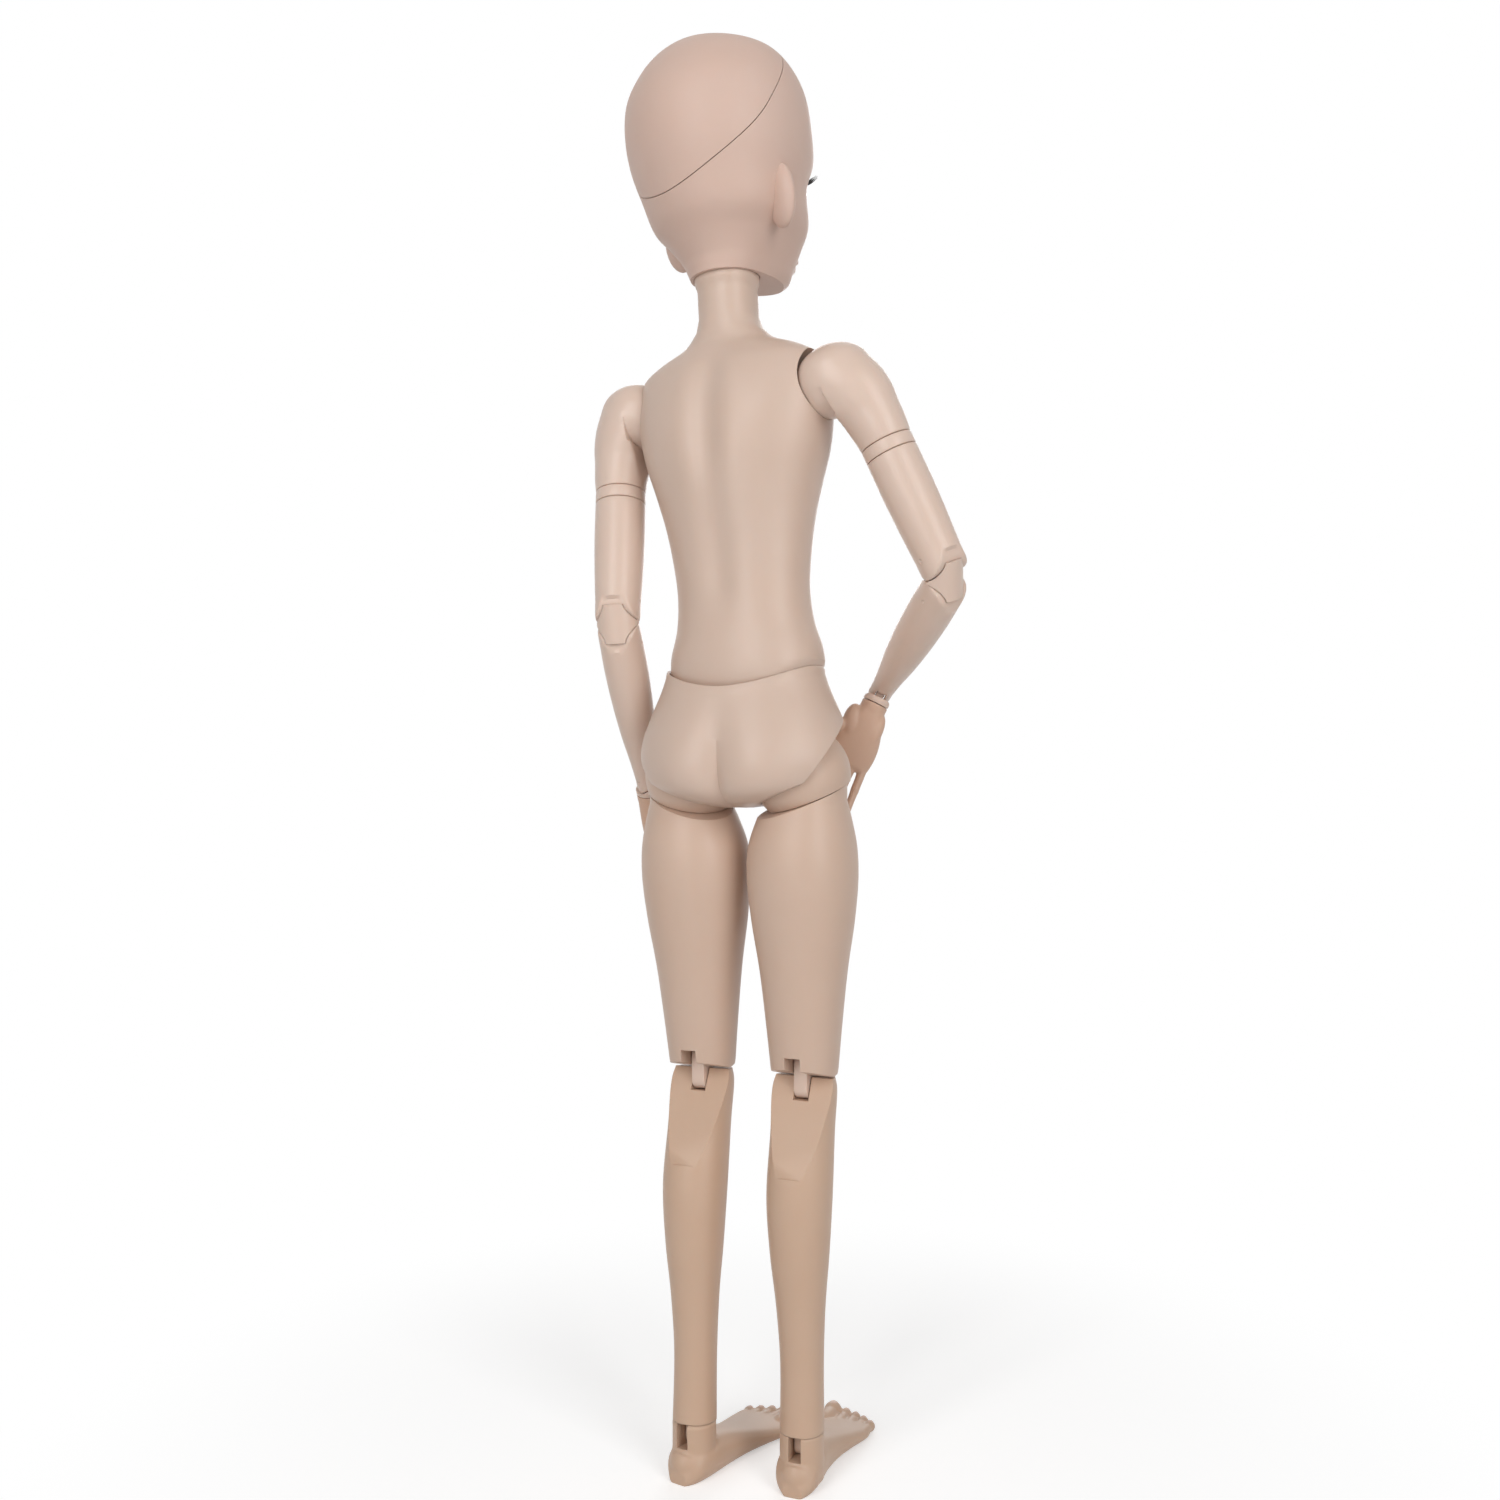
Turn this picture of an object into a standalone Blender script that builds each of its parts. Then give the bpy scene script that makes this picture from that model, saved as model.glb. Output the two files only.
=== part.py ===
"""Ball jointed doll, about 60 cm tall, standing with one hand on the hip.

Metres, +Z up. The doll faces -Y and its left side is +X. The soles rest on z = 0.
"""
import bpy
import bmesh
from math import atan2, copysign, cos, degrees, pi, radians, sin, sqrt
from mathutils import Matrix, Vector

MM = 0.001

# Clearances
GAP = 0.4 * MM          # between surfaces that turn on each other
SEAM = 0.3 * MM         # between faces that rest on each other
OVERRUN = 4.0 * MM      # how far a cutter reaches past what it cuts
CORE_TOP_SHARE = 0.85   # how far up a limb its bore runs

# Head
HEAD_HEIGHT = 98.0 * MM
HEAD_HALF_WIDTH = 37.5 * MM
HEAD_FRONT = 39.0 * MM
HEAD_BACK = 38.5 * MM
HEAD_WALL = 4.5 * MM
CAVITY_FLOOR = 19.0 * MM
CAP_POINT = (0.0 * MM, 30.0 * MM, 22.0 * MM)
CAP_TILT = 58.8
EYE_RADIUS = 9.0 * MM
EYE_SPACING = 30.0 * MM
EYE_HEIGHT = 38.0 * MM
EYE_DEPTH = 22.4 * MM
EYE_OPENING_WIDTH = 15.0 * MM
EYE_OPENING_HEIGHT = 9.0 * MM
LASH_REACH = 4.0 * MM
LASH_THICKNESS = 0.6 * MM
MAGNET_RADIUS = 1.2 * MM
MAGNET_DEPTH = 2.0 * MM
MAGNET_SINK_SHARE = 1.16       # of the head's wall, how far below the crown the magnets meet
LASH_INSET_SHARE = 0.84
LASH_START_ANGLE = 20.0
LASH_SWEEP_ANGLE = 140.0
LASH_LIFT = 1.0 * MM
EAR_LENGTH = 26.0 * MM
EAR_WIDTH = 4.8 * MM
EAR_REACH = 4.0 * MM
EAR_RISE = 26.0 * MM
EAR_SETBACK = 3.0 * MM
EAR_SEAT_SHARE = 0.95          # how far out on the head the ear's middle lies

# Neck
NECK_RADIUS = 12.3 * MM
NECK_DOME_RADIUS = 13.3 * MM
NECK_HEIGHT = 139.0 * MM
NECK_MOUTH = 9.8 * MM
NECK_BALL_RADIUS = 5.0 * MM
NECK_STEM_RADIUS = 4.2 * MM
NECK_RING_SHARES = (0.25, 0.60)
NECK_DOME_ANGLES = (0.0, 20.0, 38.0)
NECK_POST_LENGTH = 24.0 * MM
HEAD_SOCKET_RADIUS = 3.8 * MM

# Torso
CHEST_HALF_WIDTH = 43.0 * MM
CHEST_FRONT = 31.0 * MM
CHEST_BACK = 26.0 * MM
TORSO_WALL = 3.5 * MM
SHOULDER_SPAN = 90.0 * MM
SHOULDER_RISE_SHARE = 0.64     # the shoulder's place on the way from the waist's centre to the neck's top
SHOULDER_HEIGHT = NECK_HEIGHT * SHOULDER_RISE_SHARE
SHOULDER_RADIUS = 15.5 * MM
SHOULDER_SLOT_ANGLES = (-30.0, 75.0)
TORSO_CAVITY_SHARE = 0.6        # of the waist dome's radius, how far down the cavity runs
TORSO_SQUARENESS = 2.15
CAP_MEDIAL_REACH = 1.0 * MM     # of the shoulder cap, below its ball

# Waist
WAIST_DOME_RADIUS = 40.0 * MM
WAIST_HEIGHT = 67.0 * MM
WAIST_HOLE_RADIUS = 17.5 * MM
WAIST_BALL_RADIUS = 6.0 * MM
WAIST_CUP_RADIUS = 7.5 * MM
WAIST_CUP_HEIGHT = 10.0 * MM
WAIST_STEM_RADIUS = 2.6 * MM
WAIST_STEM_DEPTH = 17.0 * MM
WAIST_SEAT_HEIGHT = 6.0 * MM

# Pelvis
PELVIS_HALF_WIDTH = 45.0 * MM
PELVIS_FRONT = 25.0 * MM
PELVIS_BACK = 32.0 * MM
PELVIS_SQUARENESS = 2.2
PELVIS_HEIGHT = 62.0 * MM
CROTCH_HALF_WIDTH = 5.2 * MM
HIP_SPAN = 49.0 * MM
HIP_BALL_RADIUS = 20.0 * MM
HIP_SLOT_ANGLES = (-25.0, 50.0)
LEG_LINE_RISE = -5.5 * MM       # the edge above the thigh, at the hip's centre
LEG_LINE_SIDE_SHARE = 0.40      # how it climbs towards the side
LEG_LINE_BACK_SHARE = -0.05     # and towards the back
LEG_CUT_RISE = 1.1 * MM         # the steeper cut at the side and front
LEG_CUT_SIDE_SHARE = 1.064
LEG_CUT_BACK_SHARE = -0.668

# Legs
THIGH_LENGTH = 118.0 * MM
THIGH_RADIUS = 22.5 * MM
LEG_SQUARENESS = 2.1
THIGH_SEAM_DROP = 10.0 * MM
THIGH_SEAM_SIDE_TILT = 17.0
THIGH_SEAM_BACK_TILT = 14.0
KNEE_LINK_LENGTH = 9.0 * MM
KNEE_LINK_WIDTH = 5.8 * MM
KNEE_LINK_RADIUS = 4.6 * MM
KNEE_SPLIT = 0.8 * MM
KNEE_RELIEF_LENGTH = 27.0 * MM
KNEE_RELIEF_DEPTH = 11.5 * MM
THIGH_RELIEF_TILT = 18.0
THIGH_RELIEF_START = 0.5 * MM
THIGH_LATERAL_SHARE = 0.3
SHIN_LENGTH = 145.0 * MM
CALF_RADIUS = 13.8 * MM
ANKLE_DOME_RADIUS = 10.8 * MM
ANKLE_SEAM_RISE = 6.0 * MM
ANKLE_TAB_WIDTH = 4.4 * MM
ANKLE_TAB_RADIUS = 3.0 * MM
ANKLE_STEM_LENGTH = 34.0 * MM

# Feet
FOOT_HEIGHT = 16.0 * MM
FOOT_LENGTH = 77.0 * MM
FOOT_HEEL = 11.5 * MM
FOOT_HALF_WIDTH = 14.0 * MM
FOOT_SQUARENESS = 2.4
ANKLE_RADIUS = 9.0 * MM
SOLE_SINK = 1.2 * MM            # how much of the rounded underside is flattened
TOE_GROOVE_WIDTH = 0.8 * MM
TOE_GROOVE_LENGTH = 9.0 * MM
TOE_GROOVE_SHARES = (-0.12, 0.22, 0.50, 0.72)
FOOT_INWARD = 1.5 * MM
SLOT_FRONT_SHARE = 0.7

# Arms
UPPER_ARM_LENGTH = 82.5 * MM
UPPER_ARM_RADIUS = 10.6 * MM
ARM_OFFSET = 10.0 * MM
ARM_BORE_SHARE = 0.6            # of the shoulder cavity's radius, where the arm's bore starts
ARM_BORE_LEAN_SHARE = 0.8
BAND_DROP = 33.0 * MM
BAND_HEIGHT = 5.0 * MM
ELBOW_END_RADIUS = 8.2 * MM
ELBOW_LINK_LENGTH = 17.2 * MM
FOREARM_LENGTH = 64.5 * MM
FOREARM_RADIUS = 9.2 * MM
WRIST_END_RADIUS = 5.0 * MM
WRIST_LINK_DROP = 7.0 * MM
WRIST_RADIUS = 5.8 * MM
WRIST_PIN_HEADING = 35.1
WRIST_LEDGE_DROP = 4.2 * MM
STRAP_WIDTH = 5.8 * MM
STRAP_RADIUS = 4.4 * MM
SADDLE_START = 2.8 * MM         # the saddle lies behind this depth
WRIST_STRAP_WIDTH = 3.6 * MM
WRIST_STRAP_RADIUS = 2.2 * MM

# Hands
HAND_LENGTH = 58.0 * MM
PALM_LENGTH = 26.0 * MM
PALM_HALF_WIDTH = 10.5 * MM
PALM_THICKNESS = 8.0 * MM
PALM_WRIST_SHARE = 0.62
PALM_SPREAD_SHARE = 0.71        # how far along the palm it reaches its full width
PALM_HEEL_SHARE = 1.25
PALM_KNUCKLE_SHARE = 0.90
HAND_BASE = 3.0 * MM
HAND_PEG_LENGTH = 3.2 * MM
THUMB_LENGTH = 22.0 * MM
THUMB_LEAN = (-0.35, -0.55, -0.85)
FINGER_CURL_SHARE = 0.12
FINGER_THINNING_SHARES = (0.86, 0.80)
THUMB_THINNING_SHARES = (0.62, 0.80)

# Pegs and pins
PEG_RADIUS = 2.4 * MM
PEG_EYE_HALF_WIDTH = 2.8 * MM
PEG_EYE_RADIUS = 4.3 * MM
SHOULDER_CAVITY_RADIUS = 7.6 * MM
HIP_CAVITY_RADIUS = 9.0 * MM
PIN_RADIUS = 1.0 * MM
CORE_RADIUS = 3.0 * MM
PIN_REACH_SHARE = 0.72      # of the width that a pin passes through

# Pose in degrees
PELVIS_ROLL = 0.8
TORSO_TURN = -4.9
TORSO_TILT = 2.6
HEAD_TURN = -18.5
LEG_SWING = {"left": 2.0, "right": 1.2}
LEG_SPREAD = {"left": -0.3, "right": -0.7}
RIGHT_KNEE_BEND = 2.5
FOOT_HEADING = {"left": -9.9, "right": 1.5}
ARM_SWING = {"left": -12.6, "right": 8.9}
ARM_RAISE = {"left": -3.4, "right": 19.5}
ARM_TURN = {"left": 17.0, "right": 60.0}
ELBOW_BEND = {"left": 42.0, "right": 70.6}
WRIST_BEND = {"left": 0.0, "right": 51.7}
HAND_TURN = {"left": 0.0, "right": 35.1}

# Sections of the lofts. Each row holds shares of the piece's own sizes:
# height, half width, front depth, back depth, and where given sideways and backward shifts.
HEAD_SHARES = [
    (0.00, 0.40, 0.74, 0.395), (0.03, 0.44, 0.84, 0.41), (0.07, 0.49, 0.88, 0.44), (0.15, 0.63, 0.93, 0.58),
    (0.23, 0.81, 0.95, 0.74), (0.35, 0.90, 0.95, 0.87), (0.48, 1.00, 1.00, 0.98), (0.60, 1.03, 0.975, 1.03),
    (0.73, 1.015, 0.90, 1.00), (0.84, 0.895, 0.755, 0.86), (0.915, 0.72, 0.57, 0.70), (0.98, 0.36, 0.25, 0.44),
    (1.00, 0.12, 0.02, 0.24),
]
TORSO_SHARES = [
    (-0.262, 0.60, 0.70, 0.78), (-0.20, 0.76, 0.76, 0.90), (-0.13, 0.77, 0.76, 0.91), (-0.04, 0.69, 0.71, 0.83),
    (0.06, 0.665, 0.68, 0.79), (0.17, 0.70, 0.73, 0.81), (0.27, 0.755, 0.81, 0.88), (0.37, 0.84, 0.93, 0.96),
    (0.47, 0.94, 1.00, 1.00), (0.57, 1.00, 0.93, 0.97), (0.66, 0.995, 0.80, 0.87), (0.72, 0.95, 0.66, 0.75),
    (0.76, 0.77, 0.52, 0.62), (0.80, 0.47, 0.415, 0.50), (0.84, 0.33, 0.40, 0.475),
]
PELVIS_SHARES = [
    (-0.21, 0.20, 0.40, 0.40), (-0.16, 0.60, 0.64, 0.78), (-0.07, 0.89, 0.80, 0.96), (0.06, 1.00, 0.90, 1.00),
    (0.22, 0.99, 0.97, 0.98), (0.38, 0.91, 0.97, 0.91), (0.56, 0.80, 0.94, 0.80), (0.74, 0.715, 0.91, 0.71),
]
THIGH_SHARES = [
    (0.085, 0.74, 0.74, 0.74), (0.15, 0.86, 0.84, 0.86), (0.24, 0.98, 0.96, 0.98), (0.34, 1.00, 1.00, 1.00),
    (0.48, 0.93, 0.96, 0.92), (0.65, 0.79, 0.84, 0.78), (0.84, 0.68, 0.71, 0.66), (1.00, 0.60, 0.63, 0.57),
]
CALF_SHARES = [
    (0.00, 0.90, 0.90, 0.86, 0.0, 0.0), (0.03, 0.96, 0.95, 0.92, 0.0, 0.0), (0.14, 0.94, 0.93, 0.96, 0.0, 0.10),
    (0.32, 0.96, 0.96, 1.00, 0.0, 0.32), (0.48, 0.86, 0.88, 0.90, 0.0, 0.28), (0.62, 0.72, 0.74, 0.74, 0.0, 0.17),
    (0.78, 0.635, 0.65, 0.65, 0.0, 0.04), (0.97, 0.65, 0.66, 0.66, 0.0, 0.0),
]
SHOULDER_SHARES = [
    (-0.82, 0.30, 0.30, 0.30, 0.10), (-0.62, 0.72, 0.72, 0.72, 0.10), (-0.35, 0.95, 0.93, 0.93, 0.12),
    (0.00, 1.08, 1.00, 1.00, 0.12), (0.40, 1.12, 0.97, 0.97, 0.22), (0.80, 1.02, 0.88, 0.88, 0.38),
    (1.01, 0.93, 0.83, 0.83, 0.47), (1.30, 0.80, 0.76, 0.76, 0.58), (1.75, 0.73, 0.72, 0.72, 0.64),
]
UPPER_ARM_SHARES = [
    (0.00, 1.00, 1.00, 1.00), (0.40, 1.00, 1.00, 1.00), (0.80, 0.945, 0.945, 0.945), (1.00, 0.90, 0.91, 0.91),
]
FOREARM_SHARES = [
    (0.00, 0.98, 0.98, 0.98), (0.15, 1.00, 1.00, 1.00), (0.40, 0.95, 0.95, 0.95), (0.65, 0.82, 0.82, 0.82),
    (0.86, 0.64, 0.64, 0.64), (1.00, 0.545, 0.545, 0.545),
]
FOOT_SHARES = [
    (0.00, 0.30, 0.30, 0.0), (0.06, 0.60, 0.78, 0.0), (0.16, 0.69, 0.95, 0.0), (0.32, 0.66, 0.87, 0.01),
    (0.48, 0.73, 0.68, 0.04), (0.62, 0.88, 0.52, 0.05), (0.76, 1.00, 0.38, 0.03), (0.90, 0.90, 0.28, 0.04),
    (0.97, 0.64, 0.22, 0.12), (1.00, 0.36, 0.12, 0.16),
]
FINGER_REACH_SHARES = [0.80, 0.94, 1.00, 0.92]

SHARP_EDGE_ANGLE = 40.0
RING_SEGMENTS = 14
BODY_SEGMENTS = 20
ROUND_SEGMENTS = 12
PIN_SEGMENTS = 8


def clear_scene():
    for thing in list(bpy.data.objects):
        bpy.data.objects.remove(thing, do_unlink=True)


def new_collection(name):
    collection = bpy.data.collections.new(name)
    bpy.context.scene.collection.children.link(collection)
    return collection


def plastic(name, colour, roughness, metallic=0.0):
    material = bpy.data.materials.new(name)
    material.use_nodes = True
    shader = material.node_tree.nodes["Principled BSDF"]
    shader.inputs["Base Color"].default_value = (*colour, 1.0)
    shader.inputs["Roughness"].default_value = roughness
    shader.inputs["Metallic"].default_value = metallic
    return material


HEAD_SKIN = ((0.66, 0.48, 0.40), 0.42)
BODY_SKIN = ((0.68, 0.50, 0.41), 0.34)
ARM_SKIN = ((0.70, 0.53, 0.44), 0.32)
LEG_SKIN = ((0.60, 0.42, 0.31), 0.36)
INNER_PLASTIC = ((0.75, 0.70, 0.62), 0.5)
EYE_GLOSS = ((0.85, 0.85, 0.83), 0.1)
LASH_BLACK = ((0.02, 0.02, 0.02), 0.6)
STEEL = ((0.55, 0.55, 0.56), 0.3, 1.0)


def pivot(name, parent, place=(0.0, 0.0, 0.0), turned=None):
    """An empty on a joint, where the pieces of one body hang."""
    empty = bpy.data.objects.new(name, None)
    empty.empty_display_size = GAP
    bpy.context.scene.collection.objects.link(empty)
    empty.parent = parent
    turned = turned or Matrix.Identity(4)
    empty.matrix_local = Matrix.Translation(Vector(place)) @ turned
    return empty


def turn(axis, angle):
    return Matrix.Rotation(radians(angle), 4, Vector(axis) if not isinstance(axis, str) else axis)


def add_piece(name, bm, parent, finish, flat_faces=True):
    """Make one named piece from a bmesh, with its own material, shaded smooth."""
    if flat_faces:
        bmesh.ops.triangulate(bm, faces=bm.faces)
    bm.normal_update()
    bmesh.ops.recalc_face_normals(bm, faces=bm.faces)
    mesh = bpy.data.meshes.new(name)
    bm.to_mesh(mesh)
    bm.free()
    mesh.shade_smooth()
    mesh.set_sharp_from_angle(angle=radians(SHARP_EDGE_ANGLE))
    mesh.materials.append(plastic(name, *finish))
    piece = bpy.data.objects.new(name, mesh)
    parts.objects.link(piece)
    piece.parent = parent
    return piece


def add_cutter(name, bm, parent):
    bmesh.ops.triangulate(bm, faces=bm.faces)
    bm.normal_update()
    bmesh.ops.recalc_face_normals(bm, faces=bm.faces)
    mesh = bpy.data.meshes.new(name)
    bm.to_mesh(mesh)
    bm.free()
    cutter = bpy.data.objects.new(name, mesh)
    cutters.objects.link(cutter)
    cutter.parent = parent
    cutter.hide_render = True
    cutter.display_type = 'WIRE'
    return cutter


def apply_boolean(piece, cutter, operation='DIFFERENCE'):
    boolean = piece.modifiers.new(operation.title() + " " + cutter.name, 'BOOLEAN')
    boolean.operation = operation
    boolean.solver = 'EXACT'
    boolean.object = cutter
    return piece


def cut(piece, *cutters_of_piece):
    for cutter in cutters_of_piece:
        apply_boolean(piece, cutter)
    return piece


def join(piece, *tools):
    for tool in tools:
        apply_boolean(piece, tool, 'UNION')
    return piece


def loft(rows, segments=RING_SEGMENTS, power=2.0, clip=None):
    """Rings (z, half width, front, back, shift x, shift y) grown one from the other.

    clip(x, y, z) may pull a point inwards, to round an end on its joint's sphere or cylinder.
    """
    bm = bmesh.new()
    bmesh.ops.create_circle(bm, cap_ends=True, segments=segments, radius=1.0)
    edges = list(bm.edges)
    for level in range(1, len(rows)):
        grown = bmesh.ops.extrude_edge_only(bm, edges=edges)["geom"]
        bmesh.ops.translate(bm, verts=[v for v in grown if isinstance(v, bmesh.types.BMVert)], vec=(0.0, 0.0, 1.0))
        edges = [e for e in grown if isinstance(e, bmesh.types.BMEdge)]
    bmesh.ops.contextual_create(bm, geom=edges)
    for vert in bm.verts:
        row = tuple(rows[int(round(vert.co.z))]) + (0.0, 0.0)
        z, half_width, front, back, shift_x, shift_y = row[:6]
        angle = atan2(vert.co.y, vert.co.x)
        along_x = copysign(abs(cos(angle)) ** (2.0 / power), cos(angle))
        along_y = copysign(abs(sin(angle)) ** (2.0 / power), sin(angle))
        x = shift_x + half_width * along_x
        y = shift_y + (back if along_y > 0 else front) * along_y
        vert.co = Vector(clip(x, y, z)) if clip else Vector((x, y, z))
    return bm


def scaled_rows(shares, height, half_width, front, back, base=0.0, inset=0.0, low=None, high=None):
    """Section rows in metres from a table of shares, drawn in by inset for a cavity."""
    rows = []
    for share in shares:
        z = base + height * share[0]
        if low is not None and z < low or high is not None and z > high:
            continue
        sideways = share[4] * abs(half_width) if len(share) > 4 else 0.0
        backward = share[5] * abs(back) if len(share) > 5 else 0.0
        rows.append((z, half_width * share[1] - inset, front * share[2] - inset, back * share[3] - inset,
                     sideways, backward))
    return rows


def ball_clip(centre, radius, side):
    """Keep points beyond the centre's height (side +1 above, -1 below) inside the sphere."""
    cx, cy, cz = centre

    def clip(x, y, z):
        if (z - cz) * side <= 0:
            return x, y, z
        reach = sqrt(max(radius ** 2 - (z - cz) ** 2, 0.0))
        away = sqrt((x - cx) ** 2 + (y - cy) ** 2)
        share = min(1.0, reach / away) if away > 0 else 1.0
        return cx + (x - cx) * share, cy + (y - cy) * share, z
    return clip


def ball(radius, centre=(0.0, 0.0, 0.0), segments=ROUND_SEGMENTS):
    bm = bmesh.new()
    bmesh.ops.create_uvsphere(bm, u_segments=segments, v_segments=segments // 2, radius=radius)
    bmesh.ops.translate(bm, verts=bm.verts, vec=centre)
    return bm


def seat(radius, centre=(0.0, 0.0, 0.0), segments=ROUND_SEGMENTS):
    """A ball for cutting a seat, whose flat facets all lie outside the radius."""
    return ball(radius / cos(pi / segments) ** 2, centre, segments)


def rod(radius, length, axis='Z', centre=(0.0, 0.0, 0.0), segments=12, end_radius=None):
    bm = bmesh.new()
    bmesh.ops.create_cone(bm, cap_ends=True, segments=segments, radius1=radius,
                          radius2=radius if end_radius is None else end_radius, depth=length)
    if axis == 'X':
        bmesh.ops.rotate(bm, verts=bm.verts, matrix=Matrix.Rotation(pi / 2, 3, 'Y'))
    if axis == 'Y':
        bmesh.ops.rotate(bm, verts=bm.verts, matrix=Matrix.Rotation(pi / 2, 3, 'X'))
    bmesh.ops.translate(bm, verts=bm.verts, vec=centre)
    return bm


def box(low, high, turned=None, about=(0.0, 0.0, 0.0)):
    bm = bmesh.new()
    bmesh.ops.create_cube(bm, size=1.0)
    size = [h - l for l, h in zip(low, high)]
    bmesh.ops.scale(bm, verts=bm.verts, vec=size)
    bmesh.ops.translate(bm, verts=bm.verts, vec=[(h + l) / 2 for l, h in zip(low, high)])
    if turned is not None:
        bmesh.ops.transform(bm, matrix=Matrix.Translation(Vector(about)) @ turned, verts=bm.verts)
    return bm


def merged(*shapes):
    """One bmesh that holds several separate closed shapes."""
    whole = bmesh.new()
    for shape in shapes:
        mesh = bpy.data.meshes.new("shape")
        shape.to_mesh(mesh)
        shape.free()
        whole.from_mesh(mesh)
        bpy.data.meshes.remove(mesh)
    return whole


def sector(radius, half_thickness, start, end):
    """A flat wedge about the Y axis, from one angle to another, measured from -X towards +Z."""
    bm = bmesh.new()
    steps = 8
    angles = [radians(start + (end - start) * step / steps) for step in range(steps + 1)]
    points = [(0.0, 0.0, 0.0)] + [(-radius * cos(a), 0.0, radius * sin(a)) for a in angles]
    verts = [bm.verts.new(point) for point in points]
    face = bm.faces.new(verts)
    grown = bmesh.ops.extrude_face_region(bm, geom=[face])["geom"]
    lifted = [v for v in grown if isinstance(v, bmesh.types.BMVert)]
    bmesh.ops.translate(bm, verts=lifted, vec=(0.0, 2 * half_thickness, 0.0))
    bmesh.ops.translate(bm, verts=bm.verts, vec=(0.0, -half_thickness, 0.0))
    return bm


# Frames


def leg_reach(bend):
    """Where the ankle lies from the hip, in the thigh's own plane: back, and down."""
    half = radians(bend / 2)
    back = KNEE_LINK_LENGTH * sin(half) + SHIN_LENGTH * sin(2 * half)
    down = THIGH_LENGTH + KNEE_LINK_LENGTH * cos(half) + SHIN_LENGTH * cos(2 * half)
    return back, down


def leg_frame(side, s):
    return turn((-1, 0, 0), LEG_SWING[side]) @ turn((0, -s, 0), LEG_SPREAD[side])


def ankle_drop(side, s, bend):
    """How far the ankle lies below the middle of the hips."""
    back, down = leg_reach(bend)
    pelvis = turn('Y', PELVIS_ROLL)
    ankle = pelvis @ (Vector((s * HIP_SPAN / 2, 0.0, 0.0)) + leg_frame(side, s) @ Vector((0.0, back, -down)))
    return -ankle.z


def left_knee_bend(drop):
    """The knee bend that stands the left foot on the same floor as the right one."""
    low, high = 0.0, 90.0
    for _ in range(40):
        middle = (low + high) / 2
        if ankle_drop("left", 1, middle) > drop:
            low = middle
        else:
            high = middle
    return low


# Head


def head_rows(inset=0.0, low=None, high=None):
    return scaled_rows(HEAD_SHARES, HEAD_HEIGHT, HEAD_HALF_WIDTH, HEAD_FRONT, HEAD_BACK,
                       inset=inset, low=low, high=high)


def cap_side(offset):
    """A large block on the cap's side of its seam plane."""
    reach = 2 * HEAD_HEIGHT
    turned = turn('X', -CAP_TILT)
    return box((-reach, -reach, offset), (reach, reach, offset + reach), turned, CAP_POINT)


def seam_point(down):
    """A point of the cap's seam plane on the head's middle plane, a distance down from the cap point."""
    tilt = radians(CAP_TILT)
    return Vector(CAP_POINT) + Vector((0.0, -cos(tilt), sin(tilt))) * down


def build_head(head, cap):
    wall_top = HEAD_HEIGHT - HEAD_WALL
    cavity = add_cutter("head_cavity", loft(head_rows(HEAD_WALL, CAVITY_FLOOR, wall_top), BODY_SEGMENTS), head)
    cap_block = add_cutter("cap_block", cap_side(-SEAM / 2), head)
    shell = add_piece("head_shell", loft(head_rows(), BODY_SEGMENTS), head, HEAD_SKIN)
    for s, side in ((1, "left"), (-1, "right")):
        ear = ball(1.0)
        bmesh.ops.scale(ear, verts=ear.verts, vec=(EAR_REACH + HEAD_WALL, EAR_WIDTH, EAR_LENGTH / 2))
        bmesh.ops.translate(ear, verts=ear.verts,
                            vec=(s * (HEAD_HALF_WIDTH * EAR_SEAT_SHARE - HEAD_WALL), EAR_SETBACK, EAR_RISE))
        join(shell, add_cutter(side + "_ear_tool", ear, head))
    cut(shell, cavity, cap_block)
    neck_seat = add_cutter("neck_seat", seat(NECK_DOME_RADIUS + GAP, segments=16), head)
    spigot_hole = add_cutter("spigot_hole", rod(HEAD_SOCKET_RADIUS + SEAM, 2 * CAVITY_FLOOR, segments=16), head)
    cut(shell, neck_seat, spigot_hole)
    for s, side in ((1, "left"), (-1, "right")):
        centre = (s * EYE_SPACING / 2, -EYE_DEPTH, EYE_HEIGHT)
        eye_room = add_cutter(side + "_eye_room", seat(EYE_RADIUS + GAP, centre), head)
        opening = rod(1.0, HEAD_FRONT, 'Y')
        bmesh.ops.scale(opening, verts=opening.verts, vec=(EYE_OPENING_WIDTH / 2, 1.0, EYE_OPENING_HEIGHT / 2))
        bmesh.ops.translate(opening, verts=opening.verts, vec=(centre[0], -HEAD_FRONT, centre[2]))
        cut(shell, eye_room, add_cutter(side + "_eye_opening", opening, head))
        add_piece(side + "_eye", ball(EYE_RADIUS, centre), head, EYE_GLOSS)
        build_lashes(side, centre, head)
    cap_rows = loft(head_rows(), BODY_SEGMENTS)
    cap_piece = add_piece("head_cap", cap_rows, cap, HEAD_SKIN)
    keep = add_cutter("cap_keep", cap_side(SEAM / 2), cap)
    apply_boolean(cap_piece, keep, 'INTERSECT')
    cut(cap_piece, add_cutter("cap_cavity", loft(head_rows(HEAD_WALL, CAVITY_FLOOR, wall_top), BODY_SEGMENTS), cap))


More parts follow.
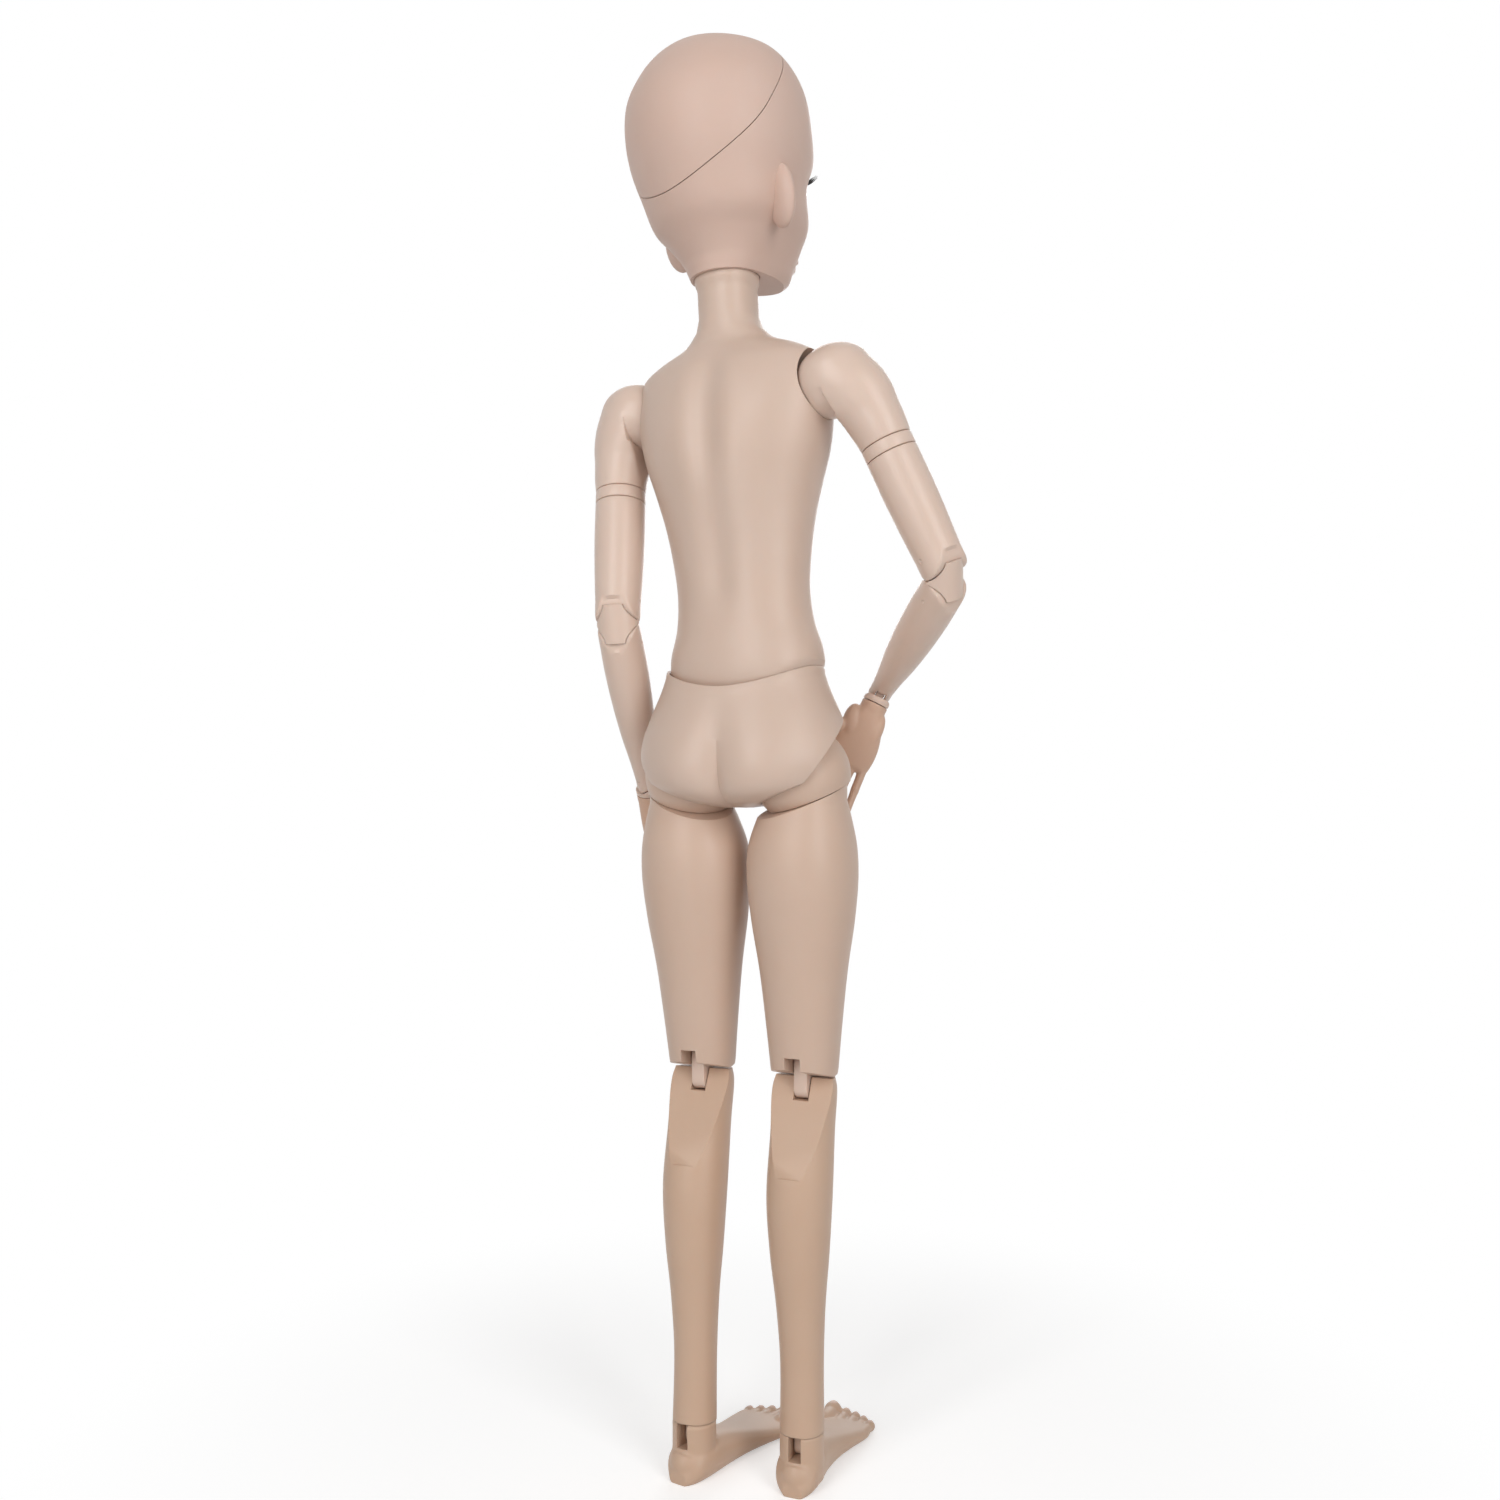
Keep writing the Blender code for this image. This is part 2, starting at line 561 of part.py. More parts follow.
def build_lashes(side, centre, head):
    """A thin curved fringe standing on the upper lid."""
    steps = 8
    bm = bmesh.new()
    sections = []
    for step in range(steps + 1):
        angle = radians(LASH_START_ANGLE + LASH_SWEEP_ANGLE * step / steps)
        x = centre[0] + EYE_OPENING_WIDTH / 2 * LASH_INSET_SHARE * cos(angle)
        z = centre[2] + EYE_OPENING_HEIGHT / 2 * LASH_INSET_SHARE * sin(angle) - SEAM
        inner = -EYE_DEPTH - EYE_RADIUS
        outer = -HEAD_FRONT - LASH_REACH
        section = ((inner, z), (outer, z + LASH_LIFT), (outer, z + LASH_LIFT - LASH_THICKNESS / 2),
                   (inner, z - LASH_THICKNESS))
        sections.append([bm.verts.new((x, y, height)) for y, height in section])
    for near, far in zip(sections, sections[1:]):
        for edge in range(4):
            bm.faces.new((near[edge], near[edge - 1], far[edge - 1], far[edge]))
    bm.faces.new(sections[0])
    bm.faces.new(sections[-1])
    add_piece(side + "_lashes", bm, head, LASH_BLACK)


def build_neck(torso):
    """The post in the neck's bore turns, the ball on it nods, and the head's socket tilts on the ball."""
    neck = pivot("neck_post_pivot", torso, (0.0, 0.0, NECK_HEIGHT))
    cup_top = -SEAM
    stem = rod(NECK_STEM_RADIUS, NECK_POST_LENGTH, centre=(0.0, 0.0, cup_top - NECK_POST_LENGTH / 2))
    post = add_piece("neck_post", stem, neck, INNER_PLASTIC)
    cut(post, add_cutter("neck_cup", seat(NECK_BALL_RADIUS + GAP), neck))
    nod = pivot("neck_ball_pivot", neck)
    add_piece("neck_ball", ball(NECK_BALL_RADIUS), nod, INNER_PLASTIC)
    head = pivot("head_pivot", nod, turned=turn('Z', HEAD_TURN))
    top = CAVITY_FLOOR - SEAM
    bottom = 2 * GAP
    middle = (top + bottom) / 2
    socket = add_piece("head_socket", rod(HEAD_SOCKET_RADIUS, top - bottom, centre=(0.0, 0.0, middle)),
                       head, INNER_PLASTIC)
    cut(socket, add_cutter("head_socket_cup", seat(NECK_BALL_RADIUS + GAP), head))
    seam = turn('X', -CAP_TILT)
    cap = pivot("head_cap_pivot", head)
    build_head(head, cap)
    crown = (HEAD_HEIGHT - HEAD_WALL * MAGNET_SINK_SHARE - CAP_POINT[2]) / sin(radians(CAP_TILT))
    for name, host_name, parent, side in (("head_magnet", "head_shell", head, -1),
                                          ("cap_magnet", "head_cap", cap, 1)):
        centre = seam_point(crown) + seam.to_3x3() @ Vector((0.0, 0.0, side * (MAGNET_DEPTH / 2 + SEAM)))
        disc = rod(MAGNET_RADIUS, MAGNET_DEPTH)
        pocket = rod(MAGNET_RADIUS + SEAM, MAGNET_DEPTH + 2 * SEAM)
        for shape in (disc, pocket):
            bmesh.ops.rotate(shape, verts=shape.verts, matrix=seam.to_3x3())
            bmesh.ops.translate(shape, verts=shape.verts, vec=centre)
        add_piece(name, disc, parent, STEEL)
        cut(bpy.data.objects[host_name], add_cutter(name + "_pocket", pocket, parent))


# Torso and waist


def torso_rows(inset=0.0, low=None, high=None):
    return scaled_rows(TORSO_SHARES, NECK_HEIGHT, CHEST_HALF_WIDTH, CHEST_FRONT, CHEST_BACK,
                       inset=inset, low=low, high=high)


def neck_rows():
    """The neck above the shoulders, ending in the dome that the head sits on."""
    base = TORSO_SHARES[-1][0] * NECK_HEIGHT
    rows = []
    for share in NECK_RING_SHARES:
        rows.append((base + (NECK_HEIGHT - base) * share, NECK_RADIUS, NECK_RADIUS, NECK_RADIUS))
    below = sqrt(NECK_DOME_RADIUS ** 2 - NECK_RADIUS ** 2)
    rows.append((NECK_HEIGHT - below, NECK_RADIUS, NECK_RADIUS, NECK_RADIUS))
    for angle in NECK_DOME_ANGLES:
        reach = NECK_DOME_RADIUS * cos(radians(angle))
        rows.append((NECK_HEIGHT + NECK_DOME_RADIUS * sin(radians(angle)), reach, reach, reach))
    return rows


def build_torso(torso):
    rows = torso_rows() + neck_rows()
    body = loft(rows, BODY_SEGMENTS, TORSO_SQUARENESS, ball_clip((0.0, 0.0, 0.0), WAIST_DOME_RADIUS, -1))
    shell = add_piece("torso_shell", body, torso, BODY_SKIN)
    low = -WAIST_DOME_RADIUS * TORSO_CAVITY_SHARE
    high = SHOULDER_HEIGHT
    cavity = add_cutter("torso_cavity", loft(torso_rows(TORSO_WALL, low, high), RING_SEGMENTS), torso)
    waist_hole = add_cutter("waist_hole", rod(WAIST_HOLE_RADIUS, 2 * WAIST_DOME_RADIUS, segments=24,
                                              centre=(0.0, 0.0, -WAIST_DOME_RADIUS)), torso)
    neck_base = SHOULDER_HEIGHT - OVERRUN
    bore_length = NECK_HEIGHT + NECK_DOME_RADIUS - neck_base
    neck_bore = add_cutter("neck_bore", rod(NECK_STEM_RADIUS + GAP, bore_length,
                                            centre=(0.0, 0.0, neck_base + bore_length / 2)), torso)
    mouth = add_cutter("neck_mouth", rod(NECK_BALL_RADIUS + GAP, NECK_DOME_RADIUS + OVERRUN,
                                         end_radius=NECK_MOUTH,
                                         centre=(0.0, 0.0, NECK_HEIGHT + (NECK_DOME_RADIUS + OVERRUN) / 2)), torso)
    neck_room = add_cutter("neck_room", ball(NECK_BALL_RADIUS + 2 * GAP, (0.0, 0.0, NECK_HEIGHT)), torso)
    cut(shell, cavity, waist_hole, neck_bore, neck_room, mouth)
    for s, side in ((1, "left"), (-1, "right")):
        place = (s * SHOULDER_SPAN / 2, 0.0, SHOULDER_HEIGHT)
        cut(shell, add_cutter(side + "_shoulder_socket", seat(SHOULDER_RADIUS + GAP, place, 18), torso))
        cut(shell, add_cutter(side + "_shoulder_bore", rod(PEG_RADIUS + GAP, SHOULDER_SPAN / 3, 'X',
                                                           (s * SHOULDER_SPAN / 3, 0.0, SHOULDER_HEIGHT)), torso))


def build_waist(pelvis):
    """A post that turns in the pelvis, a ball that bends on it and the torso's socket, which tilts on the ball."""
    waist = pivot("waist_post_pivot", pelvis, (0.0, 0.0, WAIST_HEIGHT), turn('Z', TORSO_TURN))
    floor = WAIST_DOME_RADIUS + GAP
    stem_length = floor - WAIST_CUP_HEIGHT + WAIST_STEM_DEPTH
    cup_middle = -2 * GAP - WAIST_CUP_HEIGHT / 2
    cup_bottom = -2 * GAP - WAIST_CUP_HEIGHT
    post = add_piece("waist_post", rod(WAIST_CUP_RADIUS, WAIST_CUP_HEIGHT, centre=(0.0, 0.0, cup_middle)),
                     waist, INNER_PLASTIC)
    stem = add_cutter("waist_stem", rod(WAIST_STEM_RADIUS, stem_length + OVERRUN,
                                        centre=(0.0, 0.0, cup_bottom + (OVERRUN - stem_length) / 2)), waist)
    join(post, stem)
    cut(post, add_cutter("waist_cup", seat(WAIST_BALL_RADIUS + GAP), waist))
    bend = pivot("waist_ball_pivot", waist)
    add_piece("waist_ball", ball(WAIST_BALL_RADIUS), bend, INNER_PLASTIC)
    torso = pivot("torso_pivot", bend, turned=turn('Y', TORSO_TILT))
    seat_low = 3 * GAP
    seat_high = seat_low + WAIST_SEAT_HEIGHT
    rows = torso_rows(TORSO_WALL + SEAM)
    middle = min(rows, key=lambda row: abs(row[0] - (seat_low + seat_high) / 2))
    plate = [(z,) + tuple(middle[1:]) for z in (seat_low, seat_high)]
    socket = add_piece("waist_socket", loft(plate, RING_SEGMENTS), torso, INNER_PLASTIC)
    cut(socket, add_cutter("waist_socket_cup", seat(WAIST_BALL_RADIUS + GAP), torso))
    return torso


def slanted_block(s, inner, reach, rise, side_share, back_share, about):
    """An upright block beside the crotch, whose top climbs towards the side and falls towards the back."""
    bm = bmesh.new()
    bmesh.ops.create_cube(bm, size=2.0)
    for vert in bm.verts:
        lateral = reach if vert.co.x > 0 else inner
        y = reach * vert.co.y
        top = rise + side_share * lateral + back_share * y
        vert.co = Vector(about) + Vector((s * lateral, y, top if vert.co.z > 0 else -2 * reach))
    return bm


def build_pelvis(pelvis):
    rows = scaled_rows(PELVIS_SHARES, PELVIS_HEIGHT, PELVIS_HALF_WIDTH, PELVIS_FRONT, PELVIS_BACK)
    shell = add_piece("pelvis_shell", loft(rows, BODY_SEGMENTS, PELVIS_SQUARENESS), pelvis, BODY_SKIN)
    cup = add_cutter("waist_dish", seat(WAIST_DOME_RADIUS + GAP, (0.0, 0.0, WAIST_HEIGHT), 28), pelvis)
    bore_top = WAIST_HEIGHT - WAIST_DOME_RADIUS + OVERRUN
    bore_length = WAIST_STEM_DEPTH + OVERRUN + WAIST_CUP_HEIGHT / 4
    bore = add_cutter("waist_bore", rod(WAIST_STEM_RADIUS + GAP, bore_length,
                                        centre=(0.0, 0.0, bore_top - bore_length / 2)), pelvis)
    cut(shell, cup, bore)
    reach = PELVIS_HALF_WIDTH
    for s, side in ((1, "left"), (-1, "right")):
        hip = (s * HIP_SPAN / 2, 0.0, 0.0)
        socket = add_cutter(side + "_hip_socket", seat(HIP_BALL_RADIUS + GAP, hip, 22), pelvis)
        inner = CROTCH_HALF_WIDTH - HIP_SPAN / 2
        opening = slanted_block(s, inner, reach, LEG_LINE_RISE, LEG_LINE_SIDE_SHARE, LEG_LINE_BACK_SHARE, hip)
        side_cut = slanted_block(s, inner, reach, LEG_CUT_RISE, LEG_CUT_SIDE_SHARE, LEG_CUT_BACK_SHARE, hip)
        bore_floor = WAIST_STEM_RADIUS - GAP
        peg_bore = add_cutter(side + "_hip_bore", rod(PEG_RADIUS + GAP, HIP_SPAN / 2 - bore_floor, 'X',
                                                      (s * (HIP_SPAN / 2 + bore_floor) / 2, 0.0, 0.0)), pelvis)
        cut(shell, socket, add_cutter(side + "_leg_line", opening, pelvis),
            add_cutter(side + "_leg_cut", side_cut, pelvis), peg_bore)


# Arms


def flat_clip(radius, height, side):
    """Round an end on a cylinder about X at a height, keeping points inside it beyond the height."""
    def clip(x, y, z):
        if (z - height) * side <= 0:
            return x, y, z
        reach = sqrt(max(radius ** 2 - (z - height) ** 2, 0.0))
        return x, max(-reach, min(reach, y)), z
    return clip


def end_rows(radius, height, side, half_width, depth):
    """Rings that carry a limb past its hinge pin and round the end about the pin."""
    return [(height + side * radius * sin(radians(angle)), half_width, depth, depth)
            for angle in (28.0, 54.0, 76.0)]


def build_arm(side, s, torso):
    shoulder = (s * SHOULDER_SPAN / 2, 0.0, SHOULDER_HEIGHT)
    swing = pivot(side + "_shoulder_peg_pivot", torso, shoulder, turn((-1, 0, 0), ARM_SWING[side]))
    peg_length = SHOULDER_SPAN / 3 - SEAM
    peg = add_piece(side + "_shoulder_peg", rod(PEG_RADIUS, peg_length, 'X', (-s * peg_length / 2, 0.0, 0.0)),
                    swing, INNER_PLASTIC)
    eye = add_cutter(side + "_shoulder_eye", rod(PEG_EYE_RADIUS, 2 * PEG_EYE_HALF_WIDTH, 'Y'), swing)
    pin_hole = add_cutter(side + "_shoulder_eye_hole", rod(PIN_RADIUS + GAP, 3 * PEG_EYE_HALF_WIDTH, 'Y'), swing)
    cut(join(peg, eye), pin_hole)

    raised = pivot(side + "_shoulder_cap_pivot", swing, turned=turn((0, -s, 0), ARM_RAISE[side]))
    rows = [(-SHOULDER_RADIUS * row[0], SHOULDER_RADIUS * row[1], SHOULDER_RADIUS * row[2],
             SHOULDER_RADIUS * row[3], s * SHOULDER_RADIUS * row[4], 0.0) for row in SHOULDER_SHARES]
    rows.append((-BAND_DROP, UPPER_ARM_RADIUS, UPPER_ARM_RADIUS, UPPER_ARM_RADIUS, s * ARM_OFFSET, 0.0))

    def medial(x, y, z):
        if x * s >= 0:
            return x, y, z
        least = CAP_MEDIAL_REACH if z < -SHOULDER_RADIUS else 0.0
        limit = max(least, sqrt(max(SHOULDER_RADIUS ** 2 - y * y - z * z, 0.0)))
        return max(-limit, min(limit, x)), y, z
    cap = add_piece(side + "_shoulder_cap", loft(rows, RING_SEGMENTS, clip=medial), raised, ARM_SKIN)
    cavity = add_cutter(side + "_shoulder_cavity", ball(SHOULDER_CAVITY_RADIUS), raised)
    wedge = sector(2 * SHOULDER_RADIUS, PEG_RADIUS + GAP, *SHOULDER_SLOT_ANGLES)
    if s < 0:
        bmesh.ops.scale(wedge, verts=wedge.verts, vec=(-1.0, 1.0, 1.0))
    slot = add_cutter(side + "_shoulder_slot", wedge, raised)
    pin_length = 2 * SHOULDER_RADIUS * PIN_REACH_SHARE
    pin_room = add_cutter(side + "_shoulder_pin_room", rod(PIN_RADIUS + SEAM, pin_length + SEAM, 'Y'), raised)
    core_length = BAND_DROP - SHOULDER_CAVITY_RADIUS * ARM_BORE_SHARE
    core = add_cutter(side + "_arm_core", rod(CORE_RADIUS, core_length, centre=(
        s * ARM_OFFSET * ARM_BORE_LEAN_SHARE, 0.0, -BAND_DROP + core_length / 2 - OVERRUN)), raised)
    cut(cap, cavity, slot, pin_room, core)
    add_piece(side + "_shoulder_pin", rod(PIN_RADIUS, pin_length, 'Y'), raised, STEEL)

    arm = pivot(side + "_upper_arm_pivot", raised, (s * ARM_OFFSET, 0.0, 0.0), turn('Z', ARM_TURN[side]))
    band_top = -BAND_DROP - SEAM
    band_low = band_top - BAND_HEIGHT
    band = rod(UPPER_ARM_RADIUS, BAND_HEIGHT, centre=(0.0, 0.0, (band_top + band_low) / 2), segments=RING_SEGMENTS)
    add_piece(side + "_arm_band", band, arm, ARM_SKIN)
    cut(bpy.data.objects[side + "_arm_band"],
        add_cutter(side + "_band_core", rod(CORE_RADIUS, 3 * BAND_HEIGHT, centre=(0.0, 0.0, band_low)), arm))
    top = band_low - SEAM
    length = UPPER_ARM_LENGTH + top
    rows = [(top - length * row[0],) + tuple(UPPER_ARM_RADIUS * share for share in row[1:4])
            for row in UPPER_ARM_SHARES]
    end = rows[-1]
    rows += end_rows(ELBOW_END_RADIUS, -UPPER_ARM_LENGTH, -1, end[1], end[2])
    upper = add_piece(side + "_upper_arm", loft(rows, RING_SEGMENTS,
                                                clip=flat_clip(ELBOW_END_RADIUS, -UPPER_ARM_LENGTH, -1)),
                      arm, ARM_SKIN)
    core_length = length * CORE_TOP_SHARE
    cut(upper, add_cutter(side + "_upper_arm_core", rod(CORE_RADIUS, core_length + OVERRUN, centre=(
        0.0, 0.0, top + OVERRUN - (core_length + OVERRUN) / 2)), arm))

    half = ELBOW_BEND[side] / 2
    link = pivot(side + "_elbow_link_pivot", arm, (0.0, 0.0, -UPPER_ARM_LENGTH), turn((-1, 0, 0), half))
    pin_length = build_elbow_link(side, link)
    cut(upper,
        strap_slot(side + "_upper_arm_slot", arm, STRAP_WIDTH + 2 * GAP, STRAP_RADIUS + GAP, -UPPER_ARM_LENGTH, -1,
                   2 * UPPER_ARM_RADIUS, STRAP_RADIUS + GAP),
        pin_pocket(side + "_upper_arm_pocket", arm, -UPPER_ARM_LENGTH, pin_length))
    lower = pivot(side + "_forearm_pivot", link, (0.0, 0.0, -ELBOW_LINK_LENGTH), turn((-1, 0, 0), half))
    build_forearm(side, s, lower, pin_length)


def stadium(radius, span, width):
    """A plate about X with round ends: one about the origin and one a span below it."""
    steps = 8
    upper = [(0.0, radius * cos(pi * step / steps), radius * sin(pi * step / steps)) for step in range(steps + 1)]
    lower = [(0.0, -y, -z - span) for x, y, z in upper]
    bm = bmesh.new()
    face = bm.faces.new([bm.verts.new(point) for point in upper + lower])
    grown = bmesh.ops.extrude_face_region(bm, geom=[face])["geom"]
    lifted = [v for v in grown if isinstance(v, bmesh.types.BMVert)]
    bmesh.ops.translate(bm, verts=lifted, vec=(width, 0.0, 0.0))
    bmesh.ops.translate(bm, verts=bm.verts, vec=(-width / 2, 0.0, 0.0))
    return bm


def hinge_pin(name, link, height, length):
    """A steel pin about X, which rides with the link, and the hole for it."""
    add_piece(name, rod(PIN_RADIUS, length, 'X', (0.0, 0.0, height), PIN_SEGMENTS), link, STEEL)
    return add_cutter(name + "_hole", rod(PIN_RADIUS + SEAM, 2 * length, 'X', (0.0, 0.0, height), PIN_SEGMENTS), link)


def pin_pocket(name, parent, height, length, turned=None):
    """The hole that a limb's end holds its pin in, closed at both ends."""
    pocket = rod(PIN_RADIUS + SEAM, length + 2 * SEAM, 'X', (0.0, 0.0, height), PIN_SEGMENTS)
    if turned is not None:
        bmesh.ops.transform(pocket, matrix=turned, verts=pocket.verts)
    return add_cutter(name, pocket, parent)


def strap_slot(name, parent, width, radius, height, side, front, back, turned=None):
    """Room for a strap in a limb's end: open past the end, and towards the front or back where it swings."""
    low = (-width / 2, -front, min(height - side * radius, height + side * 4 * radius))
    high = (width / 2, back, max(height - side * radius, height + side * 4 * radius))
    slot = box(low, high)
    if turned is not None:
        bmesh.ops.transform(slot, matrix=turned, verts=slot.verts)
    return add_cutter(name, slot, parent)


def build_elbow_link(side, link):
    """The saddle between the two rounded arm ends, with the strap that the pins go through."""
    half_width = UPPER_ARM_RADIUS * UPPER_ARM_SHARES[-1][1]
    depth = UPPER_ARM_RADIUS * UPPER_ARM_SHARES[-1][3]
    span = ELBOW_LINK_LENGTH
    saddle_bm = rod(1.0, span - 2 * GAP, centre=(0.0, 0.0, -span / 2), segments=RING_SEGMENTS)
    bmesh.ops.scale(saddle_bm, verts=saddle_bm.verts, vec=(half_width, depth, 1.0))
    saddle = add_piece(side + "_elbow_link", saddle_bm, link, ARM_SKIN)
    for word, height in (("upper", 0.0), ("lower", -span)):
        cut(saddle, add_cutter(side + "_elbow_" + word + "_seat",
                               rod(ELBOW_END_RADIUS + GAP, 4 * half_width, 'X', (0.0, 0.0, height), 24), link))
    front = box((-2 * half_width, -2 * depth, -2 * span), (2 * half_width, SADDLE_START, span))
    cut(saddle, add_cutter(side + "_elbow_front", front, link))
    join(saddle, add_cutter(side + "_elbow_strap", stadium(STRAP_RADIUS, span, STRAP_WIDTH), link))
    pin_length = 2 * half_width * PIN_REACH_SHARE
    cut(saddle, hinge_pin(side + "_elbow_upper_pin", link, 0.0, pin_length),
        hinge_pin(side + "_elbow_lower_pin", link, -span, pin_length))
    return pin_length


def build_forearm(side, s, lower, pin_length):
    rows = [(-FOREARM_LENGTH * row[0],) + tuple(FOREARM_RADIUS * share for share in row[1:4])
            for row in FOREARM_SHARES]
    first = rows[0]
    last = rows[-1]
    top_rows = end_rows(ELBOW_END_RADIUS, 0.0, 1, first[1], first[2])[::-1]
    tail_rows = end_rows(WRIST_END_RADIUS, -FOREARM_LENGTH, -1, last[1], last[2])
    heading = radians(-s * WRIST_PIN_HEADING)

    def clip(x, y, z):
        x, y, z = flat_clip(ELBOW_END_RADIUS, 0.0, 1)(x, y, z)
        if z > -FOREARM_LENGTH:
            return x, y, z
        reach = sqrt(max(WRIST_END_RADIUS ** 2 - (z + FOREARM_LENGTH) ** 2, 0.0))
        across = x * cos(heading) + y * sin(heading)
        along = -x * sin(heading) + y * cos(heading)
        across = max(-reach, min(reach, across))
        return across * cos(heading) - along * sin(heading), across * sin(heading) + along * cos(heading), z
    forearm = add_piece(side + "_forearm", loft(top_rows + rows + tail_rows, RING_SEGMENTS, clip=clip),
                        lower, ARM_SKIN)
    across_wrist = turn('Z', -s * WRIST_PIN_HEADING + 90.0)
    wrist_pin_length = 2 * last[1] * PIN_REACH_SHARE
    core_length = FOREARM_LENGTH - 4 * STRAP_RADIUS
    cut(forearm,
        strap_slot(side + "_forearm_slot", lower, STRAP_WIDTH + 2 * GAP, STRAP_RADIUS + GAP, 0.0, 1,
                   2 * FOREARM_RADIUS, STRAP_RADIUS + GAP),
        pin_pocket(side + "_forearm_pocket", lower, 0.0, pin_length),
        strap_slot(side + "_wrist_slot", lower, WRIST_STRAP_WIDTH + 2 * GAP, WRIST_STRAP_RADIUS + GAP, -FOREARM_LENGTH, -1,
                   2 * FOREARM_RADIUS, 2 * FOREARM_RADIUS, across_wrist),
        pin_pocket(side + "_wrist_pocket", lower, -FOREARM_LENGTH, wrist_pin_length, across_wrist),
        add_cutter(side + "_forearm_core", rod(CORE_RADIUS, core_length, segments=PIN_SEGMENTS, centre=(
            0.0, 0.0, -core_length / 2)), lower))
    build_wrist(side, s, lower, across_wrist, wrist_pin_length)


def build_wrist(side, s, lower, across_wrist, pin_length):
    """A small saddle that bends on the forearm's end, and the hand that turns on its flat face."""
    bent = across_wrist @ turn('X', s * WRIST_BEND[side])
    link = pivot(side + "_wrist_link_pivot", lower, (0.0, 0.0, -FOREARM_LENGTH), bent)
    height = WRIST_LINK_DROP
    saddle = add_piece(side + "_wrist_link", rod(WRIST_RADIUS, height, centre=(0.0, 0.0, -height / 2),
                                                 segments=RING_SEGMENTS), link, ARM_SKIN)
    ledge = box((-2 * WRIST_RADIUS, -2 * WRIST_RADIUS, -WRIST_LEDGE_DROP),
                (2 * WRIST_RADIUS, 2 * WRIST_RADIUS, height))
    cut(saddle, add_cutter(side + "_wrist_seat", rod(WRIST_END_RADIUS + GAP, 4 * WRIST_RADIUS, 'X', segments=20),
                           link), add_cutter(side + "_wrist_ledge", ledge, link))
    strap_span = height - WRIST_STRAP_RADIUS - SEAM
    join(saddle, add_cutter(side + "_wrist_strap", stadium(WRIST_STRAP_RADIUS, strap_span, WRIST_STRAP_WIDTH), link))
    join(saddle, add_cutter(side + "_wrist_trunnion", rod(PIN_RADIUS, pin_length, 'X', segments=PIN_SEGMENTS), link))
    cut(saddle, add_cutter(side + "_wrist_peg_hole", rod(PIN_RADIUS + GAP, HAND_PEG_LENGTH + 2 * GAP, segments=PIN_SEGMENTS,
                                                      centre=(0.0, 0.0, -height)), link))
    hand = pivot(side + "_hand_pivot", link, (0.0, 0.0, -height), across_wrist.inverted()
                 @ turn('Z', HAND_TURN[side]))
    build_hand(side, s, hand)


def build_hand(side, s, hand):
    """Palm and fingers grown from one block: the thumb points forward and the palm faces the body."""
    bm = bmesh.new()
    bmesh.ops.create_grid(bm, x_segments=4, y_segments=2, size=0.5)
    palm_faces = list(bm.faces)
    grown = bmesh.ops.extrude_face_region(bm, geom=palm_faces)["geom"]
    bmesh.ops.translate(bm, verts=[v for v in grown if isinstance(v, bmesh.types.BMVert)], vec=(0.0, 0.0, 1.0))
    bmesh.ops.recalc_face_normals(bm, faces=bm.faces)
    width = 2 * PALM_HALF_WIDTH
    for vert in bm.verts:
        along = 0.5 - vert.co.y
        across = vert.co.x
        level = vert.co.z - 0.5
        spread = PALM_WRIST_SHARE + (1.0 - PALM_WRIST_SHARE) * min(1.0, along / PALM_SPREAD_SHARE)
        thick = PALM_HEEL_SHARE + (PALM_KNUCKLE_SHARE - PALM_HEEL_SHARE) * along
        vert.co = Vector((level * PALM_THICKNESS * thick, across * width * spread,
                          -HAND_BASE - PALM_LENGTH * along))
    bmesh.ops.recalc_face_normals(bm, faces=bm.faces)
    finger_length = HAND_LENGTH - PALM_LENGTH
    ends = [f for f in bm.faces if f.normal.z < -0.8]
    ends.sort(key=lambda f: -f.calc_center_median().y)
    for face, share in zip(ends, FINGER_REACH_SHARES):
        grow_finger(bm, face, finger_length * share, Vector((-s * FINGER_CURL_SHARE, 0.0, -1.0)),
                    FINGER_THINNING_SHARES)
    side_faces = [f for f in bm.faces if f.normal.y < -0.7 and len(f.verts) == 4]
    side_faces.sort(key=lambda f: -f.calc_center_median().z)
    lean = Vector((s * THUMB_LEAN[0], THUMB_LEAN[1], THUMB_LEAN[2]))
    grow_finger(bm, side_faces[0], THUMB_LENGTH, lean, THUMB_THINNING_SHARES)
    piece = add_piece(side + "_hand", bm, hand, ARM_SKIN, flat_faces=False)
    soften = piece.modifiers.new("Soften", 'SUBSURF')
    soften.levels = 1
    soften.render_levels = 1
    base = rod(WRIST_RADIUS, 2 * HAND_BASE, centre=(0.0, 0.0, -HAND_BASE - SEAM), segments=RING_SEGMENTS)
    join(piece, add_cutter(side + "_hand_base", base, hand))
    join(piece, add_cutter(side + "_hand_peg", rod(PIN_RADIUS, HAND_PEG_LENGTH, segments=PIN_SEGMENTS), hand))


def grow_finger(bm, face, length, direction, thinning_shares):
    """Lengths grown out of one face, each a little thinner."""
    direction = direction.normalized()
    for thinning in thinning_shares:
        face = bmesh.ops.extrude_discrete_faces(bm, faces=[face])["faces"][0]
        bmesh.ops.translate(bm, verts=face.verts, vec=direction * (length / len(thinning_shares)))
        centre = face.calc_center_median()
        for vert in face.verts:
            vert.co = centre + (vert.co - centre) * thinning


# Legs


def seam_tilt(s):
    return turn('X', THIGH_SEAM_BACK_TILT * -1) @ turn('Y', s * -THIGH_SEAM_SIDE_TILT)


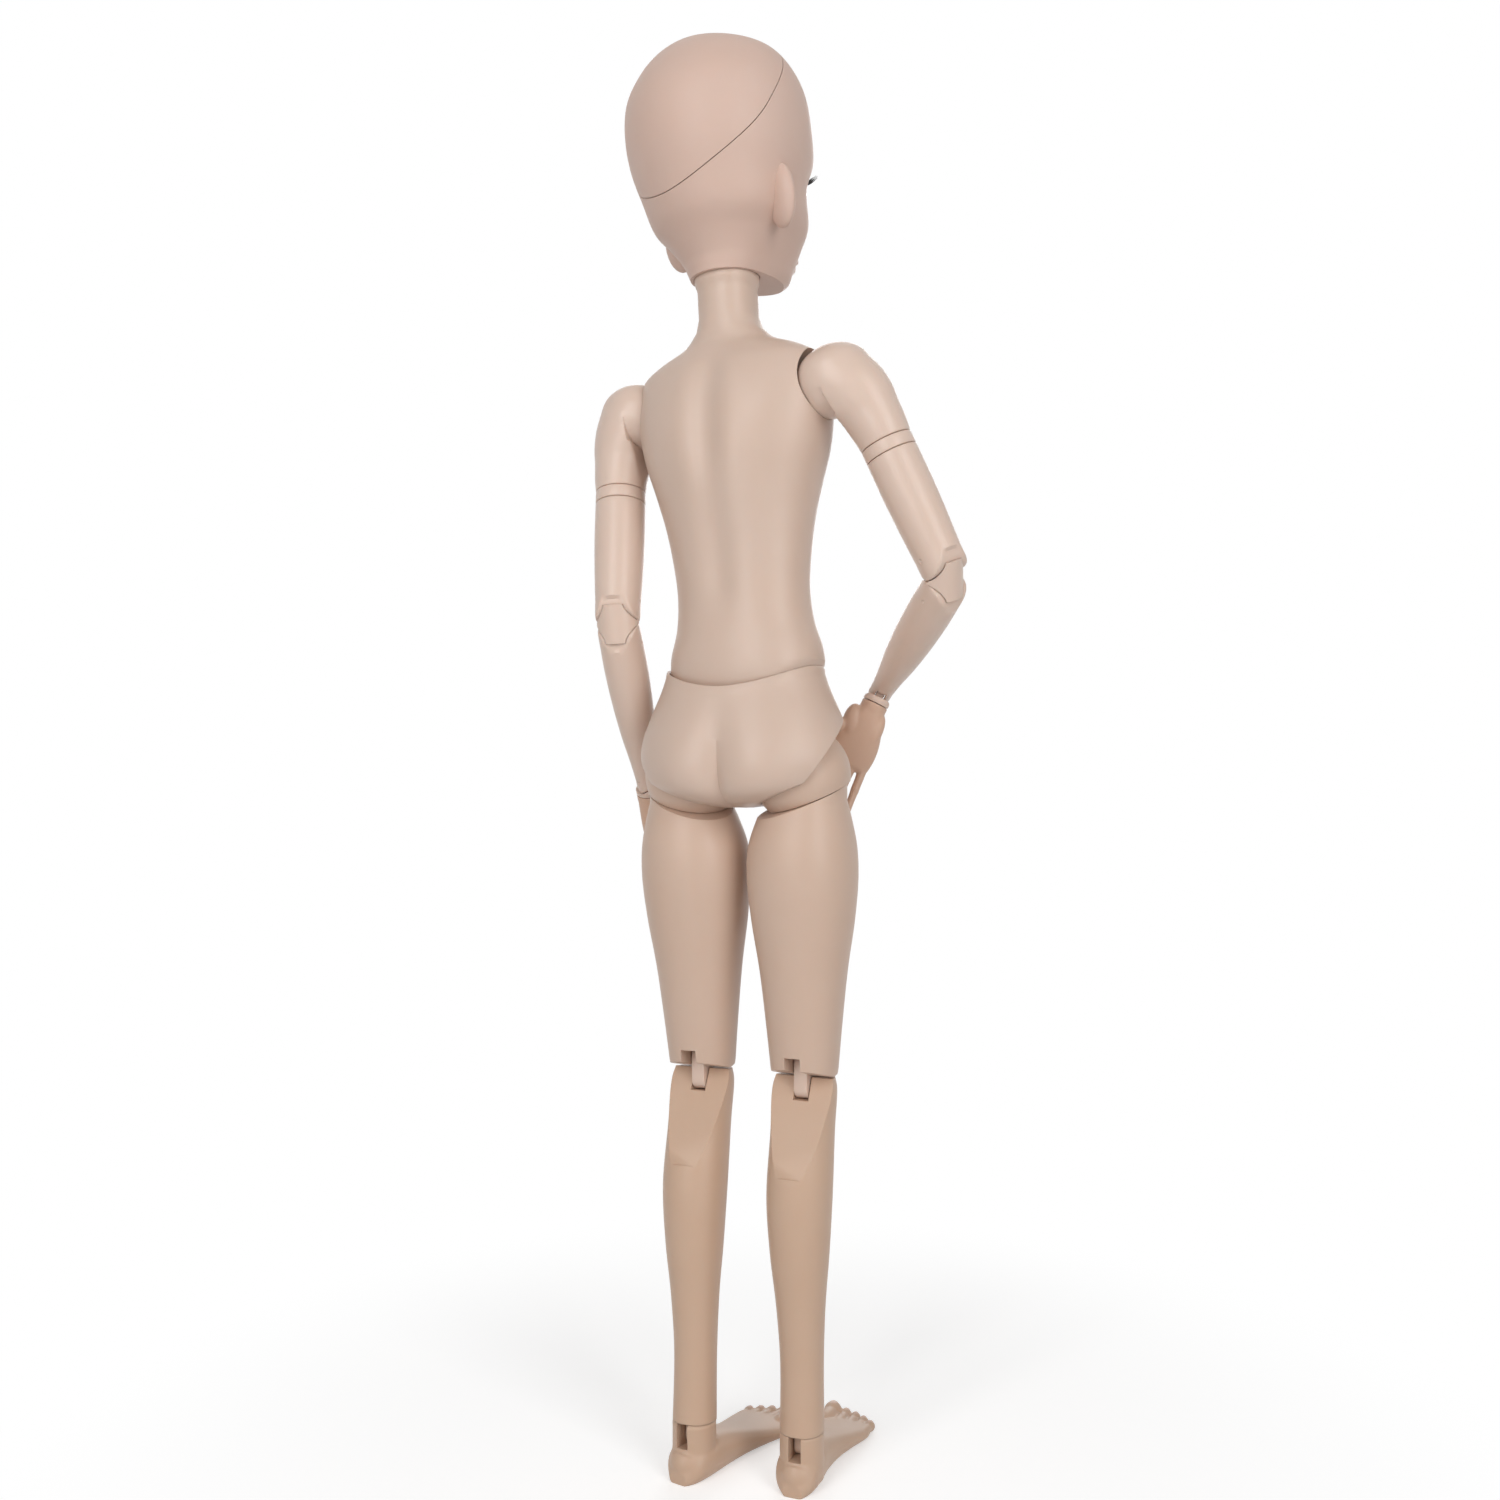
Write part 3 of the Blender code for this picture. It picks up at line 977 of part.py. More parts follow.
def build_leg(side, s, pelvis, knee_bend):
    hip = (s * HIP_SPAN / 2, 0.0, 0.0)
    swing = pivot(side + "_hip_peg_pivot", pelvis, hip, turn((-1, 0, 0), LEG_SWING[side]))
    peg_length = HIP_SPAN / 2 - WAIST_STEM_RADIUS
    peg = add_piece(side + "_hip_peg", rod(PEG_RADIUS, peg_length, 'X', (-s * peg_length / 2, 0.0, 0.0)),
                    swing, INNER_PLASTIC)
    eye = add_cutter(side + "_hip_eye", rod(PEG_EYE_RADIUS, 2 * PEG_EYE_HALF_WIDTH, 'Y'), swing)
    eye_hole = add_cutter(side + "_hip_eye_hole", rod(PIN_RADIUS + GAP, 3 * PEG_EYE_HALF_WIDTH, 'Y'), swing)
    cut(join(peg, eye), eye_hole)

    spread = pivot(side + "_hip_ball_pivot", swing, turned=turn((0, -s, 0), LEG_SPREAD[side]))
    hip_ball = add_piece(side + "_hip_ball", ball(HIP_BALL_RADIUS, segments=16), spread, LEG_SKIN)
    reach = 2 * HIP_BALL_RADIUS
    tilt = seam_tilt(s)
    seam_place = (0.0, 0.0, -THIGH_SEAM_DROP)
    below = add_cutter(side + "_hip_ball_foot", box((-reach, -reach, -reach), (reach, reach, SEAM / 2), tilt,
                                                    seam_place), spread)
    cavity = add_cutter(side + "_hip_cavity", ball(HIP_CAVITY_RADIUS, (0.0, 0.0, 0.0)), spread)
    wedge = sector(2 * HIP_BALL_RADIUS, PEG_RADIUS + GAP, *HIP_SLOT_ANGLES)
    if s < 0:
        bmesh.ops.scale(wedge, verts=wedge.verts, vec=(-1.0, 1.0, 1.0))
    slot = add_cutter(side + "_hip_slot", wedge, spread)
    pin_length = 2 * HIP_BALL_RADIUS * PIN_REACH_SHARE
    pin_room = add_cutter(side + "_hip_pin_room", rod(PIN_RADIUS + SEAM, pin_length + SEAM, 'Y'), spread)
    peg_hole = rod(CORE_RADIUS, 2 * THIGH_SEAM_DROP)
    bmesh.ops.transform(peg_hole, matrix=Matrix.Translation(Vector(seam_place)) @ tilt, verts=peg_hole.verts)
    cut(hip_ball, below, cavity, slot, pin_room, add_cutter(side + "_thigh_peg_hole", peg_hole, spread))
    add_piece(side + "_hip_pin", rod(PIN_RADIUS, pin_length, 'Y'), spread, STEEL)

    thigh = pivot(side + "_thigh_pivot", spread, seam_place, tilt)
    body_frame = Matrix.Translation(Vector((0.0, 0.0, THIGH_SEAM_DROP)))
    untilted = tilt.inverted() @ body_frame
    build_thigh(side, s, thigh, untilted, reach)
    half = knee_bend / 2
    knee = untilted @ Matrix.Translation(Vector((0.0, 0.0, -THIGH_LENGTH)))
    link = pivot(side + "_knee_link_pivot", thigh)
    link.matrix_local = knee @ turn('X', half)
    strap = add_piece(side + "_knee_link", stadium(KNEE_LINK_RADIUS, KNEE_LINK_LENGTH, KNEE_LINK_WIDTH),
                      link, LEG_SKIN)
    pin_length = 2 * CALF_RADIUS * PIN_REACH_SHARE
    cut(strap, hinge_pin(side + "_knee_upper_pin", link, 0.0, pin_length),
        hinge_pin(side + "_knee_lower_pin", link, -KNEE_LINK_LENGTH, pin_length))
    calf = pivot(side + "_calf_pivot", link, (0.0, 0.0, -KNEE_LINK_LENGTH), turn('X', half))
    build_calf(side, s, calf)
    return calf


def build_thigh(side, s, thigh, untilted, reach):
    bottom = THIGH_LENGTH + (KNEE_LINK_LENGTH - KNEE_SPLIT) / 2
    rows = []
    for row in THIGH_SHARES:
        lateral = s * THIGH_RADIUS * (1.0 - row[1]) * THIGH_LATERAL_SHARE
        rows.append((-bottom * row[0], THIGH_RADIUS * row[1], THIGH_RADIUS * row[2], THIGH_RADIUS * row[3],
                     lateral if row[0] < 0.3 else 0.0, 0.0))
    rows.insert(0, (0.0,) + rows[0][1:])
    bm = loft(rows, RING_SEGMENTS, LEG_SQUARENESS)
    bmesh.ops.transform(bm, matrix=untilted, verts=bm.verts)
    piece = add_piece(side + "_thigh", bm, thigh, LEG_SKIN)
    above = box((-reach, -reach, -SEAM / 2), (reach, reach, reach))
    pin_length = 2 * CALF_RADIUS * PIN_REACH_SHARE
    core_length = THIGH_LENGTH - 3 * KNEE_LINK_RADIUS
    slot = strap_slot(side + "_thigh_slot", thigh, KNEE_LINK_WIDTH + 2 * GAP, KNEE_LINK_RADIUS + GAP, -THIGH_LENGTH,
                      -1, KNEE_LINK_RADIUS + GAP, 2 * THIGH_RADIUS, untilted)
    pocket = pin_pocket(side + "_thigh_pocket", thigh, -THIGH_LENGTH, pin_length, untilted)
    core = rod(CORE_RADIUS, core_length, centre=(0.0, 0.0, -core_length / 2))
    bmesh.ops.transform(core, matrix=untilted, verts=core.verts)
    relief = box((-2 * THIGH_RADIUS, 0.0, -4 * THIGH_RADIUS), (2 * THIGH_RADIUS, 2 * THIGH_RADIUS, 0.0),
                 turn('X', THIGH_RELIEF_TILT), (0.0, THIGH_RELIEF_START, -bottom))
    bmesh.ops.transform(relief, matrix=untilted, verts=relief.verts)
    cut(piece, add_cutter(side + "_thigh_top", above, thigh), slot, pocket,
        add_cutter(side + "_thigh_core", core, thigh), add_cutter(side + "_thigh_relief", relief, thigh))


def build_calf(side, s, calf):
    """From the knee's lower pin to the dish that turns on the foot's dome."""
    top = (KNEE_LINK_LENGTH - KNEE_SPLIT) / 2
    bottom = -(SHIN_LENGTH - ANKLE_SEAM_RISE)
    rows = []
    for row in CALF_SHARES:
        z = top + (bottom - top) * row[0] / CALF_SHARES[-1][0]
        rows.append((z, CALF_RADIUS * row[1], CALF_RADIUS * row[2], CALF_RADIUS * row[3],
                     0.0, CALF_RADIUS * row[5]))
    last = rows[-1]
    rows.append((bottom - OVERRUN / 4,) + last[1:])
    piece = add_piece(side + "_calf", loft(rows, RING_SEGMENTS, LEG_SQUARENESS), calf, LEG_SKIN)
    relief_angle = degrees(atan2(KNEE_RELIEF_LENGTH, KNEE_RELIEF_DEPTH))
    relief = box((-2 * CALF_RADIUS, 0.0, 0.0), (2 * CALF_RADIUS, 3 * CALF_RADIUS, 3 * CALF_RADIUS),
                 turn('X', -relief_angle), (0.0, CALF_RADIUS * CALF_SHARES[0][3] - KNEE_RELIEF_DEPTH, top))
    slot = strap_slot(side + "_calf_slot", calf, KNEE_LINK_WIDTH + 2 * GAP, KNEE_LINK_RADIUS + GAP, 0.0, 1,
                      KNEE_LINK_RADIUS + GAP, 2 * CALF_RADIUS)
    pocket = pin_pocket(side + "_calf_pocket", calf, 0.0, 2 * CALF_RADIUS * PIN_REACH_SHARE)
    dish = add_cutter(side + "_ankle_dish", seat(ANKLE_DOME_RADIUS + GAP, (0.0, 0.0, -SHIN_LENGTH), 16), calf)
    core_length = SHIN_LENGTH - 3 * KNEE_LINK_RADIUS
    core = add_cutter(side + "_calf_core", rod(CORE_RADIUS, core_length, centre=(
        0.0, 0.0, -SHIN_LENGTH + core_length / 2)), calf)
    cut(piece, slot, add_cutter(side + "_calf_relief", relief, calf), pocket, dish, core)


def build_foot(side, s, calf):
    """The ankle peg turns in the calf, and the foot bends on the peg's pin with its sole flat on the floor."""
    bpy.context.view_layer.update()
    flat = turn('Z', FOOT_HEADING[side])
    leaning = calf.matrix_world.to_3x3().inverted() @ flat.to_3x3()
    heading = degrees(atan2(leaning[1][0], leaning[0][0]))
    peg_pivot = pivot(side + "_ankle_peg_pivot", calf, (0.0, 0.0, -SHIN_LENGTH), turn('Z', heading))
    stem_low = ANKLE_DOME_RADIUS / 2
    stem = rod(CORE_RADIUS - GAP, ANKLE_STEM_LENGTH, centre=(0.0, 0.0, stem_low + ANKLE_STEM_LENGTH / 2))
    peg = add_piece(side + "_ankle_peg", stem, peg_pivot, INNER_PLASTIC)
    tab_span = ANKLE_DOME_RADIUS - ANKLE_TAB_RADIUS - GAP
    tab = stadium(ANKLE_TAB_RADIUS, tab_span, ANKLE_TAB_WIDTH)
    bmesh.ops.translate(tab, verts=tab.verts, vec=(0.0, 0.0, tab_span))
    join(peg, add_cutter(side + "_ankle_tab", tab, peg_pivot))
    pin_length = 2 * ANKLE_RADIUS * PIN_REACH_SHARE
    cut(peg, hinge_pin(side + "_ankle_pin", peg_pivot, 0.0, pin_length))

    bpy.context.view_layer.update()
    foot = pivot(side + "_foot_pivot", peg_pivot,
                 turned=(peg_pivot.matrix_world.to_3x3().inverted() @ flat.to_3x3()).to_4x4())
    rows = []
    for along, width, top, rise in FOOT_SHARES:
        low = FOOT_HEIGHT * rise - SOLE_SINK
        high = FOOT_HEIGHT * top
        middle = (low + high) / 2
        half_height = (high - low) / 2
        inward = -s * FOOT_INWARD * sin(pi * along)
        rows.append((FOOT_LENGTH * along - FOOT_HEEL, FOOT_HALF_WIDTH * width, half_height, half_height,
                     inward, middle - FOOT_HEIGHT))
    bm = loft(rows, RING_SEGMENTS, FOOT_SQUARENESS)
    bmesh.ops.rotate(bm, verts=bm.verts, matrix=Matrix.Rotation(pi / 2, 3, 'X'))
    piece = add_piece(side + "_foot", bm, foot, LEG_SKIN)
    join(piece, add_cutter(side + "_ankle_column", loft(ankle_rows(), RING_SEGMENTS), foot))
    reach = FOOT_LENGTH
    sole = box((-reach, -reach, -reach), (reach, reach, -FOOT_HEIGHT))
    slot_front = ANKLE_DOME_RADIUS * SLOT_FRONT_SHARE
    slot = box((-ANKLE_TAB_WIDTH / 2 - GAP, -slot_front, -ANKLE_TAB_RADIUS - GAP),
               (ANKLE_TAB_WIDTH / 2 + GAP, 2 * FOOT_HEEL, 2 * ANKLE_DOME_RADIUS))
    cut(piece, add_cutter(side + "_sole", sole, foot), add_cutter(side + "_foot_slot", slot, peg_pivot),
        pin_pocket(side + "_foot_pocket", peg_pivot, 0.0, pin_length))
    grooves = []
    for share in TOE_GROOVE_SHARES:
        x = FOOT_HALF_WIDTH * share * s
        grooves.append(box((x - TOE_GROOVE_WIDTH / 2, FOOT_HEEL - 2 * FOOT_LENGTH, -FOOT_HEIGHT - OVERRUN),
                           (x + TOE_GROOVE_WIDTH / 2, FOOT_HEEL - FOOT_LENGTH + TOE_GROOVE_LENGTH, 0.0)))
    cut(piece, add_cutter(side + "_toe_grooves", merged(*grooves), foot))


def ankle_rows():
    """A short column that ends in the dome which the calf turns on."""
    below = sqrt(ANKLE_DOME_RADIUS ** 2 - ANKLE_RADIUS ** 2)
    rows = [(z, ANKLE_RADIUS, ANKLE_RADIUS, ANKLE_RADIUS) for z in (-FOOT_HEIGHT + 2 * SOLE_SINK, 0.0, below)]
    for angle in (45.0, 58.0, 70.0, 80.0):
        reach = ANKLE_DOME_RADIUS * cos(radians(angle))
        rows.append((ANKLE_DOME_RADIUS * sin(radians(angle)), reach, reach, reach))
    return rows


# Stance


def centre_over_floor(root):
    """Slide the doll sideways until the middle of its outline stands over the origin."""
    bpy.context.view_layer.update()
    depsgraph = bpy.context.evaluated_depsgraph_get()
    points = []
    for piece in parts.objects:
        evaluated = piece.evaluated_get(depsgraph)
        mesh = evaluated.to_mesh()
        points += [evaluated.matrix_world @ vert.co for vert in mesh.vertices]
        evaluated.to_mesh_clear()
    for axis in (0, 1):
        values = [point[axis] for point in points]
        root.location[axis] -= (min(values) + max(values)) / 2


parts = None
cutters = None


def main():
    global parts, cutters
    clear_scene()
    parts = new_collection("ball_jointed_doll")
    cutters = new_collection("cutters")
    drop = ankle_drop("right", -1, RIGHT_KNEE_BEND)
    pelvis = pivot("pelvis_pivot", None, (0.0, 0.0, FOOT_HEIGHT + drop), turn('Y', PELVIS_ROLL))
    build_pelvis(pelvis)
    for side, s, bend in (("left", 1, left_knee_bend(drop)), ("right", -1, RIGHT_KNEE_BEND)):
        calf = build_leg(side, s, pelvis, bend)
        build_foot(side, s, calf)
    torso = build_waist(pelvis)
    build_torso(torso)
    build_neck(torso)
    for side, s in (("left", 1), ("right", -1)):
        build_arm(side, s, torso)
    centre_over_floor(pelvis)


if __name__ == "__main__":
    main()
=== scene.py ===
"""Ball jointed doll about 60 cm tall, one hand on the hip, seen from behind on its right side.

Metres, +Z up. The doll faces -Y and its left side is +X.
"""
from math import atan2, copysign, cos, degrees, exp, pi, radians, sin, sqrt

import bmesh
import bpy
from mathutils import Matrix, Vector


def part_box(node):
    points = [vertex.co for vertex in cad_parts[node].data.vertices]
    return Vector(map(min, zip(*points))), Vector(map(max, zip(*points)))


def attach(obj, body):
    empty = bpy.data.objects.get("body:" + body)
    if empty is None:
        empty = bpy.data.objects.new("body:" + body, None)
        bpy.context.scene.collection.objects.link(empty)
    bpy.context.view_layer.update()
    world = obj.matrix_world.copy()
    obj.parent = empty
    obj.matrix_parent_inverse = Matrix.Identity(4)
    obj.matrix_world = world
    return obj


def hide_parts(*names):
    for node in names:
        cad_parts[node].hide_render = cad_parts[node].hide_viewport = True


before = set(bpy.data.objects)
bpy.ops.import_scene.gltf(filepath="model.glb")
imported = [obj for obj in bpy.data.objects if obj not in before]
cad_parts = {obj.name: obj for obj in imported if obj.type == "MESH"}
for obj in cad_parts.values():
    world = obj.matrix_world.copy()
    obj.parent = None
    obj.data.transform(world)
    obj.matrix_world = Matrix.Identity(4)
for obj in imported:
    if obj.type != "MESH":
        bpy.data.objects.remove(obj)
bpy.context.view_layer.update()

MM = 0.001

# Clearances
GAP = 0.4 * MM
SEAM = 0.3 * MM
OVERRUN = 4.0 * MM
TIGHT = 0.12 * MM

# Head
HEAD_HEIGHT = 98.0 * MM
HEAD_HALF_WIDTH = 37.5 * MM
HEAD_FRONT = 39.0 * MM
HEAD_BACK = 38.5 * MM
HEAD_WALL = 4.5 * MM
CAVITY_FLOOR = 19.0 * MM
CAP_POINT = (0.0 * MM, 30.0 * MM, 22.0 * MM)
CAP_TILT = 58.8
CAP_SEAM_LIFT = 5.2 * MM
CAP_SEAM_START = 2.0 * MM
CAP_SEAM_END = 42.0 * MM
EYE_RADIUS = 9.0 * MM
EYE_SPACING = 30.0 * MM
EYE_HEIGHT = 38.0 * MM
EYE_DEPTH = 22.4 * MM
EYE_OPENING_WIDTH = 15.0 * MM
EYE_OPENING_HEIGHT = 9.0 * MM
LOWER_LID_SHARE = 0.78
EYE_CORNER_RISE_SHARE = 0.12
EYE_CORNER_NARROWING_SHARE = 0.45
IRIS_RADIUS = 4.4 * MM
PUPIL_RADIUS = 1.9 * MM
CORNEA_RISE = 0.35 * MM
LASH_LENGTH = 6.4 * MM
LASH_RADIUS = 0.26 * MM
LASH_COUNT = 26
LASH_BENDS = 6
LASH_FIRST_ANGLE = 14.0
LASH_SWEEP = 152.0
LASH_ROOT_SHARE = 0.98
LASH_CURL_SHARE = 0.85
LASH_TAPER_SHARE = 0.16
MAGNET_RADIUS = 1.2 * MM
MAGNET_DEPTH = 2.0 * MM
MAGNET_SINK_SHARE = 1.16
EAR_LENGTH = 26.0 * MM
EAR_WIDTH = 4.0 * MM
EAR_REACH = 4.0 * MM
EAR_RISE = 26.0 * MM
EAR_SETBACK = -3.2 * MM
EAR_SEAT_SHARE = 0.95
EAR_LEAN = 6.0
EAR_FLARE = 10.0
EAR_HOLLOW_SHARES = (1.1, 0.62, 0.32)
EAR_HOLLOW_PLACE_SHARES = (0.15, 0.55, 0.06)
HEAD_SOCKET_RADIUS = 3.8 * MM

# Neck
NECK_RADIUS = 12.3 * MM
NECK_DOME_RADIUS = 13.3 * MM
NECK_HEIGHT = 139.0 * MM
NECK_MOUTH = 9.8 * MM
NECK_BALL_RADIUS = 5.0 * MM
NECK_STEM_RADIUS = 4.2 * MM
NECK_DOME_ANGLES = (-10.0, 0.0, 10.0, 20.0, 30.0, 38.0)

# Torso and waist
CHEST_HALF_WIDTH = 43.0 * MM
CHEST_FRONT = 31.0 * MM
CHEST_BACK = 26.0 * MM
TORSO_WALL = 3.5 * MM
SHOULDER_SPAN = 90.0 * MM
SHOULDER_RISE_SHARE = 0.64
SHOULDER_HEIGHT = NECK_HEIGHT * SHOULDER_RISE_SHARE
SHOULDER_RADIUS = 15.5 * MM
CAP_MEDIAL_REACH = 1.0 * MM
WAIST_DOME_RADIUS = 40.0 * MM
WAIST_HEIGHT = 67.0 * MM
WAIST_HOLE_RADIUS = 17.5 * MM
WAIST_STEM_RADIUS = 2.6 * MM
WAIST_STEM_DEPTH = 17.0 * MM
WAIST_CAVITY_SHARE = 0.6
NECK_FADE = (100.0 * MM, 116.0 * MM)
COLLARBONE_HEIGHT = 101.0 * MM
COLLARBONE_OUT = 0.9 * MM
COLLARBONE_REACH = 2.6 * MM
COLLARBONE_FALL_SHARE = 0.10
COLLARBONE_MARKS = (5.0 * MM, 12.0 * MM, 30.0 * MM, 38.0 * MM)
TORSO_POWER = 2.15

# Pelvis
PELVIS_HALF_WIDTH = 45.0 * MM
PELVIS_FRONT = 25.0 * MM
PELVIS_BACK = 32.0 * MM
PELVIS_HEIGHT = 62.0 * MM
CROTCH_HALF_WIDTH = 5.2 * MM
HIP_SPAN = 49.0 * MM
HIP_BALL_RADIUS = 20.0 * MM
LEG_LINE_RISE = -5.5 * MM
LEG_LINE_SIDE_SHARE = 0.40
LEG_LINE_BACK_SHARE = -0.05
LEG_CUT_RISE = 1.1 * MM
LEG_CUT_SIDE_SHARE = 1.064
LEG_CUT_BACK_SHARE = -0.668
RIM_OUT = 0.45 * MM
RIM_DROP = 1.6 * MM
RIM_REACH = 1.5 * MM
PELVIS_POWER = 2.2

# Legs
THIGH_LENGTH = 118.0 * MM
THIGH_RADIUS = 22.5 * MM
THIGH_SEAM_DROP = 10.0 * MM
THIGH_SEAM_SIDE_TILT = 17.0
THIGH_SEAM_BACK_TILT = 14.0
KNEE_LINK_LENGTH = 9.0 * MM
KNEE_LINK_WIDTH = 5.8 * MM
KNEE_LINK_RADIUS = 4.6 * MM
KNEE_SPLIT = 0.8 * MM
KNEE_RELIEF_LENGTH = 27.0 * MM
KNEE_RELIEF_DEPTH = 11.5 * MM
THIGH_RELIEF_TILT = 18.0
THIGH_RELIEF_START = 0.5 * MM
THIGH_LATERAL_SHARE = 0.3
THIGH_LATERAL_END_SHARE = 0.3
SHIN_LENGTH = 145.0 * MM
CALF_RADIUS = 13.8 * MM
ANKLE_DOME_RADIUS = 10.8 * MM
ANKLE_SEAM_RISE = 6.0 * MM
ANKLE_TAB_WIDTH = 4.4 * MM
ANKLE_TAB_RADIUS = 3.0 * MM
FOOT_HEIGHT = 16.0 * MM
FOOT_LENGTH = 77.0 * MM
FOOT_HEEL = 11.5 * MM
FOOT_HALF_WIDTH = 14.0 * MM
ANKLE_RADIUS = 9.0 * MM
SOLE_SINK = 1.2 * MM
FOOT_INWARD = 1.5 * MM
SLOT_FRONT_SHARE = 0.7
LEG_PEG_SWEEP = (-25.0, 50.0)
THIGH_EDGE = 1.1 * MM
KNEE_LINK_EDGE = 0.35 * MM
LEG_POWER = 2.1
FOOT_POWER = 2.4
FOOT_GRAIN = 0.5 * MM
ANKLE_BLEND = (-6.0 * MM, -2.0 * MM)
ANKLE_COLUMN_SHARES = (0.0, 0.5, 0.65, 0.8, 0.9, 0.985)

# Arms
UPPER_ARM_LENGTH = 82.5 * MM
UPPER_ARM_RADIUS = 10.6 * MM
ARM_OFFSET = 10.0 * MM
BAND_DROP = 33.0 * MM
BAND_HEIGHT = 5.0 * MM
ELBOW_END_RADIUS = 8.2 * MM
ELBOW_LINK_LENGTH = 17.2 * MM
FOREARM_LENGTH = 64.5 * MM
FOREARM_RADIUS = 9.2 * MM
WRIST_END_RADIUS = 5.0 * MM
WRIST_LINK_DROP = 7.0 * MM
WRIST_RADIUS = 5.8 * MM
WRIST_PIN_HEADING = 35.1
WRIST_LEDGE_DROP = 4.2 * MM
STRAP_WIDTH = 5.8 * MM
STRAP_RADIUS = 4.4 * MM
SADDLE_START = 2.8 * MM
WRIST_STRAP_WIDTH = 3.6 * MM
WRIST_STRAP_RADIUS = 2.2 * MM
HAND_LENGTH = 58.0 * MM
PALM_LENGTH = 26.0 * MM
PALM_HALF_WIDTH = 10.5 * MM
PALM_THICKNESS = 8.0 * MM
HAND_BASE = 3.0 * MM
THUMB_LENGTH = 22.0 * MM
FINGER_RADIUS = 2.35 * MM
THUMB_RADIUS = 2.7 * MM
PEG_RADIUS = 2.4 * MM
SHOULDER_CAVITY_RADIUS = 7.6 * MM
HIP_CAVITY_RADIUS = 9.0 * MM
PIN_RADIUS = 1.0 * MM
CORE_RADIUS = 3.0 * MM
PIN_REACH_SHARE = 0.72
ARM_PEG_SWEEP = (-30.0, 75.0)
CORE_TOP_SHARE = 0.6
CORE_SIDE_SHARE = 0.8
EDGE_SOFTNESS = 0.45 * MM
WRIST_EDGE = 0.35 * MM
DIMPLE_RADIUS = 0.9 * MM
DIMPLE_PROUD = 0.35 * MM
DOT_RADIUS = 0.8 * MM
DOT_PROUD = 0.25 * MM
HINGE_END_ANGLES = (8.0, 16.0, 24.0, 32.0, 40.0, 48.0, 56.0, 64.0, 72.0, 79.0, 85.0)
HINGE_CHEEK_SHARE = 0.10
EDGE_SHARES = ((1.0, 0.0), (0.45, 0.15), (0.12, 0.5))
PALM_POWER = 2.5
HAND_GRAIN = 0.42 * MM
FINGER_BONE_SHARES = (0.46, 0.29, 0.25)
FINGER_CURL = 22.0
THUMB_BONE_SHARES = (0.5, 0.5)
THUMB_CURL = -14.0

# Pose in degrees
PELVIS_ROLL = 0.8
TORSO_TURN = -4.9
TORSO_TILT = 2.6
HEAD_TURN = -18.5
LEG_SWING = {"left": 2.0, "right": 1.2}
LEG_SPREAD = {"left": -0.3, "right": -0.7}
RIGHT_KNEE_BEND = 2.5
FOOT_HEADING = {"left": -9.9, "right": 1.5}
ARM_SWING = {"left": -12.6, "right": 8.9}
ARM_RAISE = {"left": -3.4, "right": 19.5}
ARM_TURN = {"left": 17.0, "right": 60.0}
ELBOW_BEND = {"left": 42.0, "right": 70.6}
WRIST_BEND = {"left": 0.0, "right": 51.7}
HAND_TURN = {"left": 0.0, "right": 35.1}
SIDES = (("left", 1), ("right", -1))

# Sections of the lofts: height, half width, front depth, back depth, sideways and backward shift.
HEAD_SHARES = [
    (0.00, 0.40, 0.74, 0.395), (0.03, 0.44, 0.84, 0.41), (0.07, 0.49, 0.88, 0.44),
    (0.15, 0.63, 0.93, 0.58), (0.23, 0.81, 0.95, 0.74), (0.35, 0.90, 0.95, 0.87),
    (0.48, 1.00, 1.00, 0.98), (0.60, 1.03, 0.975, 1.03), (0.73, 1.015, 0.90, 1.00),
    (0.84, 0.895, 0.755, 0.86), (0.915, 0.72, 0.57, 0.70), (0.98, 0.36, 0.25, 0.44),
    (1.00, 0.12, 0.02, 0.24), (1.001, 0.02, 0.004, 0.05),
]
TORSO_SHARES = [
    (-0.262, 0.60, 0.70, 0.78), (-0.20, 0.76, 0.76, 0.90), (-0.13, 0.77, 0.76, 0.91),
    (-0.04, 0.69, 0.71, 0.83), (0.06, 0.665, 0.68, 0.79), (0.17, 0.70, 0.73, 0.81),
    (0.27, 0.755, 0.81, 0.88), (0.37, 0.84, 0.93, 0.96), (0.47, 0.94, 1.00, 1.00),
    (0.57, 1.00, 0.93, 0.97), (0.66, 0.995, 0.80, 0.87), (0.72, 0.95, 0.66, 0.75),
    (0.76, 0.77, 0.52, 0.62), (0.80, 0.47, 0.415, 0.50), (0.84, 0.33, 0.40, 0.475),
]
PELVIS_SHARES = [
    (-0.21, 0.20, 0.40, 0.40), (-0.16, 0.60, 0.64, 0.78), (-0.07, 0.89, 0.80, 0.96),
    (0.06, 1.00, 0.90, 1.00), (0.22, 0.99, 0.97, 0.98), (0.38, 0.91, 0.97, 0.91),
    (0.56, 0.80, 0.94, 0.80), (0.74, 0.715, 0.91, 0.71),
]
THIGH_SHARES = [
    (0.085, 0.74, 0.74, 0.74), (0.15, 0.86, 0.84, 0.86), (0.24, 0.98, 0.96, 0.98),
    (0.34, 1.00, 1.00, 1.00), (0.48, 0.93, 0.96, 0.92), (0.65, 0.79, 0.84, 0.78),
    (0.84, 0.68, 0.71, 0.66), (1.00, 0.60, 0.63, 0.57),
]
CALF_SHARES = [
    (0.00, 0.90, 0.90, 0.86, 0.0, 0.0), (0.03, 0.96, 0.95, 0.92, 0.0, 0.0),
    (0.14, 0.94, 0.93, 0.96, 0.0, 0.10), (0.32, 0.96, 0.96, 1.00, 0.0, 0.32),
    (0.48, 0.86, 0.88, 0.90, 0.0, 0.28), (0.62, 0.72, 0.74, 0.74, 0.0, 0.17),
    (0.78, 0.635, 0.65, 0.65, 0.0, 0.04), (0.97, 0.65, 0.66, 0.66, 0.0, 0.0),
]
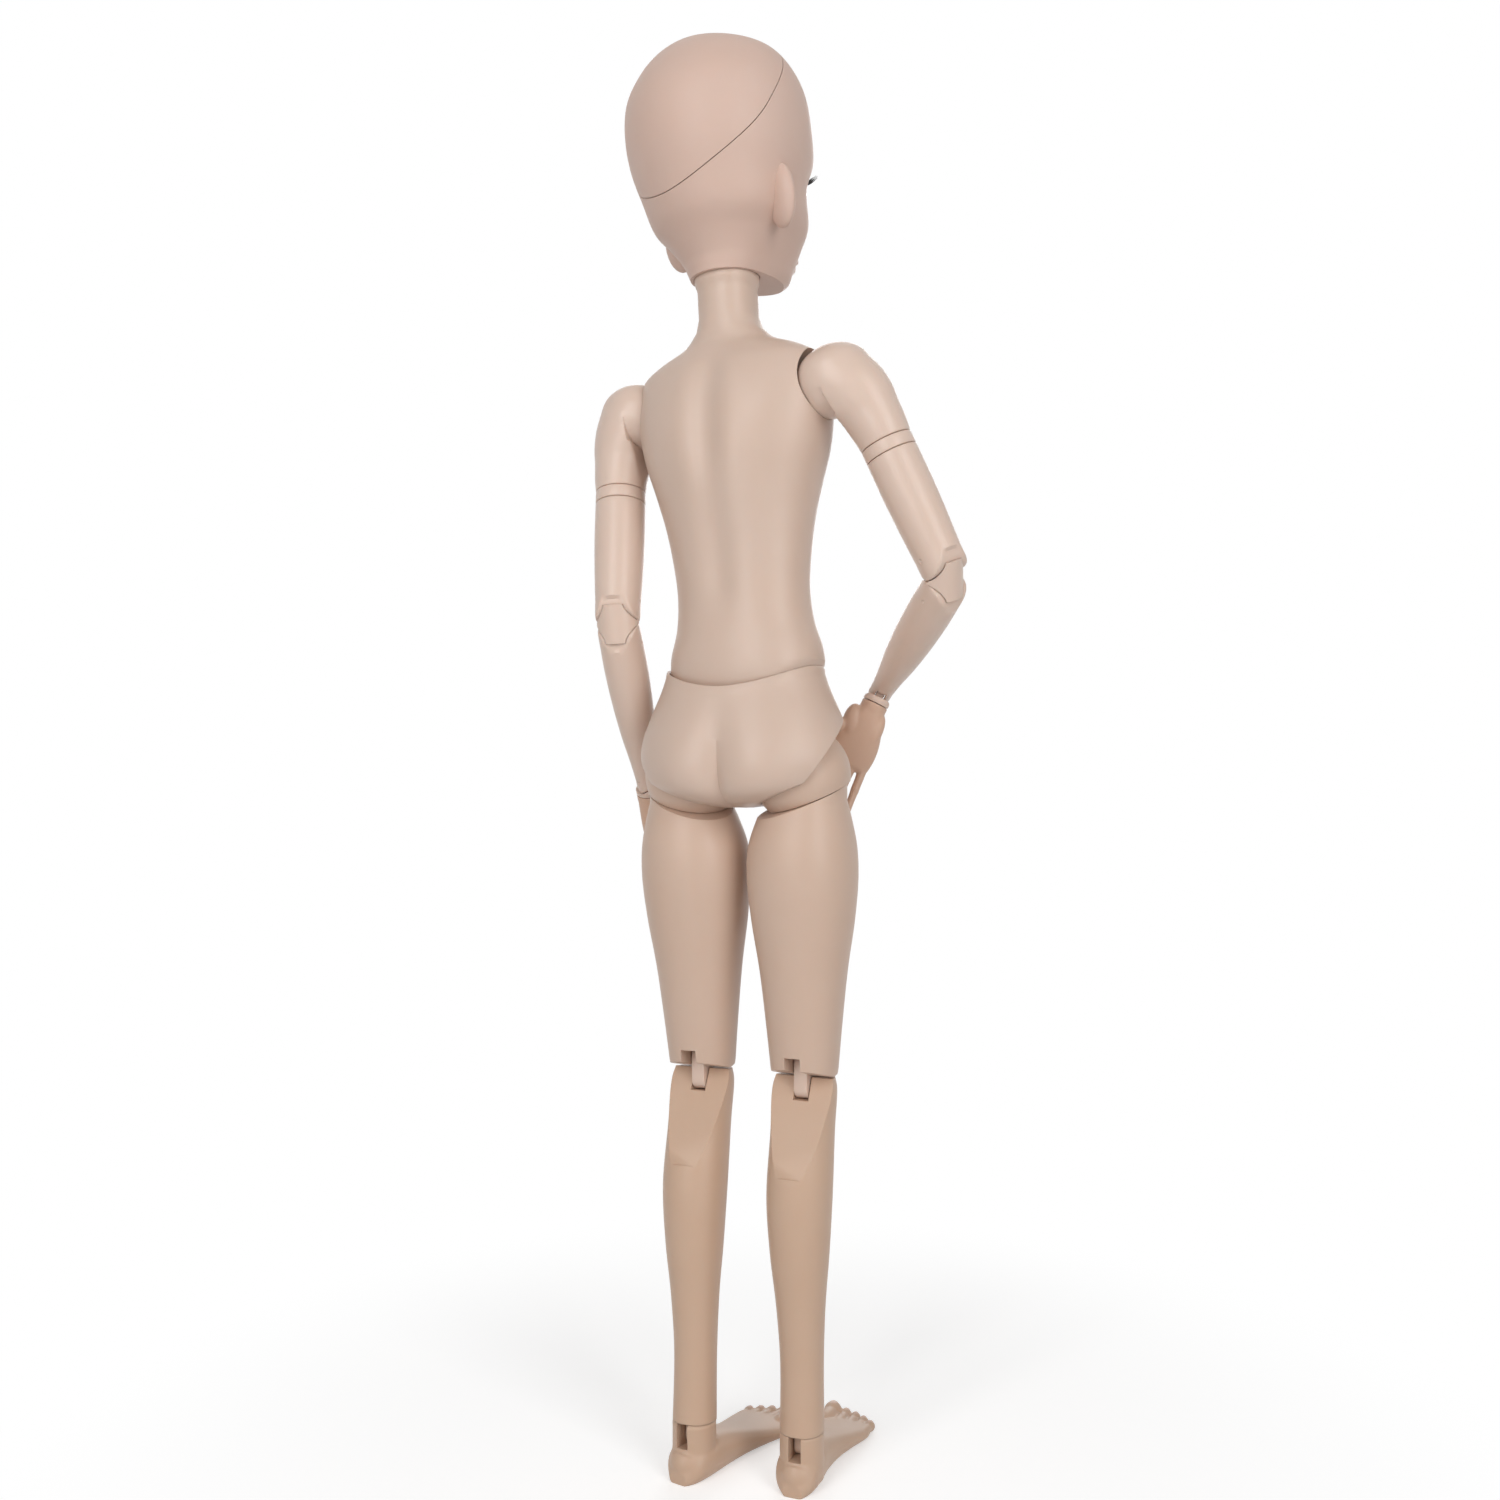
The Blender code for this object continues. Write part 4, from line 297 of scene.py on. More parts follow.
SHOULDER_SHARES = [
    (-0.86, 0.03, 0.03, 0.03, 0.10), (-0.82, 0.30, 0.30, 0.30, 0.10), (-0.62, 0.72, 0.72, 0.72, 0.10),
    (-0.35, 0.95, 0.93, 0.93, 0.12), (0.00, 1.08, 1.00, 1.00, 0.12), (0.40, 1.12, 0.97, 0.97, 0.22),
    (0.80, 1.02, 0.88, 0.88, 0.38), (1.01, 0.93, 0.83, 0.83, 0.47), (1.30, 0.80, 0.76, 0.76, 0.58),
    (1.75, 0.73, 0.72, 0.72, 0.64),
]
UPPER_ARM_SHARES = [
    (0.00, 1.00, 1.00, 1.00), (0.40, 1.00, 1.00, 1.00), (0.80, 0.945, 0.945, 0.945),
    (1.00, 0.90, 0.91, 0.91),
]
FOREARM_SHARES = [
    (0.00, 0.98, 0.98, 0.98), (0.15, 1.00, 1.00, 1.00), (0.40, 0.95, 0.95, 0.95),
    (0.65, 0.82, 0.82, 0.82), (0.86, 0.64, 0.64, 0.64), (1.00, 0.545, 0.545, 0.545),
]
# Along the foot from the heel: half width, height of its upper side, rise of its sole.
FOOT_SHARES = [
    (0.00, 0.30, 0.30, 0.0), (0.06, 0.60, 0.78, 0.0), (0.16, 0.69, 0.95, 0.0), (0.32, 0.66, 0.87, 0.01),
    (0.48, 0.73, 0.68, 0.04), (0.62, 0.88, 0.52, 0.05), (0.76, 1.00, 0.38, 0.03),
    (0.84, 0.93, 0.31, 0.04),
]
# Each toe: place across the foot from the big toe, where its tip lies along the foot, half width.
TOE_SHARES = [
    (-0.60, 1.000, 0.27), (-0.19, 0.995, 0.185), (0.15, 0.975, 0.175), (0.46, 0.945, 0.17),
    (0.74, 0.905, 0.17),
]
# Each finger from the little one: place across the palm, reach, thickness.
FINGER_SHARES = [
    (0.74, 0.80, 0.88), (0.26, 0.94, 0.98), (-0.25, 1.00, 1.00), (-0.74, 0.92, 0.97),
]
PALM_SHARES = [
    (-0.04, 0.30, 0.40), (0.00, 0.52, 0.66), (0.12, 0.62, 0.68), (0.34, 0.82, 0.66), (0.60, 0.98, 0.60),
    (0.84, 1.00, 0.50), (1.00, 0.93, 0.38), (1.06, 0.70, 0.22),
]

# Soft swellings and hollows, in millimetres: how far out, height, reach up and down, then place and reach to
# the side.
FACE_RELIEF = [
    (1.0, 49.0, 6.0, 13.0, 11.0),    # brow
    (-3.6, 38.0, 7.0, 14.5, 8.5),    # eye hollow
    (1.3, 24.0, 8.0, 17.0, 8.0),     # cheekbone
    (1.4, 12.0, 9.0, 17.0, 9.0),     # cheek
    (1.6, 21.5, 2.8, 0.0, 3.2),      # tip of the nose
    (2.2, 20.0, 2.2, 3.9, 1.9),      # wing of the nose
    (-1.3, 17.3, 1.3, 2.0, 1.2),     # nostril
    (-0.6, 15.2, 1.6, 0.0, 1.2),     # hollow above the lips
    (-0.9, 5.6, 1.6, 0.0, 6.0),      # hollow below the lips
    (1.2, 0.8, 3.0, 0.0, 7.0),       # chin
]
BLADE_RELIEF = [(0.9, 76.0, 16.0, 22.0, 10.0)]
CHEST_RELIEF = [(0.9, 70.0, 14.0, 17.0, 13.0)]
SEAT_RELIEF = [(2.2, 2.0, 17.0, 19.0, 13.0)]
BELLY_RELIEF = [(0.8, 18.0, 16.0, 0.0, 14.0)]

# Upright ridges and grooves, in millimetres: how far out, the four heights where one starts, is whole, starts
# to fade and ends, then its place and reach to the side.
NOSE_RIDGES = [(4.8, (17.5, 21.0, 24.0, 46.0), 0.0, 3.4)]
SPINE_RIDGES = [
    (-2.0, (36.0, 66.0, 92.0, 110.0), 0.0, 5.2), (-1.3, (-8.0, 14.0, 34.0, 56.0), 0.0, 6.5),
]
BACK_RIDGES = [
    (0.8, (36.0, 66.0, 92.0, 110.0), 11.5, 5.5), (0.6, (-8.0, 14.0, 30.0, 60.0), 12.0, 8.0),
]
CHEST_RIDGES = [(-0.8, (20.0, 50.0, 80.0, 96.0), 0.0, 4.5)]
SEAT_RIDGES = [
    (-2.6, (-90.0, -80.0, -8.0, 26.0), 0.0, 2.4), (-2.0, (-90.0, -80.0, 8.0, 40.0), 0.0, 7.0),
]

# Lips, in millimetres: how far out, height, reach up and down, where each starts to fade to the side and
# ends, and the share of the bow that it follows. The bow climbs beside the middle, then falls to the corners.
LIP_ROWS = [
    (1.4, 12.4, 1.6, 7.0, 9.5, 1.0), (1.6, 8.9, 1.9, 4.5, 8.0, 0.0), (-1.1, 10.7, 0.55, 7.0, 9.5, 0.0),
]
LIP_BOW = (0.5, 2.4, 1.8)
LIP_CORNER = (0.9, 3.0, 8.5)
FACE_EDGE = (6.0 * MM, 26.0 * MM)


# Places of the joints


def turn(axis, angle):
    return Matrix.Rotation(radians(angle), 4, Vector(axis) if not isinstance(axis, str) else axis)


def slide(x, y, z):
    return Matrix.Translation(Vector((x, y, z)))


def leg_frame(side, s):
    return turn((-1, 0, 0), LEG_SWING[side]) @ turn((0, -s, 0), LEG_SPREAD[side])


def ankle_drop(side, s, bend):
    """How far the ankle lies below the middle of the hips."""
    half = radians(bend / 2)
    back = KNEE_LINK_LENGTH * sin(half) + SHIN_LENGTH * sin(2 * half)
    down = THIGH_LENGTH + KNEE_LINK_LENGTH * cos(half) + SHIN_LENGTH * cos(2 * half)
    hip = Vector((s * HIP_SPAN / 2, 0.0, 0.0))
    return -(turn('Y', PELVIS_ROLL) @ (hip + leg_frame(side, s) @ Vector((0.0, back, -down)))).z


def left_knee_bend():
    """The knee bend that stands the left foot on the same floor as the right one."""
    drop = ankle_drop("right", -1, RIGHT_KNEE_BEND)
    low, high = 0.0, 90.0
    for _ in range(40):
        middle = (low + high) / 2
        if ankle_drop("left", 1, middle) > drop:
            low = middle
        else:
            high = middle
    return low


def joint_places():
    """Each joint's place in the doll, as a matrix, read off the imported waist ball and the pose."""
    low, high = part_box("waist_ball")
    rolled = turn('Y', PELVIS_ROLL)
    places = {"pelvis": Matrix.Translation((low + high) / 2) @ rolled @ slide(0.0, 0.0, -WAIST_HEIGHT)}
    places["waist"] = places["pelvis"] @ slide(0.0, 0.0, WAIST_HEIGHT) @ turn('Z', TORSO_TURN)
    places["torso"] = places["waist"] @ turn('Y', TORSO_TILT)
    places["neck"] = places["torso"] @ slide(0.0, 0.0, NECK_HEIGHT)
    places["head"] = places["neck"] @ turn('Z', HEAD_TURN)
    knee_bend = {"left": left_knee_bend(), "right": RIGHT_KNEE_BEND}
    for side, s in SIDES:
        shoulder = places["torso"] @ slide(s * SHOULDER_SPAN / 2, 0.0, SHOULDER_HEIGHT)
        raised = shoulder @ turn((-1, 0, 0), ARM_SWING[side]) @ turn((0, -s, 0), ARM_RAISE[side])
        places[side + "_shoulder_cap"] = raised
        arm = raised @ slide(s * ARM_OFFSET, 0.0, 0.0) @ turn('Z', ARM_TURN[side])
        places[side + "_upper_arm"] = arm
        half = turn((-1, 0, 0), ELBOW_BEND[side] / 2)
        link = arm @ slide(0.0, 0.0, -UPPER_ARM_LENGTH) @ half
        places[side + "_elbow_link"] = link
        lower = link @ slide(0.0, 0.0, -ELBOW_LINK_LENGTH) @ half
        places[side + "_forearm"] = lower
        across_wrist = turn('Z', -s * WRIST_PIN_HEADING + 90.0)
        wrist = lower @ slide(0.0, 0.0, -FOREARM_LENGTH) @ across_wrist @ turn('X', s * WRIST_BEND[side])
        places[side + "_wrist_link"] = wrist
        straight = wrist @ slide(0.0, 0.0, -WRIST_LINK_DROP) @ across_wrist.inverted()
        places[side + "_hand"] = straight @ turn('Z', HAND_TURN[side])
        hip = places["pelvis"] @ slide(s * HIP_SPAN / 2, 0.0, 0.0) @ leg_frame(side, s)
        places[side + "_hip_ball"] = hip
        half = turn('X', knee_bend[side] / 2)
        knee = hip @ slide(0.0, 0.0, -THIGH_LENGTH) @ half
        places[side + "_knee_link"] = knee
        calf = knee @ slide(0.0, 0.0, -KNEE_LINK_LENGTH) @ half
        places[side + "_calf"] = calf
        ankle = calf @ slide(0.0, 0.0, -SHIN_LENGTH)
        flat = turn('Z', FOOT_HEADING[side])
        leaning = calf.to_3x3().inverted() @ flat.to_3x3()
        places[side + "_ankle_peg"] = ankle @ turn('Z', degrees(atan2(leaning[1][0], leaning[0][0])))
        places[side + "_foot"] = Matrix.Translation(ankle.to_translation()) @ flat
    return places


PLACES = joint_places()


# Mesh tools


def in_between(before, start, end, after, share):
    """A row between two others on a smooth curve through all four."""
    def knot(a, b):
        return max(sum((p - q) ** 2 for p, q in zip(a, b)), MM ** 2 * MM) ** 0.25

    def mix(a, b, low, high, at):
        return [(p * (high - at) + q * (at - low)) / (high - low) for p, q in zip(a, b)]
    t1 = knot(before, start)
    t2 = t1 + knot(start, end)
    t3 = t2 + knot(end, after)
    at = t1 + (t2 - t1) * share
    a1 = mix(before, start, 0.0, t1, at)
    a2 = mix(start, end, t1, t2, at)
    a3 = mix(end, after, t2, t3, at)
    return mix(mix(a1, a2, 0.0, t2, at), mix(a2, a3, t1, t3, at), t1, t2, at)


def smooth_rows(rows, steps):
    """The rows with others between them, so that the loft has no corners."""
    full = [tuple(row) + (0.0,) * (6 - len(row)) for row in rows]
    before = tuple(2 * a - b for a, b in zip(full[0], full[1]))
    after = tuple(2 * a - b for a, b in zip(full[-1], full[-2]))
    points = [before] + full + [after]
    smooth = []
    for index in range(1, len(points) - 2):
        smooth += [in_between(*points[index - 1:index + 3], step / steps) for step in range(steps)]
    return smooth + [full[-1]]


def loft(rows, segments=64, power=2.0, clip=None, crowd=0.0):
    """Rings (z, half width, front, back, shift x, shift y) grown one from the other.

    clip(x, y, z) moves a point. crowd draws the points of each ring towards its front.
    """
    bm = bmesh.new()
    bmesh.ops.create_circle(bm, cap_ends=True, segments=segments, radius=1.0)
    edges = list(bm.edges)
    for level in range(1, len(rows)):
        grown = bmesh.ops.extrude_edge_only(bm, edges=edges)["geom"]
        verts = [item for item in grown if isinstance(item, bmesh.types.BMVert)]
        bmesh.ops.translate(bm, verts=verts, vec=(0.0, 0.0, 1.0))
        edges = [item for item in grown if isinstance(item, bmesh.types.BMEdge)]
    bmesh.ops.contextual_create(bm, geom=edges)
    for vert in bm.verts:
        row = tuple(rows[int(round(vert.co.z))]) + (0.0, 0.0)
        z, half_width, front, back, shift_x, shift_y = row[:6]
        angle = atan2(vert.co.y, vert.co.x)
        angle -= crowd * cos(angle)
        along_x = copysign(abs(cos(angle)) ** (2.0 / power), cos(angle))
        along_y = copysign(abs(sin(angle)) ** (2.0 / power), sin(angle))
        x = shift_x + half_width * along_x
        y = shift_y + (back if along_y > 0 else front) * along_y
        vert.co = Vector(clip(x, y, z)) if clip else Vector((x, y, z))
    return bm


def scaled_rows(shares, height, half_width, front, back, inset=0.0, low=None, high=None):
    rows = []
    for share in shares:
        z = height * share[0]
        if low is not None and z < low or high is not None and z > high:
            continue
        rows.append((z, half_width * share[1] - inset, front * share[2] - inset, back * share[3] - inset, 0.0,
                     0.0))
    return rows


def limb_rows(shares, top, length, radius):
    """Rows of a limb that hangs down from its top."""
    return [(top - length * row[0],) + tuple(radius * share for share in row[1:4]) + (0.0, 0.0) for row in shares]


def ring(z, radius, shift=0.0):
    return z, radius, radius, radius, shift, 0.0


def ball(radius, centre=(0.0, 0.0, 0.0), segments=64):
    bm = bmesh.new()
    bmesh.ops.create_uvsphere(bm, u_segments=segments, v_segments=segments // 2, radius=radius)
    bmesh.ops.translate(bm, verts=bm.verts, vec=centre)
    return bm


def egg(size, centre, turned=None, segments=32):
    """A ball stretched to three half sizes, turned about its middle."""
    bm = ball(1.0, segments=segments)
    matrix = slide(*centre) @ (turned or Matrix.Identity(4)) @ Matrix.Diagonal((*size, 1.0))
    bmesh.ops.transform(bm, matrix=matrix, verts=bm.verts)
    return bm


def rod(radius, length, axis='Z', centre=(0.0, 0.0, 0.0), segments=48, end_radius=None):
    bm = bmesh.new()
    bmesh.ops.create_cone(bm, cap_ends=True, segments=segments, radius1=radius,
                          radius2=radius if end_radius is None else end_radius, depth=length)
    if axis == 'X':
        bmesh.ops.rotate(bm, verts=bm.verts, matrix=Matrix.Rotation(pi / 2, 3, 'Y'))
    if axis == 'Y':
        bmesh.ops.rotate(bm, verts=bm.verts, matrix=Matrix.Rotation(pi / 2, 3, 'X'))
    bmesh.ops.translate(bm, verts=bm.verts, vec=centre)
    return bm


def pin_hole(length, axis='X', centre=(0.0, 0.0, 0.0)):
    return rod(PIN_RADIUS + SEAM, length, axis, centre, 20)


def box(low, high, matrix=None):
    bm = bmesh.new()
    bmesh.ops.create_cube(bm, size=1.0)
    bmesh.ops.scale(bm, verts=bm.verts, vec=[h - l for l, h in zip(low, high)])
    bmesh.ops.translate(bm, verts=bm.verts, vec=[(h + l) / 2 for l, h in zip(low, high)])
    if matrix is not None:
        bmesh.ops.transform(bm, matrix=matrix, verts=bm.verts)
    return bm


def sector(radius, half_thickness, start, end, s):
    """A flat wedge about the Y axis, from one angle to another, measured from the body side upwards."""
    bm = bmesh.new()
    middle = bm.verts.new((0.0, -half_thickness, 0.0))
    rim = bm.verts.new((-s * radius * cos(radians(start)), -half_thickness, radius * sin(radians(start))))
    edge = bm.edges.new((middle, rim))
    bmesh.ops.spin(bm, geom=[middle, rim, edge], cent=(0.0, 0.0, 0.0), axis=(0.0, s, 0.0),
                   angle=radians(end - start), steps=12)
    bmesh.ops.remove_doubles(bm, verts=bm.verts, dist=GAP / 10)
    grown = bmesh.ops.extrude_face_region(bm, geom=list(bm.faces))["geom"]
    verts = [item for item in grown if isinstance(item, bmesh.types.BMVert)]
    bmesh.ops.translate(bm, verts=verts, vec=(0.0, 2 * half_thickness, 0.0))
    return bm


def stadium(radius, span, width, soft=0.0):
    """A plate about X with round ends: one about the origin and one a span below it."""
    bm = rod(radius, width, 'X', segments=48)
    low = [vert for vert in bm.verts if vert.co.z < -radius / 100]
    level = [vert for vert in bm.verts if abs(vert.co.z) <= radius / 100]
    bmesh.ops.translate(bm, verts=low, vec=(0.0, 0.0, -span))
    if level and soft:
        rims = [edge for edge in bm.edges if abs(edge.verts[0].co.x - edge.verts[1].co.x) < GAP / 10]
        bmesh.ops.bevel(bm, geom=rims, offset=soft, segments=3, profile=0.5, affect='EDGES', material=-1,
                        clamp_overlap=True)
    return bm


def moved(bm, matrix):
    bmesh.ops.transform(bm, matrix=matrix, verts=bm.verts)
    return bm


def mesh_from(bm, name="work"):
    bm.normal_update()
    bmesh.ops.recalc_face_normals(bm, faces=bm.faces)
    mesh = bpy.data.meshes.new(name)
    bm.to_mesh(mesh)
    bm.free()
    return mesh


def shaped(base, modifiers, tools=()):
    """The shape that comes out of a bmesh after modifiers; tools are their cutters."""
    work = bpy.data.objects.new("work", mesh_from(base))
    bpy.context.scene.collection.objects.link(work)
    modifiers(work)
    evaluated = work.evaluated_get(bpy.context.evaluated_depsgraph_get())
    result = bmesh.new()
    result.from_mesh(evaluated.to_mesh())
    evaluated.to_mesh_clear()
    for thing in (work, *tools):
        mesh = thing.data
        bpy.data.objects.remove(thing)
        bpy.data.meshes.remove(mesh)
    return result


def worked(base, *steps):
    """A shape joined to and cut by others in turn, each step a word and a shape."""
    tools = []
    for word, tool in steps:
        cutter = bpy.data.objects.new("cutter", mesh_from(tool))
        bpy.context.scene.collection.objects.link(cutter)
        tools.append(cutter)

    def booleans(work):
        for (word, tool), cutter in zip(steps, tools):
            boolean = work.modifiers.new(word, 'BOOLEAN')
            boolean.operation = {"join": 'UNION', "cut": 'DIFFERENCE', "keep": 'INTERSECT'}[word]
            boolean.solver = 'EXACT'
            boolean.object = cutter
    return shaped(base, booleans, tools)


def blended(base, grain, rounds):
    """Overlapping shapes made one skin and smoothed where they meet."""
    def remesh(work):
        skin = work.modifiers.new("Skin", 'REMESH')
        skin.mode = 'VOXEL'
        skin.voxel_size = grain
    bm = shaped(base, remesh)
    for _ in range(rounds):
        bmesh.ops.smooth_vert(bm, verts=bm.verts, factor=0.5, use_axis_x=True, use_axis_y=True,
                              use_axis_z=True)
    return bm


def together(*shapes):
    """One bmesh that holds several closed shapes."""
    whole = bmesh.new()
    for shape in shapes:
        mesh = mesh_from(shape)
        whole.from_mesh(mesh)
        bpy.data.meshes.remove(mesh)
    return whole


def hump(distance, reach):
    """1 in the middle, falling smoothly to 0 past the reach."""
    return exp(-(distance / reach) ** 2)


def rise(value, start, end):
    """0 before the start and 1 after the end, with a smooth step between."""
    share = min(1.0, max(0.0, (value - start) / (end - start)))
    return share * share * (3 - 2 * share)


def window(value, marks):
    """0 outside four marks and 1 between the middle two, with smooth steps."""
    start, whole, fade, end = marks
    return rise(value, start, whole) * (1 - rise(value, fade, end))


def relief(rows, side, z):
    """How far the soft swellings of a table stand out at a place."""
    return MM * sum(out * hump(z / MM - height, tall) * hump(side / MM - across, wide)
                    for out, height, tall, across, wide in rows)


def ridges(rows, side, z):
    """How far the upright ridges of a table stand out at a place."""
    return MM * sum(out * window(z / MM, marks) * hump(side / MM - across, wide)
                    for out, marks, across, wide in rows)


def finish_piece(name, bm, place, body, nodes, material, edge=32.0):
    """A finished piece: in place, shaded smooth, on its body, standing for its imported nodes."""
    bmesh.ops.transform(bm, matrix=PLACES[place], verts=bm.verts)
    bmesh.ops.remove_doubles(bm, verts=bm.verts, dist=GAP / 40)
    bm.normal_update()
    mesh = bpy.data.meshes.new(name)
    bm.to_mesh(mesh)
    bm.free()
    mesh.shade_smooth()
    mesh.set_sharp_from_angle(angle=radians(edge))
    mesh.materials.append(material)
    piece = bpy.data.objects.new(name, mesh)
    bpy.context.scene.collection.objects.link(piece)
    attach(piece, body)
    if nodes:
        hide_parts(*nodes)


def finish_skin(place, bm, material):
    """The skin of a piece whose place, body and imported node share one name."""
    finish_piece(place + "_skin", bm, place, place, [place], material)


# Materials


class Wire:
    """A shader socket that takes part in sums."""

    def __init__(self, tree, socket):
        self.tree = tree
        self.socket = socket

    def sum_with(self, operation, first, second):
        return node(self.tree, 'ShaderNodeMath', {"operation": operation}, {0: first, 1: second})

    def __add__(self, other):
        return self.sum_with('ADD', self, other)

    def __radd__(self, other):
        return self.sum_with('ADD', other, self)

    def __sub__(self, other):
        return self.sum_with('SUBTRACT', self, other)

    def __rsub__(self, other):
        return self.sum_with('SUBTRACT', other, self)

    def __mul__(self, other):
        return self.sum_with('MULTIPLY', self, other)

    def __rmul__(self, other):
        return self.sum_with('MULTIPLY', other, self)

    def __truediv__(self, other):
        return self.sum_with('DIVIDE', self, other)

    def __pow__(self, other):
        return self.sum_with('POWER', self, other)


def node(tree, kind, settings, inputs, output=0):
    """Add a node: its settings first, then the values or wires of its sockets."""
    made = tree.nodes.new(kind)
    for key, value in settings.items():
        if key == "stops":
            ramp = made.color_ramp
            while len(ramp.elements) < len(value):
                ramp.elements.new(0.5)
            for element, (position, colour) in zip(ramp.elements, value):
                element.position = position
                element.color = (*colour, 1.0)
        else:
            setattr(made, key, value)
    for key, value in inputs.items():
        if isinstance(value, Wire):
            tree.links.new(value.socket, made.inputs[key])
        else:
            made.inputs[key].default_value = value
    return Wire(tree, made.outputs[output])


def new_material(name, constants):
    """A material with its shader's constants set, its node tree and the wire of Object coordinates."""
    material = bpy.data.materials.new(name)
    material.use_nodes = True
    tree = material.node_tree
    shader = tree.nodes["Principled BSDF"]
    for key, value in constants.items():
        shader.inputs[key].default_value = value
    where = node(tree, 'ShaderNodeTexCoord', {}, {}, "Object")
    return material, tree, shader, where


def feed(tree, shader, **wires):
    for key, wire in wires.items():
        tree.links.new(wire.socket, shader.inputs[key.replace("_", " ")])


def noise(tree, where, scale, detail=2.0, roughness=0.5):
    return node(tree, 'ShaderNodeTexNoise', {}, {"Vector": where, "Scale": scale, "Detail": detail,
                                                 "Roughness": roughness}, "Fac")


def mixed(tree, share, first, second):
    return node(tree, 'ShaderNodeMix', {"data_type": 'RGBA'}, {"Factor": share, 6: first, 7: second}, 2)


def shade(colour, share):
    return tuple(channel * share for channel in colour) + (1.0,)


WARMTH_SHARES = (0.93, 0.84, 0.76)


def skin_plastic(name, colour, gloss, grain=0.010 * MM):
    """Moulded skin-toned plastic: slow tint changes, fine speckle, handling marks and a soft orange-peel skin."""
    material, tree, shader, where = new_material(name, {
        "Specular IOR Level": 0.42, "Subsurface Weight": 0.10, "Subsurface Radius": (1.0, 0.42, 0.24),
        "Subsurface Scale": 2.2 * MM, "Coat Roughness": 0.22})
    slow = noise(tree, where, 22.0, 3.0)
    cloudy = noise(tree, where, 85.0, 3.0, 0.6)
    fine = noise(tree, where, 900.0, 2.0)
    marks = node(tree, 'ShaderNodeTexNoise', {"noise_type": 'RIDGED_MULTIFRACTAL'},
                 {"Vector": where, "Scale": 130.0, "Detail": 4.0}, "Fac")
    scuffs = node(tree, 'ShaderNodeMapRange', {"interpolation_type": 'SMOOTHSTEP'},
                  {"Value": marks * cloudy, "From Min": 0.62, "From Max": 0.95, "To Min": 0.0, "To Max": 1.0})
    warm = tuple(channel * share for channel, share in zip(colour, WARMTH_SHARES)) + (1.0,)
    base = mixed(tree, (slow - 0.35) * 0.55 + (cloudy - 0.5) * 0.22, shade(colour, 1.0), warm)
    base = mixed(tree, (fine - 0.45) * 0.10, base, shade(colour, 0.86))
    base = mixed(tree, scuffs * 0.06, base, shade(colour, 1.16))
    rough = gloss + (cloudy - 0.5) * 0.10 + (fine - 0.5) * 0.05 + scuffs * 0.10
    peel = noise(tree, where, 420.0, 2.0)
    rounded = node(tree, 'ShaderNodeBevel', {"samples": 4}, {"Radius": 0.45 * MM})
    height = peel * 0.7 + fine * 0.3
    normal = node(tree, 'ShaderNodeBump', {}, {"Strength": 0.35, "Distance": grain, "Height": height,
                                               "Normal": rounded})
    feed(tree, shader, Base_Color=base, Roughness=rough, Normal=normal)
    return material


def inner_plastic(name, colour, gloss):
    """Plain nylon of the hidden joint parts, a little uneven, with fine turning marks."""
    material, tree, shader, where = new_material(name, {"Specular IOR Level": 0.45})
    cloudy = noise(tree, where, 160.0, 3.0)
    fine = noise(tree, where, 1500.0, 2.0)
    base = mixed(tree, cloudy * 0.5, shade(colour, 1.0), shade(colour, 0.86))
    normal = node(tree, 'ShaderNodeBump', {}, {"Strength": 0.3, "Distance": 0.02 * MM, "Height": fine})
    feed(tree, shader, Base_Color=base, Roughness=gloss + (cloudy - 0.5) * 0.15, Normal=normal)
    return material


def steel(name):
    """Ground steel of pins and magnets, with fine lines and a few dull patches."""
    material, tree, shader, where = new_material(name, {"Metallic": 1.0})
    stretched = node(tree, 'ShaderNodeMapping', {}, {"Vector": where, "Scale": (1.0, 1.0, 9.0)})
    lines = noise(tree, stretched, 1800.0, 3.0)
    patches = noise(tree, where, 300.0, 2.0)
    base = mixed(tree, patches, (0.60, 0.60, 0.61, 1.0), (0.50, 0.50, 0.52, 1.0))
    normal = node(tree, 'ShaderNodeBump', {}, {"Strength": 0.25, "Distance": 0.01 * MM, "Height": lines})
    feed(tree, shader, Base_Color=base, Roughness=0.22 + lines * 0.14 + patches * 0.10, Normal=normal)
    return material


IRIS_STOPS = [
    (0.0, (0.05, 0.09, 0.13)), (0.42, (0.13, 0.22, 0.30)), (0.58, (0.25, 0.37, 0.45)), (1.0, (0.50, 0.60, 0.64)),
]


